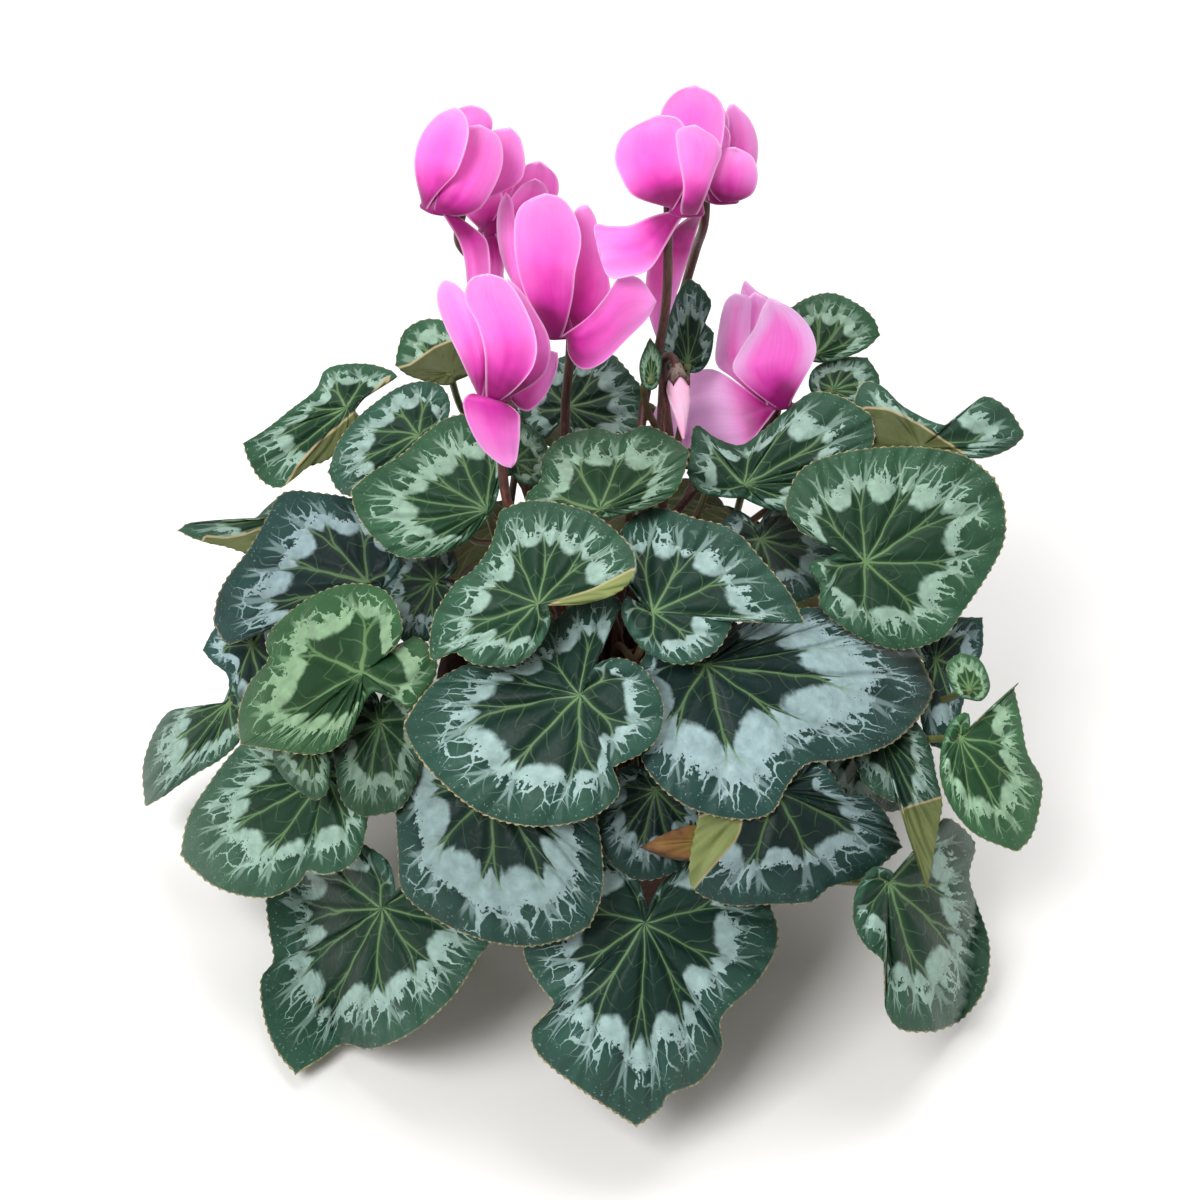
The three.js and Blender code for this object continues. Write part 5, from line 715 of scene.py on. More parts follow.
def all_strands():
    """Every stalk's and stem's path, as in the model, by the name of its leaf or flower."""
    rooted = [leaf for leaf in ALL_LEAVES if leaf["name"] not in SHARED]
    ends = [BLADES[leaf["name"]][1] for leaf in rooted]
    ends += [place_seen(flower["stem"][0], flower["stem"][0][2]) for flower in FLOWERS]
    sites = give_sockets(ends)
    strands = []
    for leaf, site in zip(rooted, sites):
        _, end, normal = BLADES[leaf["name"]]
        path = stalk_path(site, end, normal, leaf.get("stalk_turn", [0, 0, 0]))
        strands.append(dict(name=leaf["name"], radius=STALK["radius"], held=(2, 2), path=path))
    for flower, site in zip(FLOWERS, sites[len(rooted):]):
        held, path = (2, STEM["hook_steps"] + 2), stem_path(site, flower)
        strands.append(dict(name=flower["name"], radius=STEM["radius"], held=held, path=path))
    ease_apart(strands)
    paths = {strand["name"]: strand["path"] for strand in strands}
    for name in (leaf["name"] for leaf in ALL_LEAVES if leaf["name"] in SHARED):
        _, end, normal = BLADES[name]
        host = paths[SHARED[name]]
        start = host[max(3, math.floor(len(host) * 0.55 + 0.5))]
        middle = curve_cut([start, end - normal * STALK["approach"] * 0.5, end - normal * 6], STALK["step"])
        path = np.array([*middle, end])
        strands.append(dict(name=name, host=SHARED[name], radius=STALK["radius"], held=(1, 2), path=path))
    ease_apart(strands)
    return {strand["name"]: strand["path"] for strand in strands}


BLADES = {leaf["name"]: coarse_blade(leaf) for leaf in ALL_LEAVES}
STRANDS = all_strands()


def seeded(name):
    """Random draws that are the same each time for a piece of that name."""
    return np.random.default_rng(sum((index + 1) * ord(letter) for index, letter in enumerate(name)))


def grid_quads(rows, columns, closed):
    """Quads over rows of vertices; a closed grid joins its last column to its first."""
    across = columns if closed else columns - 1
    row, column = np.meshgrid(np.arange(rows - 1), np.arange(across), indexing="ij")
    after, here = (column + 1) % columns, row * columns
    corners = (here + column, here + columns + column, here + columns + after, here + after)
    return np.stack(corners, -1).reshape(-1, 4)


def sheet_normals(places, quads, tris):
    normals = np.zeros_like(places)
    for faces, (a, b, c, d) in ((quads, (0, 2, 1, 3)), (tris, (0, 1, 0, 2))):
        first, second = (places[faces[:, end]] - places[faces[:, start]] for start, end in ((a, b), (c, d)))
        square = np.cross(first, second)
        for corner in range(faces.shape[1]):
            np.add.at(normals, faces[:, corner], square)
    return unit(normals)


def outward(places, quads, tris):
    """The faces turned so that a closed body's faces point out."""
    corners = places[np.concatenate([quads[:, [0, 1, 2]], quads[:, [0, 2, 3]], tris])]
    volume = (corners[:, 0] * np.cross(corners[:, 1], corners[:, 2])).sum()
    return (quads, tris) if volume > 0 else (quads[:, ::-1], tris[:, ::-1])


def solid_sheet(places, quads, tris, border, half):
    """A sheet made solid: the same faces above and below its middle, joined round its border.

    Also gives the side that each face is on, so that both keep their own material, and the rims' vertices.
    """
    count = len(places)
    normals = sheet_normals(places, quads, tris)
    both = np.concatenate([places + normals * half[:, None], places - normals * half[:, None]])
    after = np.roll(border, -1)
    edge = np.stack([border, border + count, after + count, after], -1)
    all_quads = np.concatenate([quads, quads[:, ::-1] + count, edge])
    all_tris = np.concatenate([tris, tris[:, ::-1] + count])
    sides = np.repeat([0, 1, 2, 0, 1], [len(quads), len(quads), len(edge), len(tris), len(tris)])
    rims = np.zeros(2 * count, int)
    rims[border], rims[border + count] = 1, 2
    return both, all_quads, all_tris, sides, rims


def capped(rings, ends):
    """A closed body from rings of places, with a point that closes it at each end."""
    count, sides = rings.shape[:2]
    places = np.concatenate([rings.reshape(-1, 3), ends])
    ring = np.arange(sides)
    after, last = (ring + 1) % sides, (count - 1) * sides
    tris = np.concatenate([
        np.stack([np.full(sides, count * sides), after, ring], -1),
        np.stack([np.full(sides, count * sides + 1), last + ring, last + after], -1),
    ])
    return places, *outward(places, grid_quads(count, sides, True)[:, ::-1], tris)


def tube_shell(path, radii, sides, step=4.0):
    """A closed tube along a smooth curve through the path; radii may change evenly along it."""
    length = np.linalg.norm(np.diff(path, axis=0), axis=1).sum()
    fine = curve_cut(path, step, least=max(4, int(length / step)))
    along = unit(np.gradient(fine, axis=0))
    across = np.zeros_like(fine)
    across[0] = unit(np.cross(along[0], [0.3, 1.0, 0.1]))
    for index in range(1, len(fine)):
        across[index] = unit(across[index - 1] - along[index] * (across[index - 1] @ along[index]))
    other = np.cross(along, across)
    turn = 2 * math.pi * np.arange(sides)[:, None] / sides
    shares = np.linspace(0, 1, len(fine))
    wide = np.interp(shares, np.linspace(0, 1, len(radii)), radii)[:, None, None]
    rings = fine[:, None] + wide * (across[:, None] * np.cos(turn) + other[:, None] * np.sin(turn))
    return *capped(rings, fine[[0, -1]]), np.concatenate([np.repeat(shares, sides), [0, 1]])


def lathe_shell(profile, sides, place=(0, 0, 0), axis=UP, wobble=None):
    """A turned body from a profile of [radius, height] that starts and ends on the axis.

    wobble(angle, height) gives a factor for the radius there.
    """
    radius, height = np.array(profile, float).T[..., None]
    right = unit(np.cross(axis, [0.0, 1.0, 0.0]))
    other = np.cross(axis, right)
    turn = 2 * math.pi * np.arange(sides)[:, None] / sides
    factor = wobble(turn[:, 0], height) if wobble else np.ones(sides)
    way = right * np.cos(turn) + other * np.sin(turn)
    rings = place + height[..., None] * axis + (radius * factor)[..., None] * way
    return capped(rings[1:-1], rings[[0, -1], 0])


class Shell:
    """The mesh of one piece, gathered part by part in millimetres."""

    def __init__(self):
        self.parts = []

    def add(self, places, quads, tris, finish=0, values=None, maps=None, rims=None):
        """Adds a part. finish is a material number or one for each face, values are vectors at the
        vertices, maps hold flat coordinates at the faces' corners as (for quads, for tris), and rims
        number the vertices of sharp edges."""
        finish = np.broadcast_to(finish, len(quads) + len(tris))
        self.parts.append(dict(
            places=places, quads=quads, tris=tris, values=values or {}, maps=maps or {},
            quad_finish=finish[:len(quads)], tri_finish=finish[len(quads):],
            rims=np.zeros(len(places), int) if rims is None else rims + (rims > 0) * 10 * len(self.parts),
        ))

    def gathered(self, key, shift=False):
        starts = np.cumsum([0, *(len(part["places"]) for part in self.parts)]) * shift
        return np.concatenate([part[key] + start for part, start in zip(self.parts, starts)])

    def store(self, mesh):
        """Stores the parts' maps and values in the mesh."""
        for name in dict.fromkeys(name for part in self.parts for name in part["maps"]):
            grids = [part["maps"].get(name, (
                np.zeros((len(part["quads"]), 4, 2)), np.zeros((len(part["tris"]), 3, 2)),
            )) for part in self.parts]
            flat = np.concatenate([pair[kind].reshape(-1, 2) for kind in (0, 1) for pair in grids])
            mesh.uv_layers.new(name=name).uv.foreach_set("vector", flat.ravel())
        for name in dict.fromkeys(name for part in self.parts for name in part["values"]):
            vectors = [
                np.broadcast_to(part["values"].get(name, (0.0, 0.0, 0.0)), (len(part["places"]), 3))
                for part in self.parts
            ]
            layer = mesh.attributes.new(name, "FLOAT_VECTOR", "POINT")
            layer.data.foreach_set("vector", np.concatenate(vectors).ravel())

    def finished(self, name, materials, node=None):
        """The Blender object, in metres. Where it stands for a node, it rides on the plant's one body."""
        quads, tris = self.gathered("quads", shift=True), self.gathered("tris", shift=True)
        places, faces = self.gathered("places"), len(quads) + len(tris)
        if not faces:
            raise RuntimeError(f"{name} has no faces")
        corners = np.concatenate([quads.ravel(), tris.ravel()])
        starts = np.concatenate([np.arange(len(quads)) * 4, quads.size + np.arange(len(tris)) * 3])
        finish = np.concatenate([self.gathered("quad_finish"), self.gathered("tri_finish")])
        mesh = bpy.data.meshes.new(name)
        mesh.vertices.add(len(places))
        mesh.vertices.foreach_set("co", (places * MM).ravel())
        mesh.loops.add(len(corners))
        mesh.loops.foreach_set("vertex_index", corners)
        mesh.polygons.add(faces)
        mesh.polygons.foreach_set("loop_start", starts)
        mesh.polygons.foreach_set("material_index", finish)
        mesh.polygons.foreach_set("use_smooth", np.ones(faces, bool))
        self.store(mesh)
        mesh.update(calc_edges=True)
        ends = np.zeros(len(mesh.edges) * 2, int)
        mesh.edges.foreach_get("vertices", ends)
        rims = self.gathered("rims")[ends.reshape(-1, 2)]
        sharp = mesh.attributes.new("sharp_edge", "BOOLEAN", "EDGE")
        sharp.data.foreach_set("value", (rims[:, 0] > 0) & (rims[:, 0] == rims[:, 1]))
        for material in materials:
            mesh.materials.append(material)
        made = bpy.data.objects.new(name, mesh)
        bpy.context.collection.objects.link(made)
        if node:
            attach(made, "root")
            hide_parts(node)
        return made


def signed_distance(points, outline):
    """How far inside (positive) or outside an outline points lie, in millimetres."""
    outline = np.array(outline, float)
    far = np.full(len(points), 1e9)
    inside = np.zeros(len(points), bool)
    for (x1, y1), (x2, y2) in zip(outline, np.roll(outline, -1, axis=0)):
        step = np.array([x2 - x1, y2 - y1])
        t = np.clip(((points - (x1, y1)) @ step) / (step @ step), 0, 1)
        far = np.minimum(far, np.linalg.norm(points - (x1, y1) - t[:, None] * step, axis=1))
        crosses = (y1 > points[:, 1]) != (y2 > points[:, 1])
        rise = y2 - y1 if abs(y2 - y1) > 1e-9 else 1e-9
        inside ^= crosses & (points[:, 0] < (x2 - x1) * (points[:, 1] - y1) / rise + x1)
    return np.where(inside, far, -far)


def sector_sides(shares):
    """The sector that each share of the margin lies in, and the side of its middle line, as -1 or 1."""
    sector = np.minimum((shares * SECTORS).astype(int), SECTORS - 1)
    return sector, np.where(shares * SECTORS - sector >= 0.5, 1.0, -1.0)


def vein_places(shares, rho, sector, side, width, draws):
    """Across is the distance from a sector's middle line, fork how far its vein has parted to that side."""
    across = (shares * SECTORS - sector - 0.5) * width * rho
    reach = (VEIN["fork"] + draws["skew"][sector] * side) * width * rho
    return across, reach * ease((rho - draws["start"][sector]) / VEIN["fork_run"])


def blade_part(shell, leaf, sizes, finishes):
    """One blade: rings of stations between its heart and its toothed margin, sunk along its veins."""
    name, heart = leaf["name"], np.array(leaf["heart"], float)
    step = sizes.blade_step / MM * (REAR_COARSER if "turn" in leaf else 1)
    stations, shares = margin_stations(
        leaf, lambda total, side: max(18, 9 * math.floor(total / step / 9 + 0.5)), math.radians(0.12),
    )
    draw = seeded(name)
    draws = dict(
        start=draw.uniform(0.24, 0.46, SECTORS), skew=draw.uniform(-0.06, 0.06, SECTORS),
        inner=draw.uniform(-0.03, 0.03, 2 * SECTORS), seed=draw.uniform(0, 300),
        phase=draw.uniform(0, 6.28, 3),
    )
    count = len(stations)
    loop = np.vstack([stations[:, :2], stations[:1, :2]])
    width = np.hypot(*np.diff(loop, axis=0).T).sum() / SECTORS
    rays = np.hypot(*(stations[:, :2] - heart).T)

    # A main vein down each sector forks, and the forks part again into tips.
    rho = np.repeat(RINGS[:, None], count, axis=1)
    share = np.repeat(shares[None], len(RINGS), axis=0)
    sector, side = sector_sides(share)
    across, fork = vein_places(share, rho, sector, side, width, draws)
    tips = VEIN["tips"] * width * rho * ease((rho - VEIN["tips_from"]) / VEIN["tips_run"])
    branch = abs(abs(across) - fork)

    # The edge is toothed, waves and droops. The blade puffs up between its sunk veins.
    reach = rho.copy()
    reach[-1, 1::2] -= sizes.tooth / MM / np.maximum(rays[1::2], 8)
    points = heart + (stations[None, :, :2] - heart) * reach[..., None]
    wave = sum(
        size * np.sin(2 * math.pi * turns * share + phase)
        for size, turns, phase in zip(EDGE["waves"], EDGE["turns"], draws["phase"])
    )
    puff = 1 - np.exp(-(abs(branch - tips) / VEIN["trough"]) ** 2)
    lift = (
        stations[None, :, 2] * rho ** 1.5 + sizes.wave / MM * wave * rho ** 4 - EDGE["droop"] * rho ** 12
        + sizes.quilt / MM * (puff - 0.6) * ease(rho / 0.15) * (1 - 0.5 * rho ** 6)
    )
    surface = BLADES[name][0]
    places = np.concatenate([surface(points, lift).reshape(-1, 3), [surface(heart, -0.3)]])
    ring = np.arange(count)
    tris = np.stack([np.full(count, count * len(RINGS)), ring, (ring + 1) % count], -1)
    flat_rho = np.append(rho.ravel(), 0.0)
    half = (0.5 - 0.25 * flat_rho) * sizes.blade_thickness / MM
    border = (len(RINGS) - 1) * count + ring
    quads = grid_quads(len(RINGS), count, True)
    solid, quads, tris, sides, rims = solid_sheet(places, quads, tris, border, half)

    # The silver ring's lobes stand between the veins and their forks, and shrink beside the notch.
    gap_at = (np.floor(share * SECTORS * 2 + 0.5) % (2 * SECTORS)).astype(int)
    silver_from, silver_to = leaf.get("silver", SILVER_USUAL)
    near_sinus = ease(1.6 - rays / (LOBE["sinus_reach"] * np.median(rays)))[None]
    forked = abs(across) < fork
    room = np.where(forked, fork, width * rho / 2 - fork)
    from_vein = np.clip(branch / np.maximum(room, 0.5), 0, 1)
    lobe = 1 - np.sqrt(1 - (1 - from_vein) ** 2)
    inner = rho - silver_from - draws["inner"][gap_at]
    inner -= LOBE["forked"] * forked + LOBE["deep"] * lobe + LOBE["sinus"] * near_sinus
    outer = silver_to + 0.03 * wave - rho
    turned = np.full(rho.size, -9.0)
    if "under" in leaf:
        turned = signed_distance(points.reshape(-1, 2), leaf["under"])
    # The turned-over underside is painted lighter or darker for the shade or light it lies in: painted shade
    # and painted light.
    light = np.full(rho.size + 1, leaf.get("under_light", 1.0))
    pattern = np.stack([np.append(inner, -1), np.append(outer, 1), flat_rho], -1)
    edges = np.stack([np.append(tips, 0), np.append(turned, turned[0]), light], -1)
    shell.add(solid, quads, tris, np.array(finishes)[sides], dict(
        pattern=np.tile(pattern, (2, 1)), edges=np.tile(edges, (2, 1)), look=(*leaf["look"], draws["seed"]),
    ), blade_maps(shares, width, rays, draws), rims)


def blade_maps(shares, width, rays, draws):
    """Flat coordinates at each face's corners, true to its sector: veins (across, fork) and polar (round the
    margin, out)."""
    count = len(shares)
    row, column = np.meshgrid(np.arange(len(RINGS) - 1), np.arange(count), indexing="ij")
    low, high = shares, np.append(shares[1:], 1.0)
    sector, side = sector_sides((low + high) / 2)
    far = np.append(rays, rays[:1])
    corners = ((0, low, far[:-1]), (1, low, far[:-1]), (1, high, far[1:]), (0, high, far[1:]))
    veins, polar = [], []
    for ring_step, at, ray in corners:
        out, around = RINGS[row + ring_step], at[column]
        across_fork = vein_places(around, out, sector[column], side[column], width, draws)
        veins.append(np.stack(across_fork, -1))
        polar.append(np.stack([around * width * SECTORS, out * ray[column]], -1))
    maps = {}
    for name, corner in (("veins", veins), ("polar", polar)):
        grid = np.stack(corner, 2).reshape(-1, 4, 2)
        edge = np.repeat(grid[-count:, 1:3], 2, axis=1)
        fan = np.stack([np.zeros_like(grid[:count, 0]), grid[:count, 0], grid[:count, 3]], 1)
        maps[name] = (np.concatenate([grid, grid[:, ::-1], edge]), np.concatenate([fan, fan[:, ::-1]]))
    return maps


def grow_leaf(leaf, sizes, materials):
    """A leaf's blade and stalk in one piece; two leaves that share a node are one piece too."""
    shell = Shell()
    base = sizes.stalk_radius / MM
    for member in [leaf, *(other for other in ALL_LEAVES if other["name"] == leaf.get("also"))]:
        blade_part(shell, member, sizes, (3, 3, 3) if member["name"] == WITHERED else (0, 1, 0))
        radii = (base * 1.15, base, base, base * 1.05)
        *tube, share = tube_shell(STRANDS[member["name"]], radii, STALK["sides"])
        along = np.stack([share, share * 0, share * 0 + seeded(member["name"]).uniform(0, 1)], -1)
        shell.add(*tube, 2, dict(stalk=along))
    shell.finished(f"{leaf['name']}_grown", materials, leaf["name"])


def petal_part(shell, bloom, petal, index, sizes):
    """A petal: it leaves the corolla's mouth and turns back up, cupped, fluted and thin at its edge."""
    mouth, axis, round_axis = bloom_frame(bloom)
    across, along = 15, 34
    edges = [even_steps(smooth_run([*side, petal["tip"]]), along)[:along] for side in petal["sides"]]
    anchor = mouth + round_axis(petal["leaves_at"]) * TUBE["radius"] + FRONT[2] * petal["nearer"]
    normal = compass(*petal["faces"])
    draw = seeded(f"{bloom['name']}{index}")
    phase, seed = draw.uniform(0, 6.28, 3), draw.uniform(0, 300)

    out = np.repeat(np.arange(along)[:, None] / along, across, axis=1)
    t = np.repeat(np.linspace(0, 1, across)[None], along, axis=0)
    points = edges[0][:, None] * (1 - t[..., None]) + edges[1][:, None] * t[..., None]
    middle = 2 * t - 1
    ruffle = 0.8 * abs(middle) ** 3 * np.sin(2 * math.pi * 1.5 * out + phase[0])
    flute = 0.18 * np.cos(middle * 9 + phase[1]) * np.sin(math.pi * out)
    groove = -0.5 * np.exp(-(middle / 0.12) ** 2) * (1 - out)
    curl = 1.6 * abs(middle) ** 6 * np.sin(math.pi * out) * (1 if phase[2] > 2.4 else -0.6)
    cup = -3.0 * middle ** 2 * np.sin(math.pi * np.minimum(1, out + 0.1))
    tip_curl = 1.2 * ease((out - 0.75) / 0.25) * (1 - middle ** 2)
    lift = cup + sizes.petal_wave * (ruffle + flute + groove + curl + tip_curl)
    seen = on_plane(points, lift, anchor, normal, 0, FRONT)
    spread = math.degrees(6 / TUBE["radius"]) * (t - 0.5)
    start = mouth + round_axis(petal["leaves_at"] + spread) * (TUBE["radius"] - 0.5) + axis * 0.7
    blend = ease(out / 0.28)[..., None]
    rows = start * (1 - blend) + seen * blend
    tip = on_plane(np.array([petal["tip"]], float), np.array([0.6]), anchor, normal, 0, FRONT)
    places = np.concatenate([rows.reshape(-1, 3), tip])
    last, column = (along - 1) * across, np.arange(across - 1)
    tris = np.stack([last + column, last + column + 1, np.full(across - 1, along * across)], -1)
    left = np.arange(1, along) * across
    border = np.concatenate([np.arange(across), left + across - 1, [along * across], left[::-1]])
    size = np.linalg.norm(rows[:, -1] - rows[:, 0], axis=1)[:, None]
    to_edge = np.minimum((1 - abs(middle)) * size / 2, np.linalg.norm(rows - tip, axis=-1))
    edge = np.append(to_edge.ravel(), 0)
    thicker = np.append(1 + 0.5 * (1 - blend[..., 0].ravel()), 1)
    half = sizes.petal_thickness / MM * (0.24 + 0.26 * np.clip(edge / 5, 0, 1)) * thicker
    quads = grid_quads(along, across, False)[:, ::-1]
    solid, quads, tris, _, rims = solid_sheet(places, quads, tris, border, half)
    flesh = np.stack([np.append(middle.ravel(), 0), np.append(out.ravel(), 1), edge], -1)
    look = (bloom["pale"], petal["washed_and_lit"], seed)
    shell.add(solid, quads, tris, 0, dict(petal=np.tile(flesh, (2, 1)), look=look), rims=rims)


def grow_bloom(bloom, sizes, materials):
    """A bloom: five petals turned back over the short corolla tube, which is dark at its mouth."""
    mouth, axis, _ = bloom_frame(bloom)
    shell = Shell()
    top, wide, neck = TUBE["height"], TUBE["radius"], TUBE["neck"]
    outer = [[0, top], [neck * 0.7, top], [neck, top - 0.3], [4.6, 7.4], [5.7, 4.4],
        [wide - 0.2, 1.6], [wide + 0.1, 0.2], [wide - 0.2, -0.5]]
    inner = [[wide - 0.9, 0], [5.0, 1.4], [4.4, 4], [2.6, 6.6], [0, 7.2]]
    places, quads, tris = lathe_shell([*outer, *inner], 30, mouth, axis,
        lambda angle, height: 1 + 0.05 * np.cos(5 * angle) * (1 - np.clip(height / top, 0, 1)))
    height = np.clip((places - mouth) @ axis / top, 0, 1)
    flesh = np.stack([height * 0, 0.02 + 0.1 * height, height * 0 + 6], -1)
    shell.add(places, quads, tris, 0, dict(petal=flesh, look=(0, 1.0, 5.0)))
    for index, petal in enumerate(bloom["petals"]):
        petal_part(shell, bloom, petal, index, sizes)
    shell.finished(f"{bloom['name']}_grown", materials, bloom["name"])


def tube_skin(height):
    """The corolla's radius at a height above its mouth."""
    return np.interp(height, [0, 1.6, 4.4, 7.4, 9.7, 10.4, 16], [6.5, 6.3, 5.7, 4.6, 3.2, 2.4, 1.6])


def bud_skin(height):
    return np.interp(height, [-24, -17, -9, -4, 0, 1.4, 6], [0.4, 2.1, 3.95, 4.6, 4.1, 3.0, 1.7])


def calyx_part(shell, flower, base, skin_radius):
    """Five pointed sepals that lie on the corolla from where the stem joins it."""
    mouth, axis, round_axis = bloom_frame(flower)
    angles = np.linspace(0, 360, 61)[:-1]
    steps = np.linspace(0, 1, 9)
    pointed = abs(((angles / 72) % 1) * 2 - 1)
    length = CALYX["height"] + 0.6 + 4.2 * (1 - pointed ** 0.7)
    down = steps[:, None] * length[None]
    up = base + CALYX["height"] + 1.2 - down
    narrow = STEM["radius"] * 0.9
    radius = narrow + (skin_radius(up) - narrow) * ease(down / 4.2) + 0.25 * np.cos(pointed * math.pi / 2)
    outer, inner = (mouth + up[..., None] * axis + (radius + grow)[..., None] * round_axis(angles)
        for grow in (0.75, 0.25))
    places = np.concatenate([outer, inner[::-1]]).reshape(-1, 3)
    shares = np.repeat([*steps, *steps[::-1]], len(angles))
    # The rows run down the outside and up the inside, and the last joins the first.
    quads = np.concatenate([grid_quads(len(steps) * 2, len(angles), True), grid_quads(2, len(angles), True)])
    quads[-len(angles):, 1:3] = quads[-len(angles):, [0, 3]]
    quads[-len(angles):, [0, 3]] += (len(steps) * 2 - 1) * len(angles)
    quads, tris = outward(places, quads, np.zeros((0, 3), int))
    shell.add(places, quads, tris, 1, dict(stalk=np.stack([shares, shares * 0 + 1, shares * 0], -1)))


def grow_stem(flower, sizes, materials):
    """A flower stem, hooked over at its top, with its calyx."""
    shell = Shell()
    base, name = sizes.stem_radius / MM, f"stem_of_{flower['name']}"
    *tube, share = tube_shell(STRANDS[flower["name"]], (base * 1.1, base, base, base, base * 0.9), 12, 2.5)
    shell.add(*tube, 0, dict(stalk=np.stack([share, share * 0, share * 0], -1)))
    if flower is BUD:
        calyx_part(shell, flower, CLEARANCE, bud_skin)
    else:
        calyx_part(shell, flower, TUBE["height"] + CLEARANCE, tube_skin)
    shell.finished(f"{name}_grown", materials, name)


def grow_bud(materials):
    """The bud: petals wound about each other into a pointed screw."""
    mouth, axis, _ = bloom_frame(BUD)
    long = BUD["length"]
    down = np.linspace(-0.02, 1, 42)[::-1]
    profile = [[0, -long], *([bud_skin(-long * share), -long * share] for share in down), [0, 0.9]]

    def wound(angle, height):
        saw = ((angle * 5 + height / long * 7) / (2 * math.pi)) % 1
        return 1 + 0.13 * (saw - 0.5) * np.clip(-height / 4, 0, 1)

    shell = Shell()
    places, quads, tris = lathe_shell(profile, 60, mouth, axis, wound)
    share = np.clip(-((places - mouth) @ axis) / long, 0, 1)
    shell.add(places, quads, tris, 0, dict(petal=np.stack([share * 0, share, share * 0 + 6], -1)))
    shell.finished("bud_grown", materials, "bud")


def rough_noise(places, size, seed):
    """A smooth rough field over places: sums of sines in seeded directions, about -1 to 1."""
    draw = np.random.default_rng(seed)
    total = np.zeros(len(places))
    for octave in range(3):
        ways = draw.normal(size=(6, 3))
        ways *= (2 ** octave / size) * 2 * math.pi / np.linalg.norm(ways, axis=1, keepdims=True)
        total += np.sin(places @ ways.T + draw.uniform(0, 6.28, 6)).sum(axis=1) / 6 / 1.7 ** octave
    return total


def grow_tuber(materials):
    """The corky tuber, half out of the soil."""
    z, r = TUBER["middle"], TUBER["radius"]
    bottom, crown = TUBER["bottom"], TUBER["crown"]
    keys = [(0.0, bottom), (r * 0.6, bottom + 2), (r * 0.92, z - 6), (r, z), (r * 0.94, z + 8),
        (TUBER["crown_radius"] + 2, crown - 1), (0.0, crown)]
    run = curve_through(keys, np.linspace(0, 1, 40))
    run[1:-1, 0] = np.maximum(run[1:-1, 0], 0.5)
    run[0, 0] = run[-1, 0] = 0
    places, quads, tris = lathe_shell(run, 96)
    rough = 0.45 * rough_noise(places, 9, 4) + 0.25 * rough_noise(places, 3, 5)
    shell = Shell()
    shell.add(places + unit(places - [0, 0, z]) * rough[:, None], quads, tris)
    shell.finished("tuber_grown", materials, "tuber")


def pot_inside(z):
    """The pot's inner radius at a height."""
    narrow = POT["base"] + (POT["top"] - POT["base"]) * POT["floor"] / POT["height"] - POT["wall"]
    share = (z - POT["floor"]) / (POT["height"] - POT["floor"])
    return narrow + (POT["top"] - POT["wall"] + 1.2 - narrow) * share


def grow_soil(sizes, materials):
    """Potting soil: a rough, slightly mounded top with crumbs of peat and bark, open where the tuber sits."""
    low, top, mound = POT["floor"] + CLEARANCE, SOIL["top"], SOIL["mound"]
    inner, wall = TUBER["radius"] * 0.93, pot_inside(top)
    radii = np.linspace(wall - 0.8, inner, 26)
    share = (radii - inner) / (radii[0] - inner)
    profile = [[0, low], [pot_inside(low) - 0.6, low], [wall - 0.6, top],
        *([r, top + mound * (1 - s ** 2)] for r, s in zip(radii, share)),
        [inner - 2, top - 3], [inner * 0.5, TUBER["bottom"] - 0.7],
        [0, TUBER["bottom"] - 0.8 - CLEARANCE]]
    places, quads, tris = lathe_shell(profile, 150)
    flat = np.hypot(places[:, 0], places[:, 1])
    loose = (places[:, 2] > top - 0.1) * np.clip((wall - 0.8 - flat) / 3, 0, 1)
    rough = loose * (0.9 * rough_noise(places, 11, 1) + 0.6 * rough_noise(places, 3.5, 2))
    shell = Shell()
    shell.add(places + UP * rough[:, None], quads, tris)
    draw = np.random.default_rng(7)
    corners = np.array([(1, 1, 1), (1, -1, -1), (-1, 1, -1), (-1, -1, 1), (1.2, 0, 0), (0, 1.1, 0)])
    faces = np.array([(4, 5, 0), (4, 0, 1), (4, 1, 5), (5, 2, 0), (0, 2, 3), (0, 3, 1), (1, 3, 2), (1, 2, 5)])
    for _ in range(sizes.soil_crumbs):
        radius = math.sqrt(draw.uniform((inner + 2) ** 2, (wall - 3) ** 2))
        angle = draw.uniform(0, 2 * math.pi)
        size = draw.uniform(0.5, 1.7)
        shape = corners * draw.uniform(0.6, 1.3, (6, 3)) * size * 0.7
        spot = np.array([radius * math.cos(angle), radius * math.sin(angle), top + mound * 0.8 + size * 0.3])
        shell.add(shape + spot, np.zeros((0, 4), int), faces, 1 if draw.uniform() < 0.25 else 0)
    shell.finished("soil_grown", materials, "soil")


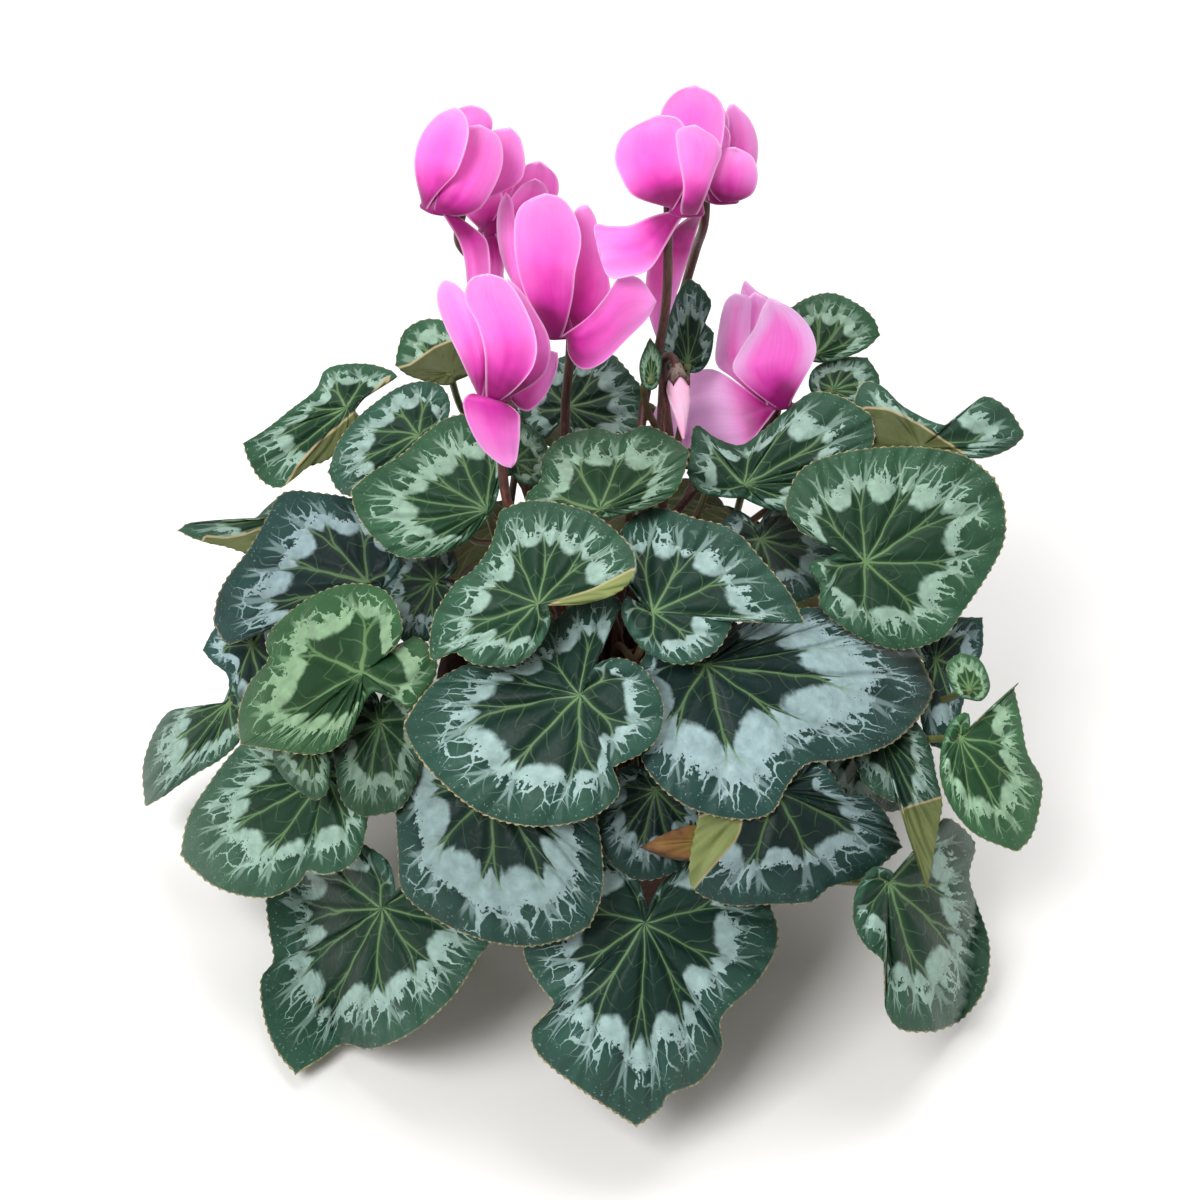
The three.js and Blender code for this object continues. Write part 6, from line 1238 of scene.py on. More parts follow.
def throw_pot(materials):
    """A plain thrown flower pot with a rounded rim and drain holes."""
    wide, out, top = POT["top"], POT["rim_out"], POT["height"]
    foot_at = top - POT["rim_height"]

    def wall(z):
        return POT["base"] + (wide - POT["base"]) * z / top

    narrow, joint = wall(0), wall(foot_at)
    profile = [[0, 0], [narrow - 5, 0], [narrow - 1.4, 0], [narrow - 0.4, 0.35], [narrow, 1.4],
        *([wall(z), z] for z in np.linspace(6, foot_at - 3, 22)),
        [joint - 0.5, foot_at - 1.2], [joint + 0.2, foot_at - 0.4], [joint + out * 0.7, foot_at],
        [joint + out, foot_at + 1.2],
        *([joint + out + (wide - joint) * s, foot_at + 1.2 + s * (POT["rim_height"] - 3.2)]
            for s in np.linspace(0.15, 1, 6)),
        [wide + out - 0.3, top - 0.8], [wide + out - 1.1, top - 0.15], [wide + 0.6, top],
        [wide - 0.6, top - 0.1], [pot_inside(top) + 0.3, top - 0.9],
        *([pot_inside(z), z] for z in np.linspace(top - 2.5, POT["floor"] + 2, 12)),
        [pot_inside(POT["floor"]) - 1.5, POT["floor"]], [0, POT["floor"]]]
    shell = Shell()
    shell.add(*lathe_shell(profile, 120))
    made = shell.finished("pot_thrown", materials, "pot")
    for hole in range(4):
        drill = Shell()
        drill.add(*lathe_shell([[0, -6], [4, -6], [4, 12], [0, 12]], 24, 30 * compass(90 * hole + 45)))
        cutter = drill.finished("drill", materials)
        cut = made.modifiers.new("drain_hole", "BOOLEAN")
        cut.operation, cut.solver, cut.object = "DIFFERENCE", "EXACT", cutter
        bpy.context.view_layer.objects.active = made
        bpy.ops.object.modifier_apply(modifier=cut.name)
        bpy.data.objects.remove(cutter)


def linear(code):
    """An sRGB colour such as "#336644" as linear values."""
    shares = [int(code[start:start + 2], 16) / 255 for start in (1, 3, 5)]
    return tuple(s / 12.92 if s <= 0.04045 else ((s + 0.055) / 1.055) ** 2.4 for s in shares)


def put(tree, kind, inputs=(), operation=None, stops=None, **settings):
    """Adds a node with its settings. Inputs, in order or by name, are values to set or sockets to link.

    A node given as an input links its first output. Only the sockets that the settings leave in use count.
    """
    made = tree.nodes.new(f"ShaderNode{kind}")
    if operation:
        made.operation = operation
    for setting, value in settings.items():
        setattr(made, setting, value)
    if stops:
        points = made.color_ramp.elements
        points[1].position = stops[-1][0]
        points[0].position = stops[0][0]
        for place, _ in stops[1:-1]:
            points.new(place)
        for point, (_, colour) in zip(points, stops):
            point.color = (*colour, 1)
    if isinstance(inputs, dict):
        given = [(made.inputs[name], value) for name, value in inputs.items()]
    else:
        given = zip([socket for socket in made.inputs if socket.enabled], inputs)
    for socket, value in given:
        if isinstance(value, bpy.types.Node):
            value = next(output for output in value.outputs if output.enabled)
        if isinstance(value, bpy.types.NodeSocket):
            tree.links.new(value, socket)
        elif socket.type == "RGBA" and len(value) == 3:
            socket.default_value = (*value, 1)
        else:
            socket.default_value = value
    return made


SMOOTH = dict(interpolation_type="SMOOTHSTEP")
COLOURS = dict(data_type="RGBA")


def new_material(name):
    """A material, what adds nodes to it, and the place on the piece in millimetres."""
    material = bpy.data.materials.new(name)
    material.use_nodes = True
    add = functools.partial(put, material.node_tree)
    here = add("TexCoord").outputs["Object"]
    return material, add, add("VectorMath", [here, (1 / MM, 1 / MM, 1 / MM)], "MULTIPLY")


def stored(add, name):
    """The three values that the mesh holds under a name."""
    return add("SeparateXYZ", [add("Attribute", attribute_name=name).outputs["Vector"]]).outputs


def dressed(material, colour, relief=None, **constants):
    """The material with its colour, its relief (height, depth in millimetres, strength) and its constants."""
    tree = material.node_tree
    skin = tree.nodes["Principled BSDF"]
    sources = {"Base Color": colour}
    if relief:
        height, depth, strength = relief
        bump = {"Height": height, "Distance": depth * MM, "Strength": strength}
        sources["Normal"] = put(tree, "Bump", bump)
    for name, source in sources.items():
        tree.links.new(next(output for output in source.outputs if output.enabled), skin.inputs[name])
    for name, value in constants.items():
        skin.inputs[name.replace("_", " ")].default_value = value
    return material


def leaf_upper(tints):
    """Living leaf blade, upper side: a waxy skin, so the gloss is soft and low. The pattern is air under the
    skin, which gives the silver its papery grey, and the veins are sunk and yellow-green. Each leaf's colour
    is darkened or lightened by its light: painted shade and painted light."""
    material, add, flat_place = new_material("leaf upper side")
    silver_in, silver_out, rho = stored(add, "pattern")
    # Each leaf's light is painted shade or painted light: its whole colour is darkened for a leaf in shade
    # and lightened for one in light.
    blue, light, seed = stored(add, "look")
    tips, turned, under_light = stored(add, "edges")
    across, fork = add("SeparateXYZ", [add("UVMap", uv_map="veins")]).outputs[:2]
    place = add("VectorMath", [flat_place, seed], "ADD")
    polar = add("UVMap", uv_map="polar")
    streaked = add("VectorMath", [polar, (1 / 4.4, 1 / 11, 0), seed], "MULTIPLY_ADD")

    # Noise by size: 22 mm patches, 14 mm wander of the veins, 4 mm blotches, 1.1 mm specks, radial streaks.
    patches = add("TexNoise", [place, 1 / 22, 2])
    wander = add("TexNoise", [place, 1 / 14, 1])
    blotch = add("TexNoise", [place, 1 / 4, 3])
    specks = add("TexNoise", [place, 1 / 1.1, 2])
    streaks = add("TexNoise", [streaked, 1, 2, 0.6])
    net = add("TexVoronoi", [place, 1 / 3.4], feature="DISTANCE_TO_EDGE")
    forks_at = add("VectorMath", [polar, (1 / 6.5, 1 / 14, 0), seed], "MULTIPLY_ADD")
    forks_bent = add("VectorMath", [blotch.outputs["Color"], (0.5, 0.5, 0), forks_at], "MULTIPLY_ADD")
    forks = add("TexVoronoi", [forks_bent, 1], feature="DISTANCE_TO_EDGE")

    # How far it is from the main veins and their forks, and how much of a vein shows.
    bent = add("Math", [across, add("MapRange", [wander, 0.3, 0.7, -0.6, 0.6])], "ADD")
    off_fork = add("Math", [add("Math", [bent], "ABSOLUTE"), fork], "SUBTRACT")
    main = add("Math", [off_fork], "ABSOLUTE")
    nearest = add("Math", [add("Math", [main, tips], "SUBTRACT")], "ABSOLUTE")
    wide = tints.vein_width / MM
    thinning = add("MapRange", [rho, 0, 1, wide, wide * 0.3])
    vein_out = add("MapRange", [rho, 0.55, 0.72], **SMOOTH)
    run_width = add("MapRange", [silver_out, -0.2, 0, 0, 0.65])
    vein_width = add("Math", [vein_out, run_width, thinning], "MULTIPLY_ADD")
    vein_share = add("Math", [nearest, vein_width], "DIVIDE")
    vein = add("MapRange", [vein_share, 0.5, 1.5, 1, 0], **SMOOTH)

    # The silver ring, blotched at its inner edge and frayed into specks and streaks at its outer one.
    blotched = add("MapRange", [blotch, 0.3, 0.7, -0.014, 0.014])
    inside = add("MapRange", [add("Math", [silver_in, blotched], "ADD"), -0.02, 0.035], **SMOOTH)
    streak = add("MapRange", [streaks, 0.42, 0.7, -0.045, 0.055], **SMOOTH)
    outer_edge = add("Math", [silver_out, streak], "ADD")
    within = add("MapRange", [outer_edge, -0.01, 0.01], **SMOOTH)
    frayed = add("MapRange", [outer_edge, 0, 0.12, 0.42, 0.02])
    whole = add("MapRange", [add("Math", [specks, frayed], "SUBTRACT"), 0.06, 0.11], **SMOOTH)
    torn = add("Math", [add("Math", [inside, within], "MULTIPLY"), whole], "MULTIPLY")

    # Thin forked silver lines run on from the ring towards the edge.
    fork_width = add("MapRange", [silver_out, -0.2, 0.02, 0, 0.075])
    fork_line = add("MapRange", [add("Math", [fork_width, forks], "SUBTRACT"), 0, 0.02], **SMOOTH)
    fork_here = add("Math", [fork_line, add("MapRange", [patches, 0.4, 0.47], **SMOOTH)], "MULTIPLY")
    silver = add("Math", [torn, add("Math", [fork_here, inside], "MULTIPLY")], "MAXIMUM")

    centre_tint = add("Mix", [blue, tints.centre_green, tints.centre_blue], **COLOURS)
    silver_tint = add("Mix", [blue, tints.silver_green, tints.silver_blue], **COLOURS)
    margin_tint = add("Mix", [blue, tints.margin_green, tints.margin_blue], **COLOURS)
    outside = add("MapRange", [silver_out, 0.1, -0.05], **SMOOTH)
    body = add("Mix", [outside, centre_tint, margin_tint], **COLOURS)
    patch = add("MapRange", [patches, 0.3, 0.7, 0.82, 1.2])
    varied = add("HueSaturation", {"Value": patch, "Color": body})
    papery = add("MapRange", [blotch, 0.3, 0.7, 0.82, 1.15])
    silvered = add("HueSaturation", {"Value": papery, "Color": silver_tint})
    blade = add("Mix", [silver, varied, silvered], **COLOURS)

    # Veins are yellow-green near the stalk, and thin silver lines between the silver and the edge.
    vein_tint = add("Mix", [vein_out, tints.vein, silver_tint], **COLOURS)
    vein_ends = add("MapRange", [rho, 0.82, 0.93, 1, 0], **SMOOTH)
    vein_seen = add("Math", [vein, add("MapRange", [rho, 0.1, 0.75, 0.9, 0.5])], "MULTIPLY")
    vein_mask = add("Math", [vein_seen, vein_ends], "MULTIPLY")
    glow = add("MapRange", [main, 0.3, 2.6, 0.16, 0], **SMOOTH)
    glow_seen = add("Math", [glow, add("MapRange", [rho, 0.15, 0.65, 1, 0.2])], "MULTIPLY")
    glowing = add("Mix", [glow_seen, blade, tints.vein], **COLOURS)
    veined = add("Mix", [vein_mask, glowing, vein_tint], **COLOURS)
    # Side veins leave the main ones every 9 mm and fade out within 9 mm.
    outward_mm = add("SeparateXYZ", [polar]).outputs["Y"]
    climb = add("Math", [main, -1, outward_mm], "MULTIPLY_ADD")
    rung = add("Math", [add("Math", [wander, 14, climb], "MULTIPLY_ADD"), 4.5], "PINGPONG")
    rung_line = add("MapRange", [rung, 0.1, 0.38, 1, 0], **SMOOTH)
    rung_seen = add("Math", [rung_line, add("MapRange", [main, 0, 9, 0.45, 0])], "MULTIPLY")
    netted = add("Mix", [add("Math", [rung_seen, vein_ends], "MULTIPLY"), veined, vein_tint], **COLOURS)

    # Pale glands inside the edge, then the dry tan rim of the teeth.
    gland_band = add("MapRange", [rho, 0.85, 0.9], **SMOOTH)
    gland_spots = add("MapRange", [specks, 0.65, 0.71, 0, 0.5], **SMOOTH)
    dotted = add("Mix", [add("Math", [gland_band, gland_spots], "MULTIPLY"), netted, silver_tint], **COLOURS)
    rim = add("MapRange", [rho, 0.98, 0.996], **SMOOTH)
    toothed = add("MapRange", [specks, 0.42, 0.58, 0.3, 1], **SMOOTH)
    rimmed = add("Mix", [add("Math", [rim, toothed], "MULTIPLY"), dotted, tints.rim], **COLOURS)

    # The underside where the blade is turned over, with its patches and its painted shade or light, and the
    # pale line of the fold.
    under_patches_and_painted_light = add("Math", [patch, under_light], "MULTIPLY")
    under = add("HueSaturation", {"Value": under_patches_and_painted_light, "Color": tints.underside})
    turned_over = add("Mix", [add("MapRange", [turned, -0.35, 0.35], **SMOOTH), rimmed, under], **COLOURS)
    from_fold = add("Math", [turned], "ABSOLUTE")
    fold = add("MapRange", [from_fold, 0.15, 0.7, 0.8, 0], **SMOOTH)
    sides = add("Mix", [fold, turned_over, tints.rim], **COLOURS)
    # Painted shade and light: the leaf's whole colour, underside too, is darkened or lightened by its light.
    painted_shade_and_light = add("HueSaturation", {"Value": light, "Color": sides})

    puffed = add("MapRange", [nearest, 0, 4.5, -1, 0.6], interpolation_type="SMOOTHERSTEP")
    lines = add("Math", [puffed, add("MapRange", [net, 0, 0.3, -0.22, 0])], "ADD")
    grain = add("Math", [specks, 0.12, lines], "MULTIPLY_ADD")
    return dressed(material, painted_shade_and_light, (grain, 0.55, 0.7), Roughness=0.5, Specular_IOR_Level=0.18)


def leaf_under(tints):
    """Living leaf blade, underside: matt, olive to dull red-brown, with the veins standing out pale."""
    material, add, place = new_material("leaf underside")
    across, fork = add("SeparateXYZ", [add("UVMap", uv_map="veins")]).outputs[:2]
    patches = add("TexNoise", [place, 1 / 25, 3])
    net = add("TexVoronoi", [place, 1 / 3.4], feature="DISTANCE_TO_EDGE")
    off_fork = add("Math", [add("Math", [across], "ABSOLUTE"), fork], "SUBTRACT")
    vein = add("MapRange", [add("Math", [off_fork], "ABSOLUTE"), 0.4, 1.2, 1, 0], **SMOOTH)
    reddish = add("MapRange", [patches, 0.42, 0.62], **SMOOTH)
    body = add("Mix", [reddish, tints.underside, tints.underside_red], **COLOURS)
    faint = add("Math", [vein, 0.5], "MULTIPLY")
    veined = add("Mix", [faint, body, tints.underside_vein], **COLOURS)
    lines = add("Math", [vein, add("MapRange", [net, 0, 0.25, 0.6, 0])], "ADD")
    return dressed(material, veined, (lines, 0.4, 0.8), Roughness=0.6, Specular_IOR_Level=0.3)


def leaf_stalk(tints):
    """Leaf stalk: fleshy and smooth, red-brown low down and green towards the blade."""
    material, add, place = new_material("leaf stalk")
    patches = add("TexNoise", [place, 1 / 11.11, 3])
    mottled = add("MapRange", [patches, 0.3, 0.7, -0.25, 0.25])
    greener = add("Math", [stored(add, "stalk")[0], mottled], "ADD")
    tint = add("ValToRGB", [greener], stops=(
        (0, tints.stalk_low), (0.55, tints.stalk_middle), (1, tints.stalk_high),
    ))
    return dressed(material, tint, Roughness=0.45)


def leaf_withered(tints):
    """Withered leaf: dry, thin and matt, yellow going to brown from its edge."""
    material, add, place = new_material("withered leaf")
    patches = add("TexNoise", [place, 1 / 9.09, 4])
    shift = add("MapRange", [patches, 0.3, 0.7, -0.3, 0.3])
    dried = add("Math", [stored(add, "pattern")[2], shift], "ADD")
    tint = add("ValToRGB", [dried], stops=(
        (0.1, tints.withered_yellow), (0.75, tints.withered_orange), (1, tints.withered_brown),
    ))
    return dressed(material, tint, (patches, 1.2, 0.9), Roughness=0.75)


def petal_flesh(tints, name="petal", pale=False):
    """Petal: thin wet cells under a velvety skin, so light goes a little way in, darker at its base."""
    material, add, place = new_material(name)
    across, out, edge = stored(add, "petal")
    paler, washed_and_lit, seed = stored(add, "look")
    # Fine veins run along the petal, about 30 across it, and 0.25 of its length between their changes.
    lengthwise = add("CombineXYZ", [across, out, seed])
    veins = add("TexNoise", [add("VectorMath", [lengthwise, (15, 2.2, 1)], "MULTIPLY"), 1, 3])
    patches = add("TexNoise", [place, 1 / 14.29, 2])
    along = add("Math", [out, add("MapRange", [patches, 0.3, 0.7, -0.07, 0.07])], "ADD")
    if pale:
        stops = ((0, tints.bud_high), (0.5, tints.bud_middle), (1, tints.bud_tip))
    else:
        stops = ((0, tints.petal_mouth), (0.16, tints.petal_mouth), (0.27, tints.petal_base),
            (0.47, tints.petal_middle), (1, tints.petal_tip))
    run = add("ValToRGB", [along], stops=stops)
    bleached = add("MapRange", [edge, 0, 11, 1, 0], **SMOOTH)
    # washed pales the whole petal: its own paleness, and for a petal that lies in shade also painted light.
    bleached_most = add("Math", [bleached, washed_and_lit], "MAXIMUM")
    far_edge = add("Math", [add("MapRange", [out, 0.15, 0.45], **SMOOTH), bleached_most], "MULTIPLY")
    paleness = add("Math", [paler, far_edge], "MULTIPLY")
    toned = add("Mix", [paleness, run, tints.petal_pale], **COLOURS)
    vein_light = add("MapRange", [veins, 0.3, 0.7, 0.95, 1.04])
    veined = add("HueSaturation", {"Value": vein_light, "Color": toned})
    side = add("MapRange", [edge, 0, 1.2, 0.45, 0], **SMOOTH)
    rimmed = add("Mix", [side, veined, tints.petal_rim], **COLOURS)
    return dressed(material, rimmed, (veins, 0.25, 0.2), Roughness=0.5, Specular_IOR_Level=0.3,
        Sheen_Weight=0.25, Sheen_Roughness=0.4, Subsurface_Weight=0.4, Subsurface_Radius=(1, 0.35, 0.7),
        Subsurface_Scale=2.5 * MM)


def flower_stem(tints):
    """Flower stem: fleshy, maroon-brown, with a faint bloom of fine hairs that lightens its edges."""
    material, add, place = new_material("flower stem")
    stretched = add("VectorMath", [place, (1 / 1.111, 1 / 1.111, 1 / 8.333)], "MULTIPLY")
    fibres = add("TexNoise", [stretched, 1, 3])
    tint = add("ValToRGB", [fibres], stops=(
        (0.35, tints.stem_dark), (0.55, tints.stem), (0.75, tints.stem_light),
    ))
    return dressed(material, tint, (fibres, 0.2, 0.6), Roughness=0.5, Sheen_Weight=0.1)


def calyx_skin(tints):
    """Sepals: dry and matt, grey-brown with dark tips."""
    material, add, place = new_material("sepals")
    patches = add("TexNoise", [place, 1 / 1.429, 3])
    shift = add("MapRange", [patches, 0.3, 0.7, -0.25, 0.25])
    along = add("Math", [stored(add, "stalk")[0], shift], "ADD")
    tint = add("ValToRGB", [along], stops=((0, tints.stem), (0.35, tints.sepal), (0.95, tints.stem_dark)))
    return dressed(material, tint, Roughness=0.65)


def cork(tints):
    """Tuber: dry cork bark, matt, cracked in small plates that are darker in the cracks."""
    material, add, place = new_material("tuber cork")
    plates = add("TexVoronoi", [place, 1 / 4.5], feature="DISTANCE_TO_EDGE")
    grit = add("TexNoise", [place, 1 / 1.5, 5])
    height = add("Math", [grit, 0.6, add("MapRange", [plates, 0, 0.16])], "MULTIPLY_ADD")
    tint = add("ValToRGB", [add("MapRange", [height, 0.2, 1.4])], stops=(
        (0, tints.cork_dark), (0.6, tints.cork), (1, tints.cork_light),
    ))
    return dressed(material, tint, (height, 0.8, 0.9), Roughness=0.85)


def peat(tints, name="peat soil", chips=False):
    """Potting soil: damp peat, nearly black and matt, with lighter bits of bark."""
    material, add, place = new_material(name)
    grit = add("TexNoise", [place, 1 / 1.2, 6, 0.65])
    low, high = (tints.bark, tints.bark_light) if chips else (tints.soil, tints.soil_light)
    tint = add("ValToRGB", [grit], stops=((0.4, low), (0.75, high)))
    return dressed(material, tint, (grit, 1, 1), Roughness=0.9, Specular_IOR_Level=0.25)


def terracotta(tints):
    """Unglazed terracotta, thrown and fired: matt, with fine grit, throwing rings and pale mineral bloom. Its
    clay is painted a very dark brown, as painted shade where the pot shows between the leaves.
    """
    material, add, place = new_material("thrown terracotta")
    rings = add("TexNoise", [add("VectorMath", [place, (1 / 50, 1 / 50, 1 / 2.2)], "MULTIPLY"), 1, 2])
    grit = add("TexNoise", [place, 1 / 0.9, 3])
    patches = add("TexNoise", [place, 1 / 28, 5, 0.6])
    salts = add("MapRange", [patches, 0.5, 0.72, 0, 0.45], **SMOOTH)
    fired = add("ValToRGB", [rings], stops=((0.3, tints.clay_dark), (0.7, tints.clay)))
    bloomed = add("Mix", [salts, fired, tints.clay_bloom], **COLOURS)
    height = add("Math", [grit, 0.35, rings], "MULTIPLY_ADD")
    return dressed(material, bloomed, (height, 0.5, 0.7), Roughness=0.8)


def tint(name, description, code):
    return FloatVectorProperty(
        name=name, description=description, default=linear(code), subtype="COLOR", size=3, min=0, max=1,
    )


def length(name, description, millimetres):
    return FloatProperty(name=name, description=description, default=millimetres * MM, unit="LENGTH", min=0)


class CyclamenSizes(bpy.types.PropertyGroup):
    blade_step: length("Blade step", "Spacing of the stations round a leaf's edge", 1.75)
    blade_thickness: length("Blade thickness", "Thickness of a leaf at its stalk", 0.9)
    tooth: length("Tooth", "Depth of the teeth along a leaf's edge", 0.7)
    wave: length("Edge wave", "How far a leaf's edge waves up and down", 1.0)
    quilt: length("Quilting", "How far the blade puffs up between its veins", 1.5)
    stalk_radius: length("Stalk radius", "Radius of the leaf stalks", 1.5)
    petal_thickness: length("Petal thickness", "Thickness of a petal at its base", 0.9)
    petal_wave: FloatProperty(
        name="Petal wave", description="How strongly the petals ruffle and curl", default=1.0, min=0, max=3,
    )
    stem_radius: length("Stem radius", "Radius of the flower stems", 1.9)
    soil_crumbs: IntProperty(
        name="Crumbs", description="Number of loose crumbs on the soil", default=420, min=0,
    )
    floor_width: length("Floor width", "Width of the pale floor", 6000)


class CyclamenTints(bpy.types.PropertyGroup):
    centre_green: tint("Centre, green leaf", "Middle of a green leaf", "#1e4023")
    centre_blue: tint("Centre, blue leaf", "Middle of a blue-green leaf", "#152c2b")
    silver_green: tint("Silver, green leaf", "Silver ring of a green leaf", "#88a985")
    silver_blue: tint("Silver, blue leaf", "Silver ring of a blue-green leaf", "#a5bfc3")
    margin_green: tint("Edge, green leaf", "Outer part of a green leaf", "#355c39")
    margin_blue: tint("Edge, blue leaf", "Outer part of a blue-green leaf", "#2c4d48")
    vein: tint("Veins", "Veins on the upper side", "#6a8c5c")
    rim: tint("Rim", "Dry rim of the teeth", "#b9a77e")
    vein_width: length("Vein width", "Half width of the main veins at the stalk", 0.55)
    underside: tint("Underside", "Green of the leaves' undersides", "#6b7545")
    underside_red: tint("Underside, red", "Red-brown patches of the undersides", "#6d6143")
    underside_vein: tint("Underside veins", "Veins of the undersides", "#8f9a68")
    stalk_low: tint("Stalk, low", "Leaf stalk at the tuber", "#41261d")
    stalk_middle: tint("Stalk, middle", "Leaf stalk half way up", "#523a26")
    stalk_high: tint("Stalk, high", "Leaf stalk at the blade", "#5e683a")
    withered_yellow: tint("Withered, yellow", "Middle of the withered leaf", "#7d6a30")
    withered_orange: tint("Withered, orange", "Outer part of the withered leaf", "#6e481d")
    withered_brown: tint("Withered, brown", "Edge of the withered leaf", "#3f2713")
    petal_mouth: tint("Petal, mouth", "Petals at the dark mouth", "#8f0468")
    petal_base: tint("Petal, base", "Petals just past the mouth", "#cf2ba4")
    petal_middle: tint("Petal, middle", "Middle of the petals", "#fb5ecb")
    petal_tip: tint("Petal, tip", "Ends of the petals", "#fd93dd")
    petal_pale: tint("Petal, pale", "Ends of the paler blooms' petals", "#ffc6f6")
    petal_rim: tint("Petal rim", "Thin pale rim of the petals", "#fcd3f1")
    bud_high: tint("Bud, top", "Bud at its sepals", "#f4b7d4")
    bud_middle: tint("Bud, middle", "Middle of the bud", "#f9c6e2")
    bud_tip: tint("Bud, tip", "Point of the bud", "#eea0c8")
    stem: tint("Stem", "Flower stems", "#4c231b")
    stem_dark: tint("Stem, dark", "Dark streaks of the stems", "#38190f")
    stem_light: tint("Stem, light", "Light streaks of the stems", "#74402f")
    sepal: tint("Sepals", "Sepals of blooms and bud", "#8b7a70")
    cork: tint("Cork", "Tuber", "#6b523d")
    cork_dark: tint("Cork, dark", "Cracks of the tuber", "#2f2118")
    cork_light: tint("Cork, light", "Raised plates of the tuber", "#8d745a")
    soil: tint("Soil", "Damp peat", "#1e1611")
    soil_light: tint("Soil, light", "Drier grains of peat", "#4a382b")
    bark: tint("Bark", "Bits of bark", "#4b3322")
    bark_light: tint("Bark, light", "Light faces of the bark", "#86664a")
    # The clay colours are a far darker brown than fired clay: painted shade, so that the pot seen between the
    # leaves looks like the shade there.
    clay: tint("Clay", "Fired clay of the pot", "#4d342b")
    clay_dark: tint("Clay, dark", "Darker rings of the pot", "#3c2821")
    clay_bloom: tint("Clay bloom", "Pale minerals on the pot", "#6f5a4e")
    floor: tint("Floor", "Pale floor", "#f4f3f1")


class CYCLAMEN_OT_leaves(bpy.types.Operator):
    """Grow the leaves on their stalks"""
    bl_idname = "cyclamen.leaves"
    bl_label = "Leaves"
    bl_options = {"REGISTER", "UNDO"}

    def execute(self, context):
        tints = context.scene.cyclamen_tints
        materials = [leaf_upper(tints), leaf_under(tints), leaf_stalk(tints), leaf_withered(tints)]
        for leaf in ALL_LEAVES:
            if leaf["name"] not in SHARED:
                grow_leaf(leaf, context.scene.cyclamen_sizes, materials)
        return {"FINISHED"}


class CYCLAMEN_OT_blooms(bpy.types.Operator):
    """Grow the blooms"""
    bl_idname = "cyclamen.blooms"
    bl_label = "Blooms"
    bl_options = {"REGISTER", "UNDO"}

    def execute(self, context):
        materials = [petal_flesh(context.scene.cyclamen_tints)]
        for bloom in BLOOMS:
            grow_bloom(bloom, context.scene.cyclamen_sizes, materials)
        return {"FINISHED"}


class CYCLAMEN_OT_flower_stems(bpy.types.Operator):
    """Grow the hooked flower stems with their sepals"""
    bl_idname = "cyclamen.flower_stems"
    bl_label = "Flower stems"
    bl_options = {"REGISTER", "UNDO"}

    def execute(self, context):
        tints = context.scene.cyclamen_tints
        materials = [flower_stem(tints), calyx_skin(tints)]
        for flower in FLOWERS:
            grow_stem(flower, context.scene.cyclamen_sizes, materials)
        return {"FINISHED"}


class CYCLAMEN_OT_bud(bpy.types.Operator):
    """Grow the bud"""
    bl_idname = "cyclamen.bud"
    bl_label = "Bud"
    bl_options = {"REGISTER", "UNDO"}

    def execute(self, context):
        grow_bud([petal_flesh(context.scene.cyclamen_tints, "bud petals", pale=True)])
        return {"FINISHED"}


class CYCLAMEN_OT_tuber(bpy.types.Operator):
    """Grow the corky tuber"""
    bl_idname = "cyclamen.tuber"
    bl_label = "Tuber"
    bl_options = {"REGISTER", "UNDO"}

    def execute(self, context):
        grow_tuber([cork(context.scene.cyclamen_tints)])
        return {"FINISHED"}


class CYCLAMEN_OT_soil(bpy.types.Operator):
    """Fill the pot with soil"""
    bl_idname = "cyclamen.soil"
    bl_label = "Soil"
    bl_options = {"REGISTER", "UNDO"}

    def execute(self, context):
        tints = context.scene.cyclamen_tints
        grow_soil(context.scene.cyclamen_sizes, [peat(tints), peat(tints, "bark chips", chips=True)])
        return {"FINISHED"}


class CYCLAMEN_OT_pot(bpy.types.Operator):
    """Throw the pot"""
    bl_idname = "cyclamen.pot"
    bl_label = "Pot"
    bl_options = {"REGISTER", "UNDO"}

    def execute(self, context):
        throw_pot([terracotta(context.scene.cyclamen_tints)])
        return {"FINISHED"}


def look_at(thing, place, target):
    """Puts a camera or light at a place in metres and turns it to look at another."""
    thing.location = place
    thing.rotation_euler = (Vector(target) - Vector(place)).to_track_quat("-Z", "Y").to_euler()
    bpy.context.collection.objects.link(thing)
    return thing


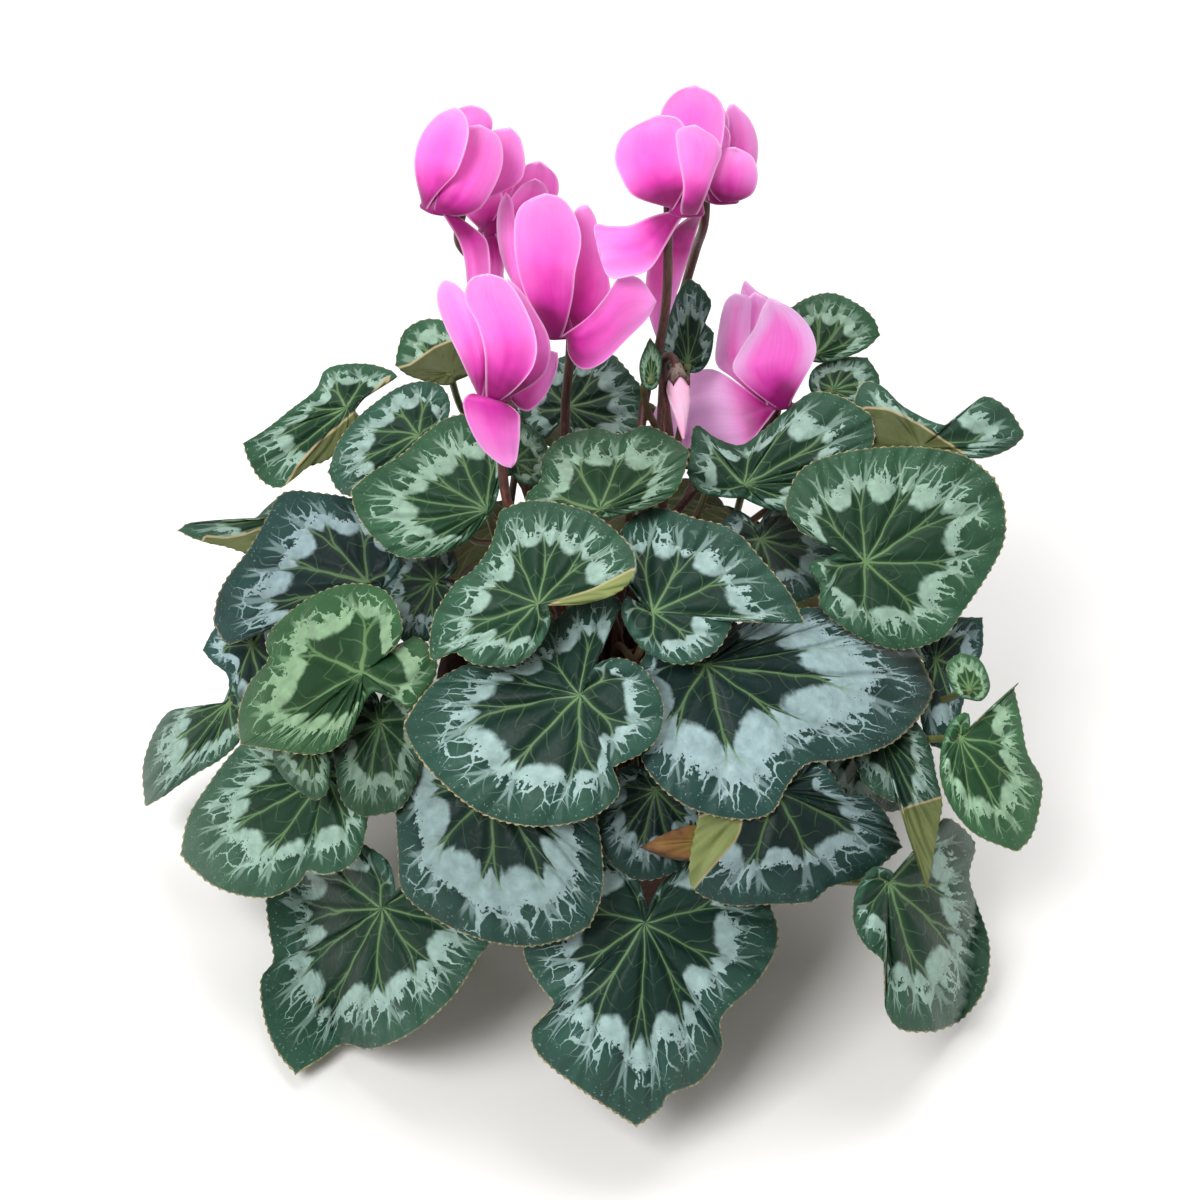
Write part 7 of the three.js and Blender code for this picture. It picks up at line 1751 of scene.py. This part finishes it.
class CYCLAMEN_OT_stage(bpy.types.Operator):
    """Lay the pale floor, hang the soft lights and set the camera where the plant is seen from"""
    bl_idname = "cyclamen.stage"
    bl_label = "Stage"
    bl_options = {"REGISTER", "UNDO"}

    def execute(self, context):
        half = context.scene.cyclamen_sizes.floor_width / 2
        corners = [(-half, -half, 0), (half, -half, 0), (half, half, 0), (-half, half, 0)]
        mesh = bpy.data.meshes.new("floor")
        mesh.from_pydata(corners, [], [(0, 1, 2, 3)])
        floor = bpy.data.objects.new("floor", mesh)
        context.collection.objects.link(floor)
        material = bpy.data.materials.new("matt paper")
        material.use_nodes = True
        paper = material.node_tree.nodes["Principled BSDF"].inputs
        paper["Base Color"].default_value = (*context.scene.cyclamen_tints.floor, 1)
        paper["Roughness"].default_value = 0.9
        mesh.materials.append(material)

        # Softboxes: above and a little in front, a weaker one from each side and one behind.
        for name, place, size, power in (
            ("key", (-0.7, -1.0, 1.6), 0.8, 30), ("top", (0.3, 0.5, 2.0), 1.3, 24),
            ("left", (-1.9, 0.1, 1.0), 1.4, 4), ("right", (1.9, -0.2, 1.0), 1.4, 3),
            ("back", (0.3, 1.9, 1.1), 1.4, 6),
        ):
            lamp = bpy.data.lights.new(name, "AREA")
            lamp.shape, lamp.size, lamp.energy = "SQUARE", size, power
            look_at(bpy.data.objects.new(name, lamp), place, (0, 0, 0.12))
        world = bpy.data.worlds.new("studio")
        world.use_nodes = True
        sky = world.node_tree.nodes["Background"].inputs
        sky["Color"].default_value = (1, 1, 1, 1)
        sky["Strength"].default_value = 0.3
        context.scene.world = world
        context.scene.view_settings.view_transform = "Standard"

        camera = bpy.data.cameras.new("camera")
        camera.sensor_width = 36
        camera.lens = camera.sensor_width * DISTANCE / PHOTO_WIDTH
        camera.clip_end = 50
        eye = (AIM + FRONT[2] * DISTANCE) * MM
        context.scene.camera = look_at(bpy.data.objects.new("camera", camera), tuple(eye), tuple(AIM * MM))
        return {"FINISHED"}


STEPS = (
    CYCLAMEN_OT_leaves, CYCLAMEN_OT_blooms, CYCLAMEN_OT_flower_stems, CYCLAMEN_OT_bud, CYCLAMEN_OT_tuber,
    CYCLAMEN_OT_soil, CYCLAMEN_OT_pot, CYCLAMEN_OT_stage,
)


class CYCLAMEN_PT_panel(bpy.types.Panel):
    """The plant's pieces, and the sizes and colours they are made with"""
    bl_label = "Potted Cyclamen"
    bl_idname = "CYCLAMEN_PT_panel"
    bl_space_type = "VIEW_3D"
    bl_region_type = "UI"
    bl_category = "Cyclamen"

    def draw(self, context):
        for step in STEPS:
            self.layout.operator(step.bl_idname)
        for group in (context.scene.cyclamen_sizes, context.scene.cyclamen_tints):
            column = self.layout.column()
            for name in group.__annotations__:
                column.prop(group, name)


CLASSES = (CyclamenSizes, CyclamenTints, *STEPS, CYCLAMEN_PT_panel)


def register():
    for kind in CLASSES:
        bpy.utils.register_class(kind)
    bpy.types.Scene.cyclamen_sizes = PointerProperty(type=CyclamenSizes)
    bpy.types.Scene.cyclamen_tints = PointerProperty(type=CyclamenTints)


def unregister():
    del bpy.types.Scene.cyclamen_tints
    del bpy.types.Scene.cyclamen_sizes
    for kind in reversed(CLASSES):
        bpy.utils.unregister_class(kind)


def main():
    register()
    bpy.ops.cyclamen.leaves()
    bpy.ops.cyclamen.blooms()
    bpy.ops.cyclamen.flower_stems()
    bpy.ops.cyclamen.bud()
    bpy.ops.cyclamen.tuber()
    bpy.ops.cyclamen.soil()
    bpy.ops.cyclamen.pot()
    bpy.ops.cyclamen.stage()
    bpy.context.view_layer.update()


if __name__ == "__main__":
    main()
